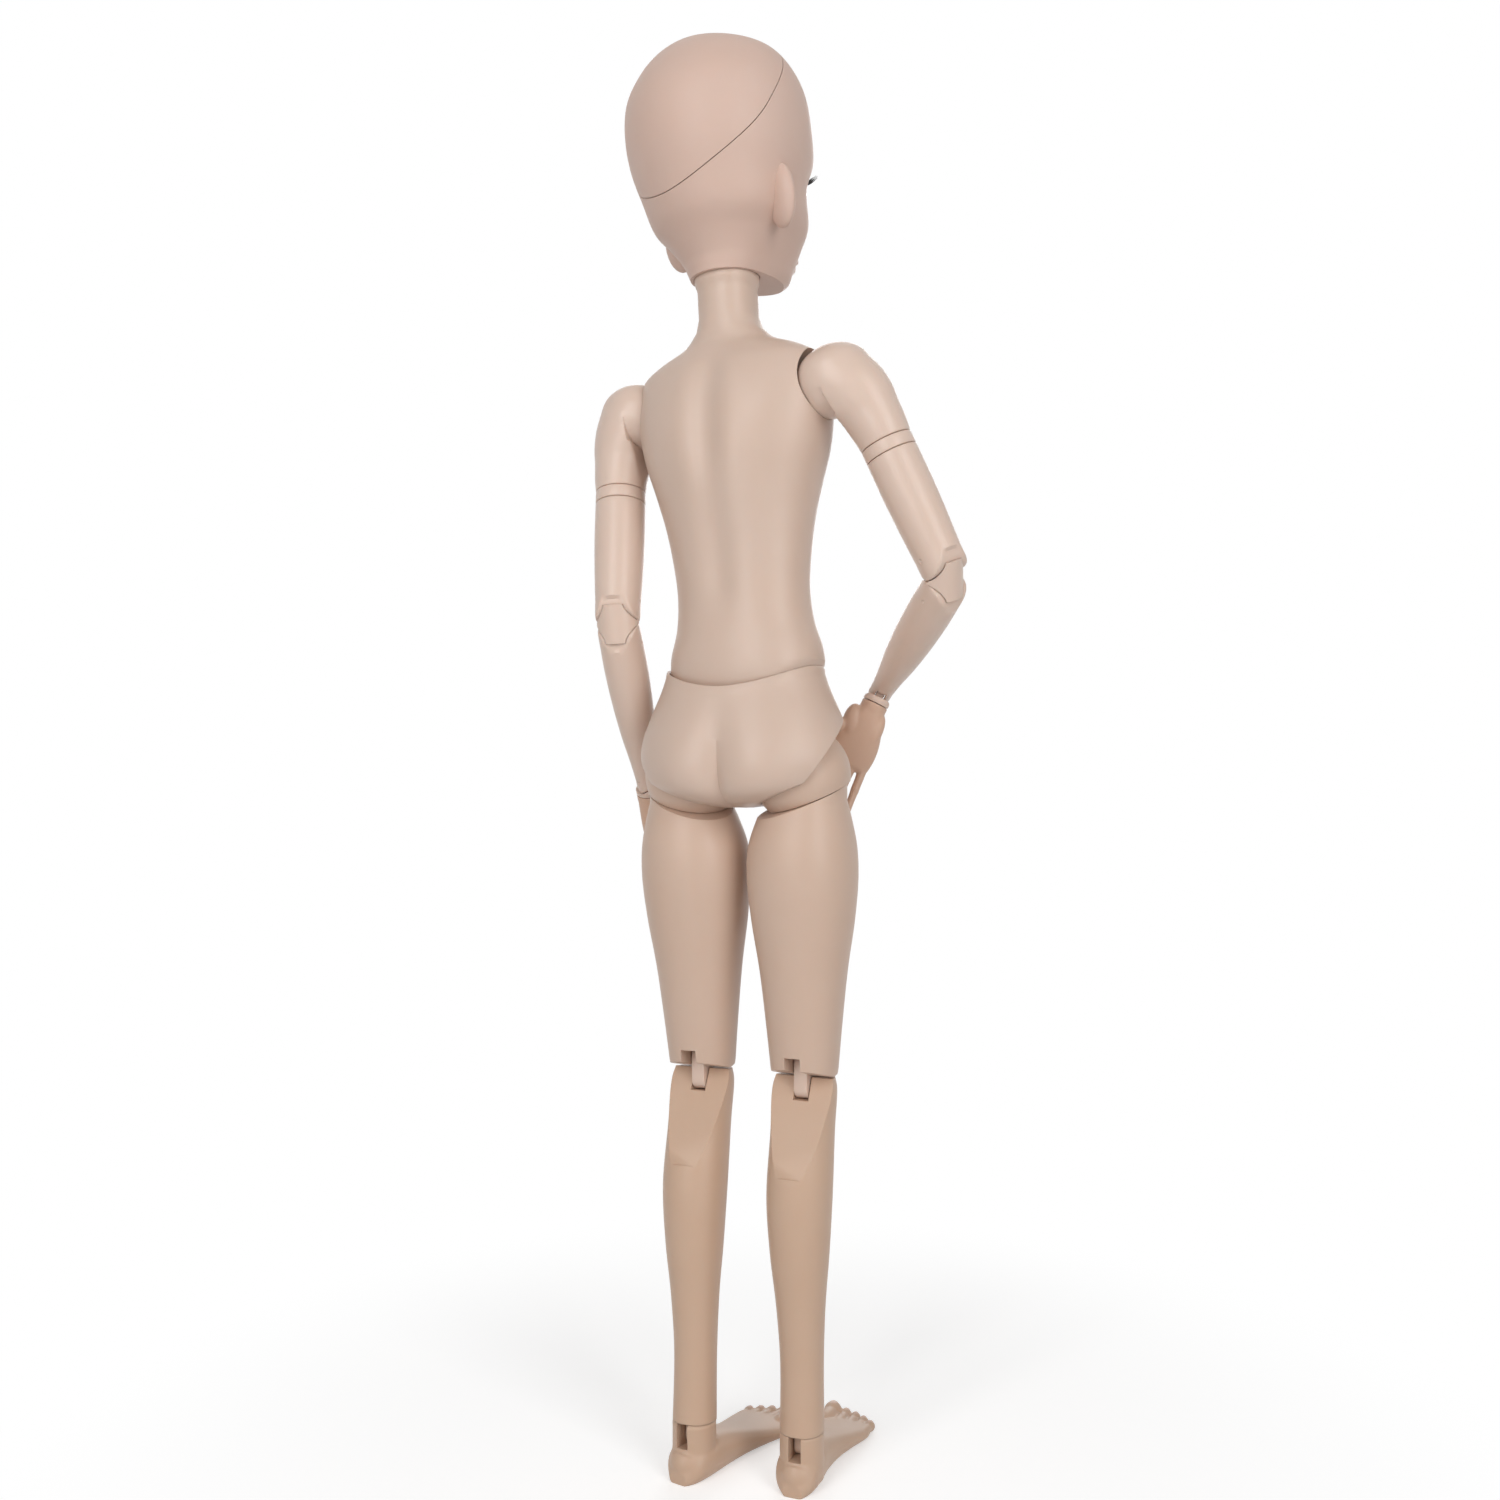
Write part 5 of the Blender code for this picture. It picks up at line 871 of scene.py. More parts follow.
def eye_glass(name, centre, aim):
    """A doll's eye: warm white, a blue-grey iris with fine spokes and a dark rim, and a black pupil."""
    material, tree, shader, where = new_material(name, {"Coat Weight": 1.0, "Coat Roughness": 0.03})
    # A Mapping node of type TEXTURE takes the doll's coordinates into the eye's own frame.
    local = node(tree, 'ShaderNodeMapping', {"vector_type": 'TEXTURE'},
                 {"Vector": where, "Location": centre, "Rotation": aim.to_euler()})
    x = node(tree, 'ShaderNodeSeparateXYZ', {}, {0: local}, "X")
    z = Wire(tree, x.socket.node.outputs["Z"])
    away = node(tree, 'ShaderNodeMath', {"operation": 'SQRT'}, {0: x * x + z * z})
    heading = node(tree, 'ShaderNodeMath', {"operation": 'ARCTAN2'}, {0: x, 1: z})
    ring = node(tree, 'ShaderNodeCombineXYZ', {}, {0: heading * 6.0, 1: away * 260.0})
    spokes = noise(tree, ring, 2.6, 4.0, 0.65)
    iris = node(tree, 'ShaderNodeValToRGB', {"stops": IRIS_STOPS}, {0: spokes}, "Color")
    outer = node(tree, 'ShaderNodeMapRange', {"interpolation_type": 'SMOOTHSTEP'},
                 {"Value": away, "From Min": IRIS_RADIUS * 0.78, "From Max": IRIS_RADIUS * 0.97})
    iris = mixed(tree, outer * 0.8, iris, (0.02, 0.03, 0.045, 1.0))
    white = mixed(tree, noise(tree, where, 300.0, 3.0) * 0.5, (0.80, 0.78, 0.76, 1.0), (0.72, 0.66, 0.63, 1.0))
    in_white = node(tree, 'ShaderNodeMapRange', {"interpolation_type": 'SMOOTHSTEP'},
                    {"Value": away, "From Min": IRIS_RADIUS * 0.96, "From Max": IRIS_RADIUS * 1.05})
    colour = mixed(tree, in_white, iris, white)
    in_pupil = node(tree, 'ShaderNodeMapRange', {"interpolation_type": 'SMOOTHSTEP'},
                    {"Value": away, "From Min": PUPIL_RADIUS * 1.06, "From Max": PUPIL_RADIUS * 0.94})
    colour = mixed(tree, in_pupil, colour, (0.004, 0.004, 0.005, 1.0))
    feed(tree, shader, Base_Color=colour, Roughness=0.12 + spokes * 0.06)
    return material


def lash_hair(name):
    """Fine black hair with slightly paler streaks."""
    material, tree, shader, where = new_material(name, {"Specular IOR Level": 0.35})
    streaks = noise(tree, where, 2500.0, 2.0)
    base = mixed(tree, streaks, (0.010, 0.009, 0.009, 1.0), (0.035, 0.030, 0.028, 1.0))
    feed(tree, shader, Base_Color=base, Roughness=0.42 + streaks * 0.2)
    return material


HEAD_COLOUR = (0.635, 0.460, 0.385)
BODY_COLOUR = (0.622, 0.472, 0.386)
ARM_COLOUR = (0.692, 0.532, 0.442)
LEG_COLOUR = (0.605, 0.440, 0.345)
# Calf and foot: the leg's colour made darker and warmer. This is painted shade for the shade that falls on the
# lower legs.
SHADED_SHIN_COLOUR = (0.582, 0.402, 0.290)
# Hands: the arm's colour made darker and warmer. This is painted shade for the warm shadow that the hands sit in.
SHADED_HAND_COLOUR = (0.625, 0.415, 0.305)
NAIL_COLOUR = (0.720, 0.520, 0.430)
NYLON_COLOUR = (0.75, 0.70, 0.62)

HEAD_SKIN = skin_plastic("head_plastic", HEAD_COLOUR, 0.50, grain=0.014 * MM)
BODY_SKIN = skin_plastic("body_plastic", BODY_COLOUR, 0.40)
ARM_SKIN = skin_plastic("arm_plastic", ARM_COLOUR, 0.34)
LEG_SKIN = skin_plastic("leg_plastic", LEG_COLOUR, 0.42)
# Calves and feet carry painted shade: a darker, warmer tone than the thighs.
SHADED_SHIN_SKIN = skin_plastic("shin_plastic_painted_shade", SHADED_SHIN_COLOUR, 0.42)
# Both hands carry painted shade: a darker, warmer tone than the arms.
SHADED_HAND_SKIN = skin_plastic("hand_plastic_painted_shade", SHADED_HAND_COLOUR, 0.42)
NAIL_SKIN = skin_plastic("nail_plastic", NAIL_COLOUR, 0.28)
INNER = inner_plastic("inner_nylon", NYLON_COLOUR, 0.45)
STEEL = steel("pin_steel")
LASH = lash_hair("lash_hair")


# Head


def head_rows(inset=0.0, low=None, high=None):
    return scaled_rows(HEAD_SHARES, HEAD_HEIGHT, HEAD_HALF_WIDTH, HEAD_FRONT, HEAD_BACK, inset, low, high)


def lips(side, z):
    """Two soft cushions and the line between them."""
    rise_out, rise_side, rise_reach = LIP_BOW
    fall, fall_start, fall_end = LIP_CORNER
    bow = rise_out * hump(side / MM - rise_side, rise_reach) - fall * rise(side / MM, fall_start, fall_end)
    return MM * sum(out * hump(z / MM - height - bow * bow_share, tall) * (1 - rise(side / MM, fade, end))
                    for out, height, tall, fade, end, bow_share in LIP_ROWS)


def face(x, y, z):
    """The doll's face drawn out of the smooth egg of the head, in the head's own frame."""
    if y > 0:
        return x, y, z
    side = abs(x)
    out = relief(FACE_RELIEF, side, z) + ridges(NOSE_RIDGES, side, z) + lips(side, z)
    return x, y - out * rise(-y, *FACE_EDGE), z


def cap_side(offset):
    """Everything on the cap's side of the seam, which runs level at the back, then climbs to the crown."""
    reach = 2 * HEAD_HEIGHT
    block = bmesh.new()
    bmesh.ops.create_grid(block, x_segments=1, y_segments=160, size=reach)
    for vert in block.verts:
        vert.co.z = offset + CAP_SEAM_LIFT * (1 - rise(-vert.co.y, CAP_SEAM_START, CAP_SEAM_END))
    grown = bmesh.ops.extrude_face_region(block, geom=block.faces[:])["geom"]
    lifted = [v for v in grown if isinstance(v, bmesh.types.BMVert)]
    bmesh.ops.translate(block, verts=lifted, vec=(0.0, 0.0, reach))
    bmesh.ops.recalc_face_normals(block, faces=block.faces)
    return moved(block, slide(*CAP_POINT) @ turn('X', -CAP_TILT))


def ear_shape(s):
    """The ear standing off the head, with a hollow inside its rim and a soft lobe."""
    x = HEAD_HALF_WIDTH * EAR_SEAT_SHARE - HEAD_WALL
    reach = EAR_REACH + HEAD_WALL
    lean = turn('X', -EAR_LEAN) @ turn('Z', s * EAR_FLARE)
    outer = egg((reach, EAR_WIDTH, EAR_LENGTH / 2), (s * x, EAR_SETBACK, EAR_RISE), lean)
    deep, wide, tall = EAR_HOLLOW_SHARES
    outward, forward, upward = EAR_HOLLOW_PLACE_SHARES
    place = (s * (x + reach + EAR_REACH * outward), EAR_SETBACK - EAR_WIDTH * forward,
             EAR_RISE + EAR_LENGTH * upward)
    hollow = egg((EAR_REACH * deep, EAR_WIDTH * wide, EAR_LENGTH * tall), place, lean)
    return worked(outer, ("cut", hollow))


def eye_opening(s):
    """An almond lying across the eye, a little higher at its outer corner."""
    centre = (s * EYE_SPACING / 2, -HEAD_FRONT, EYE_HEIGHT)
    opening = rod(1.0, HEAD_FRONT, 'Y', segments=48)
    for vert in opening.verts:
        across = vert.co.x
        lid = 1.0 if vert.co.z > 0 else LOWER_LID_SHARE
        tall = vert.co.z * (1 - EYE_CORNER_NARROWING_SHARE * across ** 4) * lid
        vert.co.x = across * EYE_OPENING_WIDTH / 2
        vert.co.z = (tall + EYE_CORNER_RISE_SHARE * s * across) * EYE_OPENING_HEIGHT / 2
    bmesh.ops.translate(opening, verts=opening.verts, vec=centre)
    return opening


def magnet_pocket(side):
    """Room for a magnet at the crown, on the cap's side of the seam or on the head's."""
    tilt = radians(CAP_TILT)
    crown = (HEAD_HEIGHT - HEAD_WALL * MAGNET_SINK_SHARE - CAP_POINT[2]) / sin(tilt)
    centre = Vector(CAP_POINT) + Vector((0.0, -cos(tilt), sin(tilt))) * crown
    depth = side * (MAGNET_DEPTH / 2 + SEAM)
    matrix = Matrix.Translation(centre) @ turn('X', -CAP_TILT) @ slide(0.0, 0.0, depth)
    return moved(rod(MAGNET_RADIUS + SEAM, MAGNET_DEPTH + 2 * SEAM, segments=24), matrix)


def eye_centre(s):
    return Vector((s * EYE_SPACING / 2, -EYE_DEPTH, EYE_HEIGHT))


def build_head():
    wall_top = HEAD_HEIGHT - HEAD_WALL
    rows = smooth_rows(head_rows(), 8)
    cavity_rows = smooth_rows(head_rows(HEAD_WALL, CAVITY_FLOOR, wall_top), 4)
    shell = loft(rows, 144, clip=face, crowd=0.5)
    steps = [("join", ear_shape(1)), ("join", ear_shape(-1)), ("cut", loft(cavity_rows, 64)),
             ("cut", cap_side(-SEAM / 2)), ("cut", ball(NECK_DOME_RADIUS + GAP)),
             ("cut", rod(HEAD_SOCKET_RADIUS + SEAM, 2 * CAVITY_FLOOR)), ("cut", magnet_pocket(-1))]
    for side, s in SIDES:
        steps.append(("cut", ball(EYE_RADIUS + GAP, eye_centre(s))))
        steps.append(("cut", eye_opening(s)))
    finish_piece("head_shell_skin", worked(shell, *steps), "head", "head", ["head_shell"], HEAD_SKIN)
    lid = worked(loft(rows, 96), ("keep", cap_side(SEAM / 2)), ("cut", loft(cavity_rows, 64)),
                 ("cut", magnet_pocket(1)))
    finish_piece("head_cap_skin", lid, "head", "head_cap", ["head_cap"], HEAD_SKIN)
    for side, s in SIDES:
        build_eye(side, s)
        build_lashes(side, s)


def build_eye(side, s):
    """A glass eye whose front swells over the iris."""
    centre = eye_centre(s)
    globe = ball(EYE_RADIUS)
    for vert in globe.verts:
        away = sqrt(vert.co.x ** 2 + vert.co.z ** 2)
        if vert.co.y < 0:
            swell = 1 - rise(away, IRIS_RADIUS * 0.5, IRIS_RADIUS * 1.2)
            vert.co += vert.co.normalized() * CORNEA_RISE * swell
    place = PLACES["head"] @ Matrix.Translation(centre)
    glass = eye_glass(side + "_eye_glass", place.to_translation(), place.to_3x3())
    bmesh.ops.translate(globe, verts=globe.verts, vec=centre)
    finish_piece(side + "_eye_globe", globe, "head", "head", [side + "_eye"], glass)


def build_lashes(side, s):
    """A fringe of single hairs rooted along the upper lid, every third a little shorter."""
    centre = eye_centre(s)
    hairs = []
    for index in range(LASH_COUNT):
        share = index / (LASH_COUNT - 1)
        angle = radians(LASH_FIRST_ANGLE + LASH_SWEEP * share)
        across = cos(angle)
        tall = LASH_ROOT_SHARE * sin(angle) * (1 - EYE_CORNER_NARROWING_SHARE * across ** 4)
        x = EYE_OPENING_WIDTH / 2 * LASH_ROOT_SHARE * across
        z = EYE_OPENING_HEIGHT / 2 * (tall + EYE_CORNER_RISE_SHARE * s * across)
        depth = sqrt(max(EYE_RADIUS ** 2 - x ** 2 - z ** 2, 0.0))
        root = centre + Vector((x, -depth - GAP, z))
        length = LASH_LENGTH * (0.72 + 0.28 * sin(pi * share)) * (0.86 if index % 3 == 1 else 1.0)
        hairs.append(lash(root, Vector((across * 1.05, -0.9, 0.10)), length))
    finish_piece(side + "_lash_fringe", together(*hairs), "head", "head", [side + "_lashes"], LASH, 60.0)


def lash(root, direction, length):
    """One curled hair, thick at its root and pointed at its tip."""
    bm = bmesh.new()
    bmesh.ops.create_circle(bm, cap_ends=True, segments=6, radius=LASH_RADIUS)
    ahead = direction.normalized()
    bmesh.ops.rotate(bm, verts=bm.verts, matrix=ahead.to_track_quat('Z', 'Y').to_matrix())
    bmesh.ops.translate(bm, verts=bm.verts, vec=root)
    tip = bm.faces[:][0]
    for bend in range(LASH_BENDS):
        tip = bmesh.ops.extrude_discrete_faces(bm, faces=[tip])["faces"][0]
        share = (bend + 1) / LASH_BENDS
        lifted = (ahead + Vector((0.0, 0.0, LASH_CURL_SHARE * share))).normalized()
        bmesh.ops.translate(bm, verts=tip.verts, vec=lifted * (length / LASH_BENDS))
        centre = tip.calc_center_median()
        for vert in tip.verts:
            vert.co = centre + (vert.co - centre) * (1 - LASH_TAPER_SHARE * (1 + share))
    return bm


# Torso


def neck_rows():
    """The neck above the shoulders, ending in the dome that the head sits on."""
    base = TORSO_SHARES[-1][0] * NECK_HEIGHT
    below = sqrt(NECK_DOME_RADIUS ** 2 - NECK_RADIUS ** 2)
    rows = [ring(base + (NECK_HEIGHT - base) * share, NECK_RADIUS) for share in (0.25, 0.60)]
    rows.append(ring(NECK_HEIGHT - below, NECK_RADIUS))
    for angle in NECK_DOME_ANGLES:
        up = NECK_HEIGHT + NECK_DOME_RADIUS * sin(radians(angle))
        rows.append(ring(up, NECK_DOME_RADIUS * cos(radians(angle))))
    return rows


def back_and_chest(x, y, z):
    """Spine groove, shoulder blades and a plain smooth chest, in the torso's own frame."""
    side = abs(x)
    if z < 0:
        reach = sqrt(max(WAIST_DOME_RADIUS ** 2 - z * z, 0.0))
        away = sqrt(x * x + y * y)
        share = min(1.0, reach / away) if away > 0 else 1.0
        x, y = x * share, y * share
    body = 1 - rise(z, *NECK_FADE)
    if y > 0:
        out = ridges(SPINE_RIDGES, abs(x), z) + ridges(BACK_RIDGES, side, z) + relief(BLADE_RELIEF, side, z)
        return x, y + out * body, z
    collarbone = hump(z - (COLLARBONE_HEIGHT - side * COLLARBONE_FALL_SHARE), COLLARBONE_REACH)
    out = relief(CHEST_RELIEF, side, z) + ridges(CHEST_RIDGES, side, z)
    out += COLLARBONE_OUT * collarbone * window(side, COLLARBONE_MARKS)
    return x, y - out * body, z


def torso_rows(*limits):
    return scaled_rows(TORSO_SHARES, NECK_HEIGHT, CHEST_HALF_WIDTH, CHEST_FRONT, CHEST_BACK, *limits)


def build_torso():
    body = loft(smooth_rows(torso_rows(), 5) + smooth_rows(neck_rows(), 3), 96, TORSO_POWER, back_and_chest)
    inside = torso_rows(TORSO_WALL, -WAIST_DOME_RADIUS * WAIST_CAVITY_SHARE, SHOULDER_HEIGHT)
    neck_base = SHOULDER_HEIGHT - OVERRUN
    bore_length = NECK_HEIGHT + NECK_DOME_RADIUS - neck_base
    mouth_length = NECK_DOME_RADIUS + OVERRUN
    steps = [("cut", loft(smooth_rows(inside, 3), 48)),
             ("cut", rod(WAIST_HOLE_RADIUS, 2 * WAIST_DOME_RADIUS, centre=(0.0, 0.0, -WAIST_DOME_RADIUS))),
             ("cut", rod(NECK_STEM_RADIUS + GAP, bore_length, centre=(0.0, 0.0, neck_base + bore_length / 2))),
             ("cut", ball(NECK_BALL_RADIUS + 2 * GAP, (0.0, 0.0, NECK_HEIGHT))),
             ("cut", rod(NECK_BALL_RADIUS + GAP, mouth_length, end_radius=NECK_MOUTH,
                         centre=(0.0, 0.0, NECK_HEIGHT + mouth_length / 2)))]
    for side, s in SIDES:
        steps.append(("cut", ball(SHOULDER_RADIUS + TIGHT, (s * SHOULDER_SPAN / 2, 0.0, SHOULDER_HEIGHT))))
        steps.append(("cut", rod(PEG_RADIUS + GAP, SHOULDER_SPAN / 3, 'X',
                                 (s * SHOULDER_SPAN / 3, 0.0, SHOULDER_HEIGHT))))
    finish_piece("torso_skin", worked(body, *steps), "torso", "torso", ["torso_shell"], BODY_SKIN)


# Pelvis


def seat_shape(x, y, z):
    """Two round cheeks with a soft cleft, a smooth front and a slightly proud rim, in the pelvis's own frame."""
    away = sqrt(x * x + y * y)
    rim = WAIST_HEIGHT - sqrt(max(WAIST_DOME_RADIUS ** 2 - away ** 2, 0.0))
    proud = 1 + RIM_OUT * hump(z - rim + RIM_DROP, RIM_REACH) / max(away, MM)
    side = abs(x * proud)
    if y > 0:
        out = relief(SEAT_RELIEF, abs(x), z) + ridges(SEAT_RIDGES, side, z)
        return x * proud, y * proud + out, z
    return x * proud, y * proud - relief(BELLY_RELIEF, side, z), z


def slanted_block(s, rise_height, side_share, back_share):
    """An upright block beside the crotch, whose top climbs towards the side and falls towards the back."""
    inner = CROTCH_HALF_WIDTH - HIP_SPAN / 2
    reach = PELVIS_HALF_WIDTH
    bm = bmesh.new()
    bmesh.ops.create_cube(bm, size=2.0)
    for vert in bm.verts:
        lateral = reach if vert.co.x > 0 else inner
        y = reach * vert.co.y
        top = rise_height + side_share * lateral + back_share * y
        vert.co = Vector((s * (HIP_SPAN / 2 + lateral), y, top if vert.co.z > 0 else -2 * reach))
    return bm


def build_pelvis():
    rows = scaled_rows(PELVIS_SHARES, PELVIS_HEIGHT, PELVIS_HALF_WIDTH, PELVIS_FRONT, PELVIS_BACK)
    shell = loft(smooth_rows(rows, 7), 112, PELVIS_POWER, seat_shape)
    bore_top = WAIST_HEIGHT - WAIST_DOME_RADIUS + OVERRUN
    bore_length = WAIST_STEM_DEPTH + 2 * OVERRUN
    steps = [("cut", ball(WAIST_DOME_RADIUS + TIGHT, (0.0, 0.0, WAIST_HEIGHT), 96)),
             ("cut", rod(WAIST_STEM_RADIUS + GAP, bore_length, centre=(0.0, 0.0, bore_top - bore_length / 2)))]
    for side, s in SIDES:
        peg_length = HIP_SPAN / 2 - WAIST_STEM_RADIUS
        steps += [("cut", ball(HIP_BALL_RADIUS + TIGHT, (s * HIP_SPAN / 2, 0.0, 0.0))),
                  ("cut", slanted_block(s, LEG_LINE_RISE, LEG_LINE_SIDE_SHARE, LEG_LINE_BACK_SHARE)),
                  ("cut", slanted_block(s, LEG_CUT_RISE, LEG_CUT_SIDE_SHARE, LEG_CUT_BACK_SHARE)),
                  ("cut", rod(PEG_RADIUS + GAP, peg_length, 'X', (s * (HIP_SPAN - peg_length) / 2, 0.0, 0.0)))]
    finish_piece("pelvis_skin", worked(shell, *steps), "pelvis", "pelvis", ["pelvis_shell"], BODY_SKIN)


# Arms


def flat_clip(radius, height, side):
    """A clip that keeps a limb's end, above or below a height, inside a barrel about the X axis."""
    def clip(x, y, z):
        if (z - height) * side <= 0:
            return x, y, z
        reach = sqrt(max(radius ** 2 - (z - height) ** 2, 0.0))
        return x, max(-reach, min(reach, y)), z
    return clip


def end_rows(radius, height, side, half_width, depth):
    """Rings that carry a limb past its hinge pin and round the end about the pin, drawn in at its cheeks."""
    rows = []
    for angle in HINGE_END_ANGLES:
        inwards = half_width * (1 - HINGE_CHEEK_SHARE * (angle / HINGE_END_ANGLES[-1]) ** 3)
        rows.append((height + side * radius * sin(radians(angle)), inwards, depth, depth, 0.0, 0.0))
    return rows


def soft_ends(rows, start=True, end=True, amount=EDGE_SOFTNESS):
    """Rings whose first and last edges are slightly rounded."""
    rows = [tuple(row) for row in rows]

    def rounded(first, second):
        way = copysign(amount, second[0] - first[0])
        edge = [(first[0] + way * drop,) + tuple(size - amount * share for size in first[1:4]) + first[4:]
                for share, drop in EDGE_SHARES]
        return edge + [(first[0] + way,) + first[1:]]
    if start:
        rows = rounded(rows[0], rows[1]) + rows[1:]
    if end:
        rows = rows[:-1] + rounded(rows[-1], rows[-2])[::-1]
    return rows


def build_arm(side, s):
    build_shoulder_cap(side, s)
    band_low = build_band(side)
    end = build_upper_arm(side, s, band_low - SEAM)
    build_elbow_link(side, end)
    build_forearm(side, s, 2 * end[1] * PIN_REACH_SHARE)
    build_hand(side, s)


def build_shoulder_cap(side, s):
    """A ball that runs out into the top of the arm, open towards the body for the peg it swings on."""
    rows = [(-SHOULDER_RADIUS * row[0],) + tuple(SHOULDER_RADIUS * share for share in row[1:4])
            + (s * SHOULDER_RADIUS * row[4], 0.0) for row in SHOULDER_SHARES]
    rows.append(ring(-BAND_DROP, UPPER_ARM_RADIUS, s * ARM_OFFSET))

    def medial(x, y, z):
        if x * s >= 0:
            return x, y, z
        least = CAP_MEDIAL_REACH if z < -SHOULDER_RADIUS else 0.0
        limit = max(least, sqrt(max(SHOULDER_RADIUS ** 2 - y * y - z * z, 0.0)))
        return max(-limit, min(limit, x)), y, z
    cap = loft(soft_ends(smooth_rows(rows, 7), start=False), 80, clip=medial)
    pin_length = 2 * SHOULDER_RADIUS * PIN_REACH_SHARE
    core_length = BAND_DROP - SHOULDER_CAVITY_RADIUS * CORE_TOP_SHARE
    core_centre = (s * ARM_OFFSET * CORE_SIDE_SHARE, 0.0, -BAND_DROP + core_length / 2 - OVERRUN)
    cap = worked(cap, ("cut", ball(SHOULDER_CAVITY_RADIUS)),
                 ("cut", sector(2 * SHOULDER_RADIUS, PEG_RADIUS + GAP, *ARM_PEG_SWEEP, s)),
                 ("cut", pin_hole(pin_length + SEAM, 'Y')),
                 ("cut", rod(CORE_RADIUS, core_length, centre=core_centre)))
    finish_skin(side + "_shoulder_cap", cap, ARM_SKIN)


def build_band(side):
    """The thin ring between the shoulder cap and the upper arm. Gives the height of its lower edge."""
    top = -BAND_DROP - SEAM
    low = top - BAND_HEIGHT
    band = loft(soft_ends([ring(top, UPPER_ARM_RADIUS), ring(low, UPPER_ARM_RADIUS)]), 80)
    band = worked(band, ("cut", rod(CORE_RADIUS, 3 * BAND_HEIGHT, centre=(0.0, 0.0, low))))
    arm = side + "_upper_arm"
    finish_piece(side + "_arm_band_skin", band, arm, arm, [side + "_arm_band"], ARM_SKIN)
    return low


def build_upper_arm(side, s, top):
    """The upper arm down to its rounded elbow end. Gives the row at that end."""
    rows = limb_rows(UPPER_ARM_SHARES, top, UPPER_ARM_LENGTH + top, UPPER_ARM_RADIUS)
    end = rows[-1]
    low = -UPPER_ARM_LENGTH
    rows = soft_ends(smooth_rows(rows, 6), end=False) + end_rows(ELBOW_END_RADIUS, low, -1, end[1], end[2])
    strap_room = box((-STRAP_WIDTH / 2 - GAP, -2 * UPPER_ARM_RADIUS, low - 4 * STRAP_RADIUS),
                     (STRAP_WIDTH / 2 + GAP, STRAP_RADIUS + GAP, low + STRAP_RADIUS + GAP))
    dimple = ball(DIMPLE_RADIUS, (-s * (end[1] + DIMPLE_PROUD), 0.0, low), 24)
    upper = worked(loft(rows, 80, clip=flat_clip(ELBOW_END_RADIUS, low, -1)), ("cut", strap_room),
                   ("cut", dimple),
                   ("cut", pin_hole(2 * end[1] * PIN_REACH_SHARE + 2 * SEAM, 'X', (0.0, 0.0, low))))
    finish_skin(side + "_upper_arm", upper, ARM_SKIN)
    return end


def build_elbow_link(side, end):
    """The saddle between the two rounded arm ends, with the strap that the pins go through."""
    span = ELBOW_LINK_LENGTH
    half_width = end[1]
    depth = end[3]
    rows = [(z, half_width, depth, depth, 0.0, 0.0) for z in (-GAP, -span / 2, GAP - span)]
    saddle = loft(smooth_rows(rows, 8), 80)
    front = box((-2 * half_width, -2 * depth, -2 * span), (2 * half_width, SADDLE_START, span))
    low = (0.0, 0.0, -span)
    saddle = worked(saddle,
                    ("cut", rod(ELBOW_END_RADIUS + GAP, 4 * half_width, 'X', segments=96)),
                    ("cut", rod(ELBOW_END_RADIUS + GAP, 4 * half_width, 'X', low, 96)),
                    ("cut", front), ("join", stadium(STRAP_RADIUS, span, STRAP_WIDTH)),
                    ("cut", pin_hole(4 * half_width)), ("cut", pin_hole(4 * half_width, 'X', low)))
    finish_skin(side + "_elbow_link", saddle, ARM_SKIN)


def build_forearm(side, s, pin_length):
    """The forearm, rounded about the elbow's pin above and about the turned wrist pin below."""
    rows = limb_rows(FOREARM_SHARES, 0.0, FOREARM_LENGTH, FOREARM_RADIUS)
    first = rows[0]
    last = rows[-1]
    low = -FOREARM_LENGTH
    rows = (end_rows(ELBOW_END_RADIUS, 0.0, 1, first[1], first[2])[::-1] + smooth_rows(rows, 6)
            + end_rows(WRIST_END_RADIUS, low, -1, last[1], last[2]))
    heading = radians(-s * WRIST_PIN_HEADING)
    upper_clip = flat_clip(ELBOW_END_RADIUS, 0.0, 1)

    def clip(x, y, z):
        x, y, z = upper_clip(x, y, z)
        if z > low:
            return x, y, z
        reach = sqrt(max(WRIST_END_RADIUS ** 2 - (z - low) ** 2, 0.0))
        across = x * cos(heading) + y * sin(heading)
        along = -x * sin(heading) + y * cos(heading)
        across = max(-reach, min(reach, across))
        return across * cos(heading) - along * sin(heading), across * sin(heading) + along * cos(heading), z
    across_wrist = turn('Z', -s * WRIST_PIN_HEADING + 90.0)
    strap_room = box((-STRAP_WIDTH / 2 - GAP, -2 * FOREARM_RADIUS, -STRAP_RADIUS - GAP),
                     (STRAP_WIDTH / 2 + GAP, STRAP_RADIUS + GAP, 4 * STRAP_RADIUS))
    reach = 2 * FOREARM_RADIUS
    wrist_room = box((-WRIST_STRAP_WIDTH / 2 - GAP, -reach, low - 4 * WRIST_STRAP_RADIUS),
                     (WRIST_STRAP_WIDTH / 2 + GAP, reach, low + WRIST_STRAP_RADIUS + GAP), across_wrist)
    wrist_pin = 2 * last[1] * PIN_REACH_SHARE
    wrist_pocket = moved(pin_hole(wrist_pin + 2 * SEAM, 'X', (0.0, 0.0, low)), across_wrist)
    dots = [("cut", moved(ball(DOT_RADIUS, (way * (last[1] + DOT_PROUD), 0.0, low), 24), across_wrist))
            for way in (1, -1)]
    dimple = ball(DIMPLE_RADIUS, (-s * (first[1] + DIMPLE_PROUD), 0.0, 0.0), 24)
    forearm = worked(loft(rows, 80, clip=clip), ("cut", strap_room), ("cut", wrist_room), ("cut", dimple), *dots,
                     ("cut", pin_hole(pin_length + 2 * SEAM)), ("cut", wrist_pocket))
    finish_skin(side + "_forearm", forearm, ARM_SKIN)
    build_wrist(side, wrist_pin)


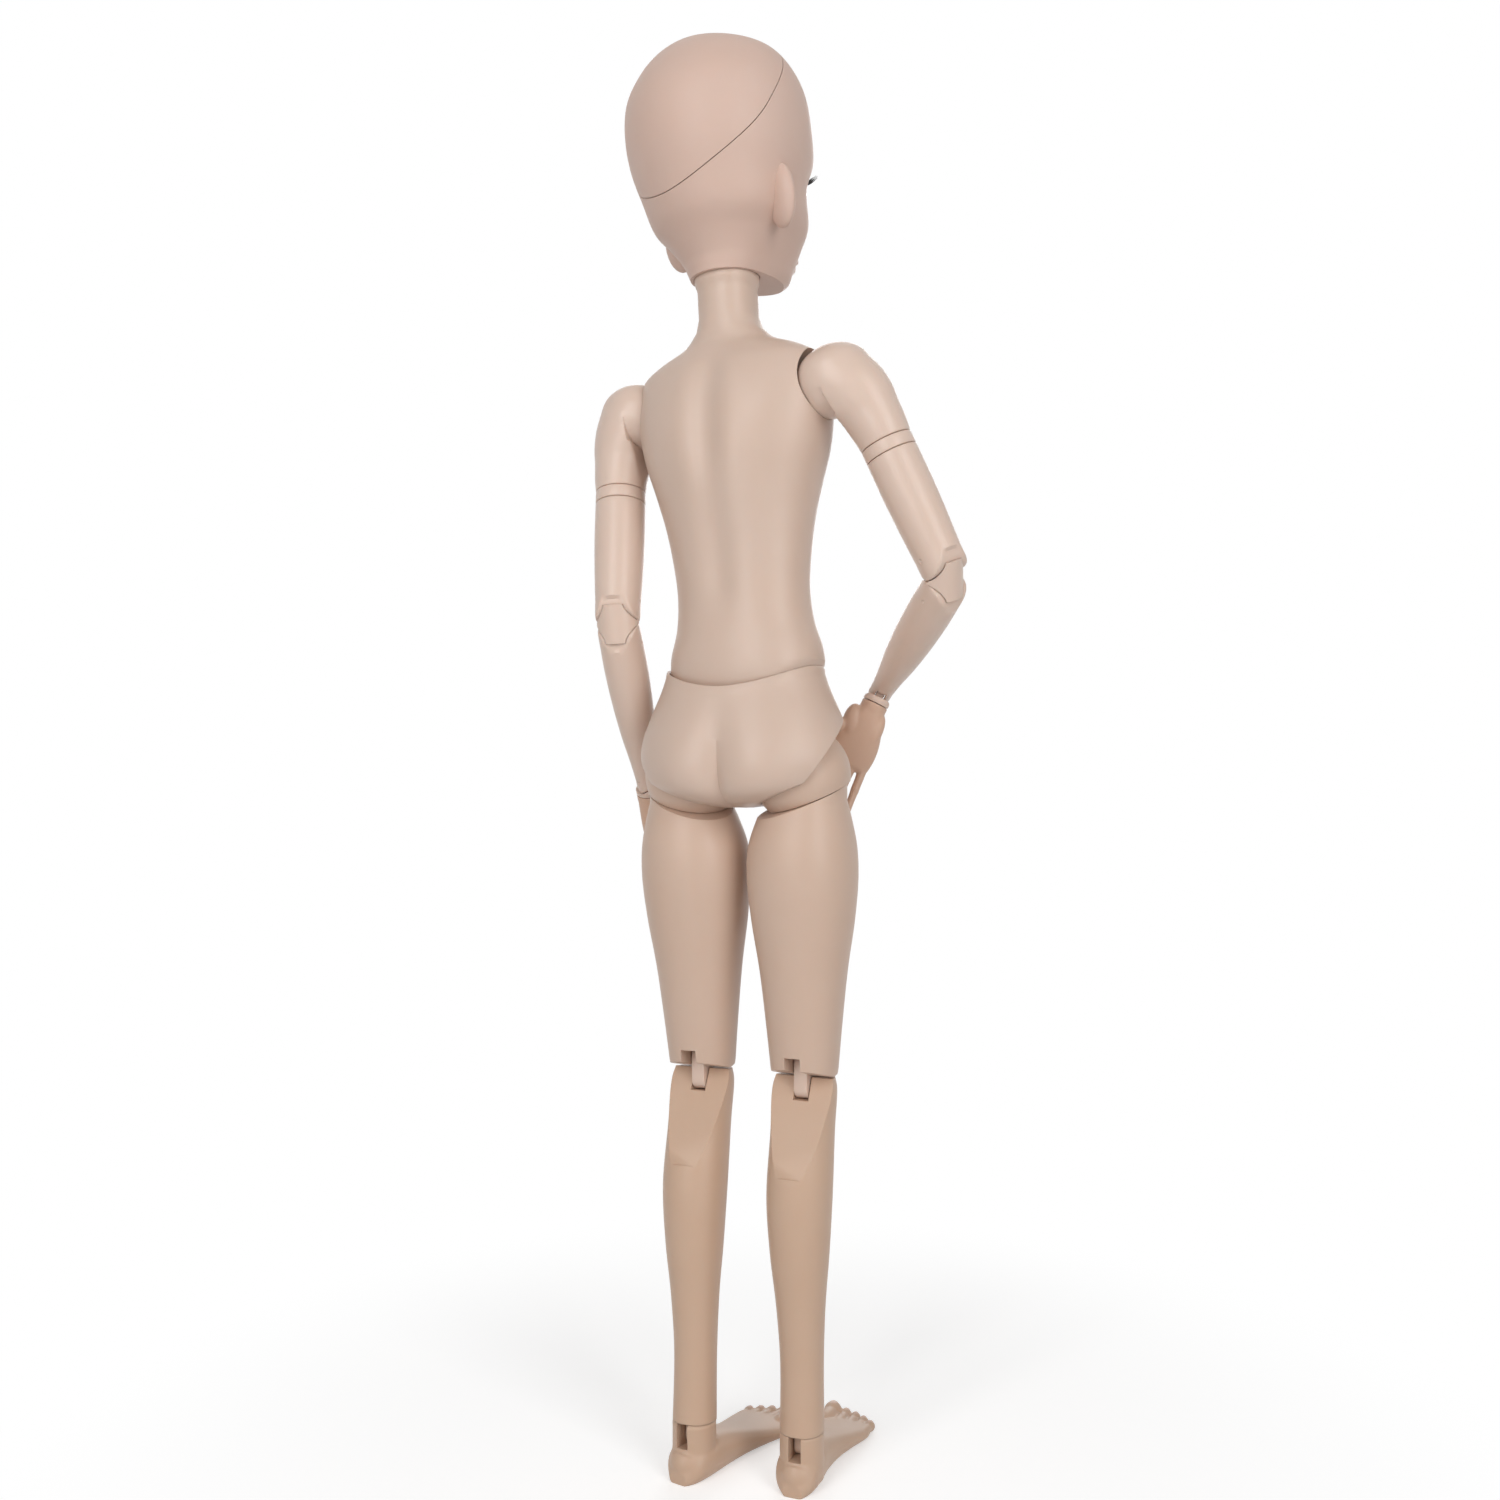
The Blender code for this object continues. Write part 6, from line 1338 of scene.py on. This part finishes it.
def build_wrist(side, pin_length):
    """A small saddle that bends on the forearm's end, with a strap and its trunnions."""
    rows = [ring(-WRIST_LEDGE_DROP, WRIST_RADIUS), ring(-WRIST_LINK_DROP, WRIST_RADIUS)]
    saddle = loft(soft_ends(rows, amount=WRIST_EDGE), 64)
    strap_span = WRIST_LINK_DROP - WRIST_STRAP_RADIUS - SEAM
    saddle = worked(saddle, ("cut", rod(WRIST_END_RADIUS + GAP, 4 * WRIST_RADIUS, 'X', segments=80)),
                    ("join", stadium(WRIST_STRAP_RADIUS, strap_span, WRIST_STRAP_WIDTH)),
                    ("join", rod(PIN_RADIUS, pin_length, 'X', segments=20)))
    finish_skin(side + "_wrist_link", saddle, ARM_SKIN)


def digit(root, heading, length, radius, curl_axis, curl, bones):
    """A finger grown from its root: each bone turns a little further, with soft swellings at the joints."""
    rings = 9
    bm = bmesh.new()
    bmesh.ops.create_circle(bm, cap_ends=True, segments=20, radius=radius)
    side_axis = curl_axis.normalized()
    ahead = heading.normalized()
    start = Matrix((side_axis, side_axis.cross(ahead).normalized(), ahead)).transposed()
    bmesh.ops.rotate(bm, verts=bm.verts, matrix=start)
    bmesh.ops.translate(bm, verts=bm.verts, vec=root)
    tip = bm.faces[:][0]
    bend = Matrix.Rotation(radians(curl / len(bones) / rings), 3, side_axis)
    walked = 0.0
    size = 1.0
    for bone, bone_share in enumerate(bones):
        for step in range(1, rings + 1):
            stride = length * bone_share / rings
            walked += stride
            ahead.rotate(bend)
            tip = bmesh.ops.extrude_discrete_faces(bm, faces=[tip])["faces"][0]
            bmesh.ops.translate(bm, verts=tip.verts, vec=ahead * stride)
            bmesh.ops.rotate(bm, verts=tip.verts, cent=tip.calc_center_median(), matrix=bend)
            share = walked / length
            knuckle = 0.07 * hump(step / rings - 1.0, 0.28) if bone < len(bones) - 1 else 0.0
            wanted = (1.0 - 0.30 * share) * (1 + knuckle)
            if share > 0.90:
                wanted *= sqrt(max(1 - ((share - 0.90) / 0.102) ** 2, 0.0))
            centre = tip.calc_center_median()
            for vert in tip.verts:
                vert.co = centre + (vert.co - centre) * (wanted / size)
            size = wanted
    return bm, tip.calc_center_median(), ahead


def build_hand(side, s):
    """Palm, four fingers and a thumb blended into one skin. The thumb points forward, the palm to the body."""
    rows = [(-HAND_BASE - PALM_LENGTH * along, PALM_THICKNESS * thick, PALM_HALF_WIDTH * wide,
             PALM_HALF_WIDTH * wide) for along, wide, thick in PALM_SHARES]
    palm = loft(smooth_rows(rows, 4), 48, PALM_POWER)
    ball_of_thumb = egg((PALM_THICKNESS * 0.46, PALM_HALF_WIDTH * 0.42, PALM_LENGTH * 0.32),
                        (-s * PALM_THICKNESS * 0.22, -PALM_HALF_WIDTH * 0.52, -HAND_BASE - PALM_LENGTH * 0.34),
                        turn('X', 14.0))
    heel = egg((PALM_THICKNESS * 0.42, PALM_HALF_WIDTH * 0.36, PALM_LENGTH * 0.36),
               (-s * PALM_THICKNESS * 0.20, PALM_HALF_WIDTH * 0.46, -HAND_BASE - PALM_LENGTH * 0.36))
    wrist = loft(smooth_rows([ring(SEAM, WRIST_RADIUS), ring(-HAND_BASE, WRIST_RADIUS),
                              (-2 * HAND_BASE, PALM_THICKNESS * 0.62, WRIST_RADIUS, WRIST_RADIUS),
                              (-3 * HAND_BASE, PALM_THICKNESS * 0.50, WRIST_RADIUS, WRIST_RADIUS)], 3), 48)
    shapes = [palm, ball_of_thumb, heel, wrist]
    nails = []
    for across, reach, thickness in FINGER_SHARES:
        root = Vector((0.0, PALM_HALF_WIDTH * across, -HAND_BASE - PALM_LENGTH * 0.90))
        heading = Vector((-s * 0.04, 0.10 * across, -1.0))
        radius = FINGER_RADIUS * thickness
        length = (HAND_LENGTH - PALM_LENGTH) * reach + PALM_LENGTH * 0.10 - HAND_BASE / 2
        finger, tip, ahead = digit(root, heading, length, radius, Vector((0.0, 1.0, 0.0)), s * FINGER_CURL,
                                   FINGER_BONE_SHARES)
        shapes.append(finger)
        nails.append(nail(tip, ahead, radius * 0.70, Vector((s, 0.0, 0.0))))
    root = Vector((-s * PALM_THICKNESS * 0.10, -PALM_HALF_WIDTH * 0.52, -HAND_BASE - PALM_LENGTH * 0.26))
    heading = Vector((-s * 0.30, -0.62, -0.82))
    thumb, tip, ahead = digit(root, heading, THUMB_LENGTH + HAND_BASE, THUMB_RADIUS, Vector((1.0, 0.0, 0.0)),
                              THUMB_CURL, THUMB_BONE_SHARES)
    shapes.append(thumb)
    nails.append(nail(tip, ahead, THUMB_RADIUS * 0.72, Vector((s * 0.8, -0.5, 0.0))))
    flat = box((-HAND_LENGTH, -HAND_LENGTH, -SEAM), (HAND_LENGTH, HAND_LENGTH, HAND_LENGTH - SEAM))
    hand = worked(blended(together(*shapes), HAND_GRAIN, 5), ("cut", flat))
    place = side + "_hand"
    # The hand's material carries painted shade: darker and warmer than the arm.
    finish_skin(place, hand, SHADED_HAND_SKIN)
    finish_piece(side + "_finger_nails", together(*nails), place, place, [], NAIL_SKIN, 60.0)


def nail(tip, ahead, width, outward):
    """A thin curved plate lying on the back of a finger's tip."""
    outward = (outward - ahead * outward.dot(ahead)).normalized()
    across = ahead.cross(outward).normalized()
    matrix = Matrix((across, ahead, outward)).transposed().to_4x4()
    matrix.translation = tip - ahead * width * 1.25 + outward * width * 0.34
    size = Matrix.Diagonal((width * 0.74, width * 1.12, width * 0.66, 1.0))
    return moved(ball(1.0, segments=24), matrix @ size)


# Legs


def build_leg(side, s):
    tilt = turn('X', -THIGH_SEAM_BACK_TILT) @ turn('Y', s * -THIGH_SEAM_SIDE_TILT)
    seam = slide(0.0, 0.0, -THIGH_SEAM_DROP) @ tilt
    build_hip(side, s, seam)
    build_thigh(side, s, seam)
    build_knee_link(side)
    build_calf(side)
    build_foot(side, s)


def build_hip(side, s, seam):
    """The ball at the top of the leg, cut off on the thigh's slanted seam."""
    reach = 2 * HIP_BALL_RADIUS
    hip = worked(ball(HIP_BALL_RADIUS, segments=96),
                 ("cut", box((-reach, -reach, -reach), (reach, reach, SEAM / 2), seam)),
                 ("cut", ball(HIP_CAVITY_RADIUS)),
                 ("cut", sector(reach, PEG_RADIUS + GAP, *LEG_PEG_SWEEP, s)),
                 ("cut", pin_hole(reach * PIN_REACH_SHARE + SEAM, 'Y')))
    finish_skin(side + "_hip_ball", hip, LEG_SKIN)


def build_thigh(side, s, seam):
    """The thigh from its slanted seam to the knee, with a slot and a slanted relief for the bent knee."""
    bottom = THIGH_LENGTH + (KNEE_LINK_LENGTH - KNEE_SPLIT) / 2
    reach = 2 * HIP_BALL_RADIUS
    rows = []
    for row in THIGH_SHARES:
        lateral = s * THIGH_RADIUS * (1.0 - row[1]) * THIGH_LATERAL_SHARE
        rows.append((-bottom * row[0], THIGH_RADIUS * row[1], THIGH_RADIUS * row[2], THIGH_RADIUS * row[3],
                     lateral if row[0] < THIGH_LATERAL_END_SHARE else 0.0, 0.0))
    rows = [(0.0,) + rows[0][1:]] + soft_ends(smooth_rows(rows, 6), start=False, amount=THIGH_EDGE)
    relief_place = slide(0.0, THIGH_RELIEF_START, -bottom) @ turn('X', THIGH_RELIEF_TILT)
    slanted = box((-2 * THIGH_RADIUS, 0.0, -4 * THIGH_RADIUS), (2 * THIGH_RADIUS, 2 * THIGH_RADIUS, 0.0),
                  relief_place)
    slot = box((-KNEE_LINK_WIDTH / 2 - GAP, -KNEE_LINK_RADIUS - GAP, -THIGH_LENGTH - 4 * KNEE_LINK_RADIUS),
               (KNEE_LINK_WIDTH / 2 + GAP, 2 * THIGH_RADIUS, -THIGH_LENGTH + KNEE_LINK_RADIUS + GAP))
    pocket = pin_hole(2 * CALF_RADIUS * PIN_REACH_SHARE + 2 * SEAM, 'X', (0.0, 0.0, -THIGH_LENGTH))
    thigh = worked(loft(rows, 96, LEG_POWER),
                   ("cut", box((-reach, -reach, -SEAM / 2), (reach, reach, reach), seam)), ("cut", slot),
                   ("cut", slanted), ("cut", pocket))
    place = side + "_thigh"
    finish_piece(place + "_skin", thigh, side + "_hip_ball", place, [place], LEG_SKIN)


def build_knee_link(side):
    """The narrow tab that carries the knee's two pins."""
    link = worked(stadium(KNEE_LINK_RADIUS, KNEE_LINK_LENGTH, KNEE_LINK_WIDTH, KNEE_LINK_EDGE),
                  ("cut", pin_hole(2 * KNEE_LINK_WIDTH)),
                  ("cut", pin_hole(2 * KNEE_LINK_WIDTH, 'X', (0.0, 0.0, -KNEE_LINK_LENGTH))))
    finish_skin(side + "_knee_link", link, ARM_SKIN)


def build_calf(side):
    """The calf, cut away behind the knee and hollowed over the ankle's dome."""
    top = (KNEE_LINK_LENGTH - KNEE_SPLIT) / 2
    bottom = -(SHIN_LENGTH - ANKLE_SEAM_RISE)
    rows = []
    for row in CALF_SHARES:
        z = top + (bottom - top) * row[0] / CALF_SHARES[-1][0]
        rows.append((z,) + tuple(CALF_RADIUS * share for share in row[1:]))
    rows.append((bottom - OVERRUN / 4,) + rows[-1][1:])
    calf = loft(smooth_rows(rows, 7), 96, LEG_POWER)
    relief_angle = degrees(atan2(KNEE_RELIEF_LENGTH, KNEE_RELIEF_DEPTH))
    relief_start = CALF_RADIUS * CALF_SHARES[0][3] - KNEE_RELIEF_DEPTH
    slanted = box((-2 * CALF_RADIUS, 0.0, 0.0), (2 * CALF_RADIUS, 3 * CALF_RADIUS, 3 * CALF_RADIUS),
                  slide(0.0, relief_start, top) @ turn('X', -relief_angle))
    slot = box((-KNEE_LINK_WIDTH / 2 - GAP, -KNEE_LINK_RADIUS - GAP, -KNEE_LINK_RADIUS - GAP),
               (KNEE_LINK_WIDTH / 2 + GAP, 2 * CALF_RADIUS, 4 * KNEE_LINK_RADIUS))
    pocket = pin_hole(2 * CALF_RADIUS * PIN_REACH_SHARE + 2 * SEAM)
    core_length = SHIN_LENGTH - 3 * KNEE_LINK_RADIUS
    calf = worked(calf, ("cut", slot), ("cut", slanted), ("cut", pocket),
                  ("cut", ball(ANKLE_DOME_RADIUS + GAP, (0.0, 0.0, -SHIN_LENGTH))),
                  ("cut", rod(CORE_RADIUS, core_length, centre=(0.0, 0.0, -SHIN_LENGTH + core_length / 2))))
    # The calf's material carries painted shade: darker and warmer than the thigh.
    finish_skin(side + "_calf", calf, SHADED_SHIN_SKIN)


def ankle_reach(z):
    """The ankle's radius at a height: a column, then the dome which the calf turns on."""
    if z < 0:
        return ANKLE_RADIUS
    return min(ANKLE_RADIUS, sqrt(max(ANKLE_DOME_RADIUS ** 2 - z * z, 0.0)))


def build_foot(side, s):
    """Foot, five toes, heel and ankle blended into one skin, cut flat under the sole."""
    rows = []
    for along, width, top, lift in FOOT_SHARES:
        low = FOOT_HEIGHT * lift - SOLE_SINK
        high = FOOT_HEIGHT * top
        half_height = (high - low) / 2
        inward = -s * FOOT_INWARD * sin(pi * along)
        rows.append((FOOT_LENGTH * along - FOOT_HEEL, FOOT_HALF_WIDTH * width, half_height, half_height, inward,
                     (high + low) / 2 - FOOT_HEIGHT))
    base = moved(loft(smooth_rows(rows, 6), 64, FOOT_POWER), turn('X', 90.0))
    heel = egg((ANKLE_RADIUS * 0.98, ANKLE_RADIUS * 1.22, FOOT_HEIGHT * 0.56),
               (0.0, FOOT_HEEL * 0.08, -FOOT_HEIGHT * 0.56), segments=48)
    heights = [-FOOT_HEIGHT * 0.8] + [ANKLE_DOME_RADIUS * share for share in ANKLE_COLUMN_SHARES]
    column = loft([ring(z, ankle_reach(z)) for z in heights], 64)
    shapes = [base, heel, column]
    nails = []
    for across, tip, half in TOE_SHARES:
        width = FOOT_HALF_WIDTH * half
        root_along = FOOT_LENGTH * (tip - 0.215) - FOOT_HEEL
        tip_along = FOOT_LENGTH * tip - FOOT_HEEL - width * 0.9
        x = s * FOOT_HALF_WIDTH * across
        root = Vector((x * 0.97, -root_along, -FOOT_HEIGHT + FOOT_HEIGHT * 0.20))
        end = Vector((x * 1.02, -tip_along, -FOOT_HEIGHT + width * 0.98))
        middle = (root + end) / 2
        length = (end - root).length / 2
        heading = (end - root).to_track_quat('Y', 'Z').to_matrix().to_4x4()
        shapes.append(egg((width * 0.98, length * 1.25, width * 0.90), middle, heading))
        shapes.append(egg((width * 1.04, width * 1.20, width), end, heading))
        nails.append(toe_nail(end, width))
    foot = blended(together(*shapes), FOOT_GRAIN, 6)
    for vert in foot.verts:
        settled = rise(vert.co.z, *ANKLE_BLEND)
        away = sqrt(vert.co.x ** 2 + vert.co.y ** 2)
        if settled and away > CORE_RADIUS * 1.5 and vert.co.z < ANKLE_DOME_RADIUS * 0.97:
            wanted = ankle_reach(vert.co.z)
            if away < wanted * 1.12:
                share = 1 + (wanted / away - 1) * settled
                vert.co.x *= share
                vert.co.y *= share
        vert.co.z = max(vert.co.z, -FOOT_HEIGHT)
    peg = PLACES[side + "_foot"].inverted() @ PLACES[side + "_ankle_peg"]
    slot = box((-ANKLE_TAB_WIDTH / 2 - GAP, -ANKLE_DOME_RADIUS * SLOT_FRONT_SHARE, -ANKLE_TAB_RADIUS - GAP),
               (ANKLE_TAB_WIDTH / 2 + GAP, 2 * FOOT_HEEL, 2 * ANKLE_DOME_RADIUS), peg)
    pocket = moved(pin_hole(2 * ANKLE_RADIUS * PIN_REACH_SHARE + 2 * SEAM), peg)
    place = side + "_foot"
    # The foot's material carries painted shade: darker and warmer than the thigh.
    finish_skin(place, worked(foot, ("cut", slot), ("cut", pocket)), SHADED_SHIN_SKIN)
    finish_piece(side + "_toe_nails", together(*nails), place, place, [], NAIL_SKIN, 60.0)


def toe_nail(end, width):
    """A thin curved plate lying on a toe, a little back from its tip."""
    matrix = slide(end.x, end.y - width * 0.25, end.z + width * 0.42) @ turn('X', 14.0)
    size = Matrix.Diagonal((width * 0.66, width * 0.80, width * 0.62, 1.0))
    return moved(ball(1.0, segments=24), matrix @ size)


# Carried-over nodes


def dress_nodes():
    """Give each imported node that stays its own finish."""
    for name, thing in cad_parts.items():
        if thing.hide_render:
            continue
        finish = INNER
        if name.endswith("_pin") or name.endswith("magnet"):
            finish = STEEL
        if name.endswith("ankle_peg"):
            finish = LEG_SKIN
        thing.data.materials.clear()
        thing.data.materials.append(finish)


# Floor, light and camera


CAMERA_PLACE = (-243.2 * MM, 578.0 * MM, 298.0 * MM)
CAMERA_HEADING = 204.0
LENS = 36.0
SENSOR = 36.0
FLOOR_SIZE = 12000.0 * MM
FLOOR_FADE = (0.12, 0.34)
WHITE = (1.0, 1.0, 1.0, 1.0)
LAMP_TARGET = (0.0, 0.0, 0.32)
# Each lamp: name, place, width and height, watts.
LAMPS = [
    ("left_softbox", (0.15, 1.45, 0.85), (0.7, 1.2), 10.0),
    ("right_softbox", (-1.30, 0.85, 0.80), (0.7, 1.2), 10.0),
    ("front_softbox", (0.5, -1.5, 0.9), (1.0, 1.0), 7.0),
]


def seen_directly(tree):
    """1 for the rays of the camera, of reflections and of clear pieces, which are to see plain white."""
    path = node(tree, 'ShaderNodeLightPath', {}, {}, "Is Camera Ray")
    glossy = Wire(tree, path.socket.node.outputs["Is Glossy Ray"])
    clear = Wire(tree, path.socket.node.outputs["Is Transmission Ray"])
    seen = node(tree, 'ShaderNodeMath', {"operation": 'MAXIMUM'}, {0: path, 1: glossy})
    return node(tree, 'ShaderNodeMath', {"operation": 'MAXIMUM'}, {0: seen, 1: clear})


def build_floor():
    bm = bmesh.new()
    bmesh.ops.create_grid(bm, x_segments=1, y_segments=1, size=FLOOR_SIZE / 2)
    mesh = bpy.data.meshes.new("floor")
    bm.to_mesh(mesh)
    bm.free()
    floor = bpy.data.objects.new("floor", mesh)
    bpy.context.scene.collection.objects.link(floor)
    material = bpy.data.materials.new("pale_floor")
    material.use_nodes = True
    tree = material.node_tree
    tree.nodes.clear()
    matt = node(tree, 'ShaderNodeBsdfDiffuse', {}, {"Color": (0.80, 0.80, 0.80, 1.0)})
    glow = node(tree, 'ShaderNodeEmission', {}, {"Color": WHITE, "Strength": 0.42})
    lit = node(tree, 'ShaderNodeAddShader', {}, {0: matt, 1: glow})
    white = node(tree, 'ShaderNodeEmission', {}, {"Color": WHITE, "Strength": 1.0})
    where = node(tree, 'ShaderNodeTexCoord', {}, {}, "Object")
    away = node(tree, 'ShaderNodeVectorMath', {"operation": 'LENGTH'}, {0: where}, "Value")
    near_edge, far_edge = FLOOR_FADE
    far = node(tree, 'ShaderNodeMapRange', {"interpolation_type": 'SMOOTHSTEP'},
               {"Value": away, "From Min": near_edge, "From Max": far_edge})
    faded = node(tree, 'ShaderNodeMixShader', {}, {0: far, 1: lit, 2: white})
    surface = node(tree, 'ShaderNodeMixShader', {}, {0: seen_directly(tree), 1: matt, 2: faded})
    output = tree.nodes.new('ShaderNodeOutputMaterial')
    tree.links.new(surface.socket, output.inputs["Surface"])
    mesh.materials.append(material)


def area_light(name, place, size, power):
    data = bpy.data.lights.new(name, 'AREA')
    data.shape = 'RECTANGLE'
    data.size, data.size_y = size
    data.energy = power
    lamp = bpy.data.objects.new(name, data)
    lamp.location = place
    lamp.rotation_euler = (Vector(LAMP_TARGET) - Vector(place)).to_track_quat('-Z', 'Y').to_euler()
    bpy.context.scene.collection.objects.link(lamp)


def build_light():
    world = bpy.data.worlds.new("pale_room")
    bpy.context.scene.world = world
    world.use_nodes = True
    tree = world.node_tree
    tree.nodes.clear()
    room = node(tree, 'ShaderNodeBackground', {}, {"Color": WHITE, "Strength": 0.30})
    white = node(tree, 'ShaderNodeBackground', {}, {"Color": WHITE, "Strength": 1.0})
    surface = node(tree, 'ShaderNodeMixShader', {}, {0: seen_directly(tree), 1: room, 2: white})
    output = tree.nodes.new('ShaderNodeOutputWorld')
    tree.links.new(surface.socket, output.inputs["Surface"])
    for lamp in LAMPS:
        area_light(*lamp)


def build_camera():
    data = bpy.data.cameras.new("camera")
    data.lens = LENS
    data.sensor_width = SENSOR
    data.clip_start = 10.0 * MM
    camera = bpy.data.objects.new("camera", data)
    camera.location = CAMERA_PLACE
    camera.rotation_euler = (radians(90.0), 0.0, radians(CAMERA_HEADING))
    bpy.context.scene.collection.objects.link(camera)
    bpy.context.scene.camera = camera


build_head()
build_torso()
build_pelvis()
for doll_side, doll_s in SIDES:
    build_arm(doll_side, doll_s)
    build_leg(doll_side, doll_s)
dress_nodes()
build_floor()
build_light()
build_camera()
bpy.context.scene.view_settings.view_transform = 'Standard'

bpy.context.view_layer.update()
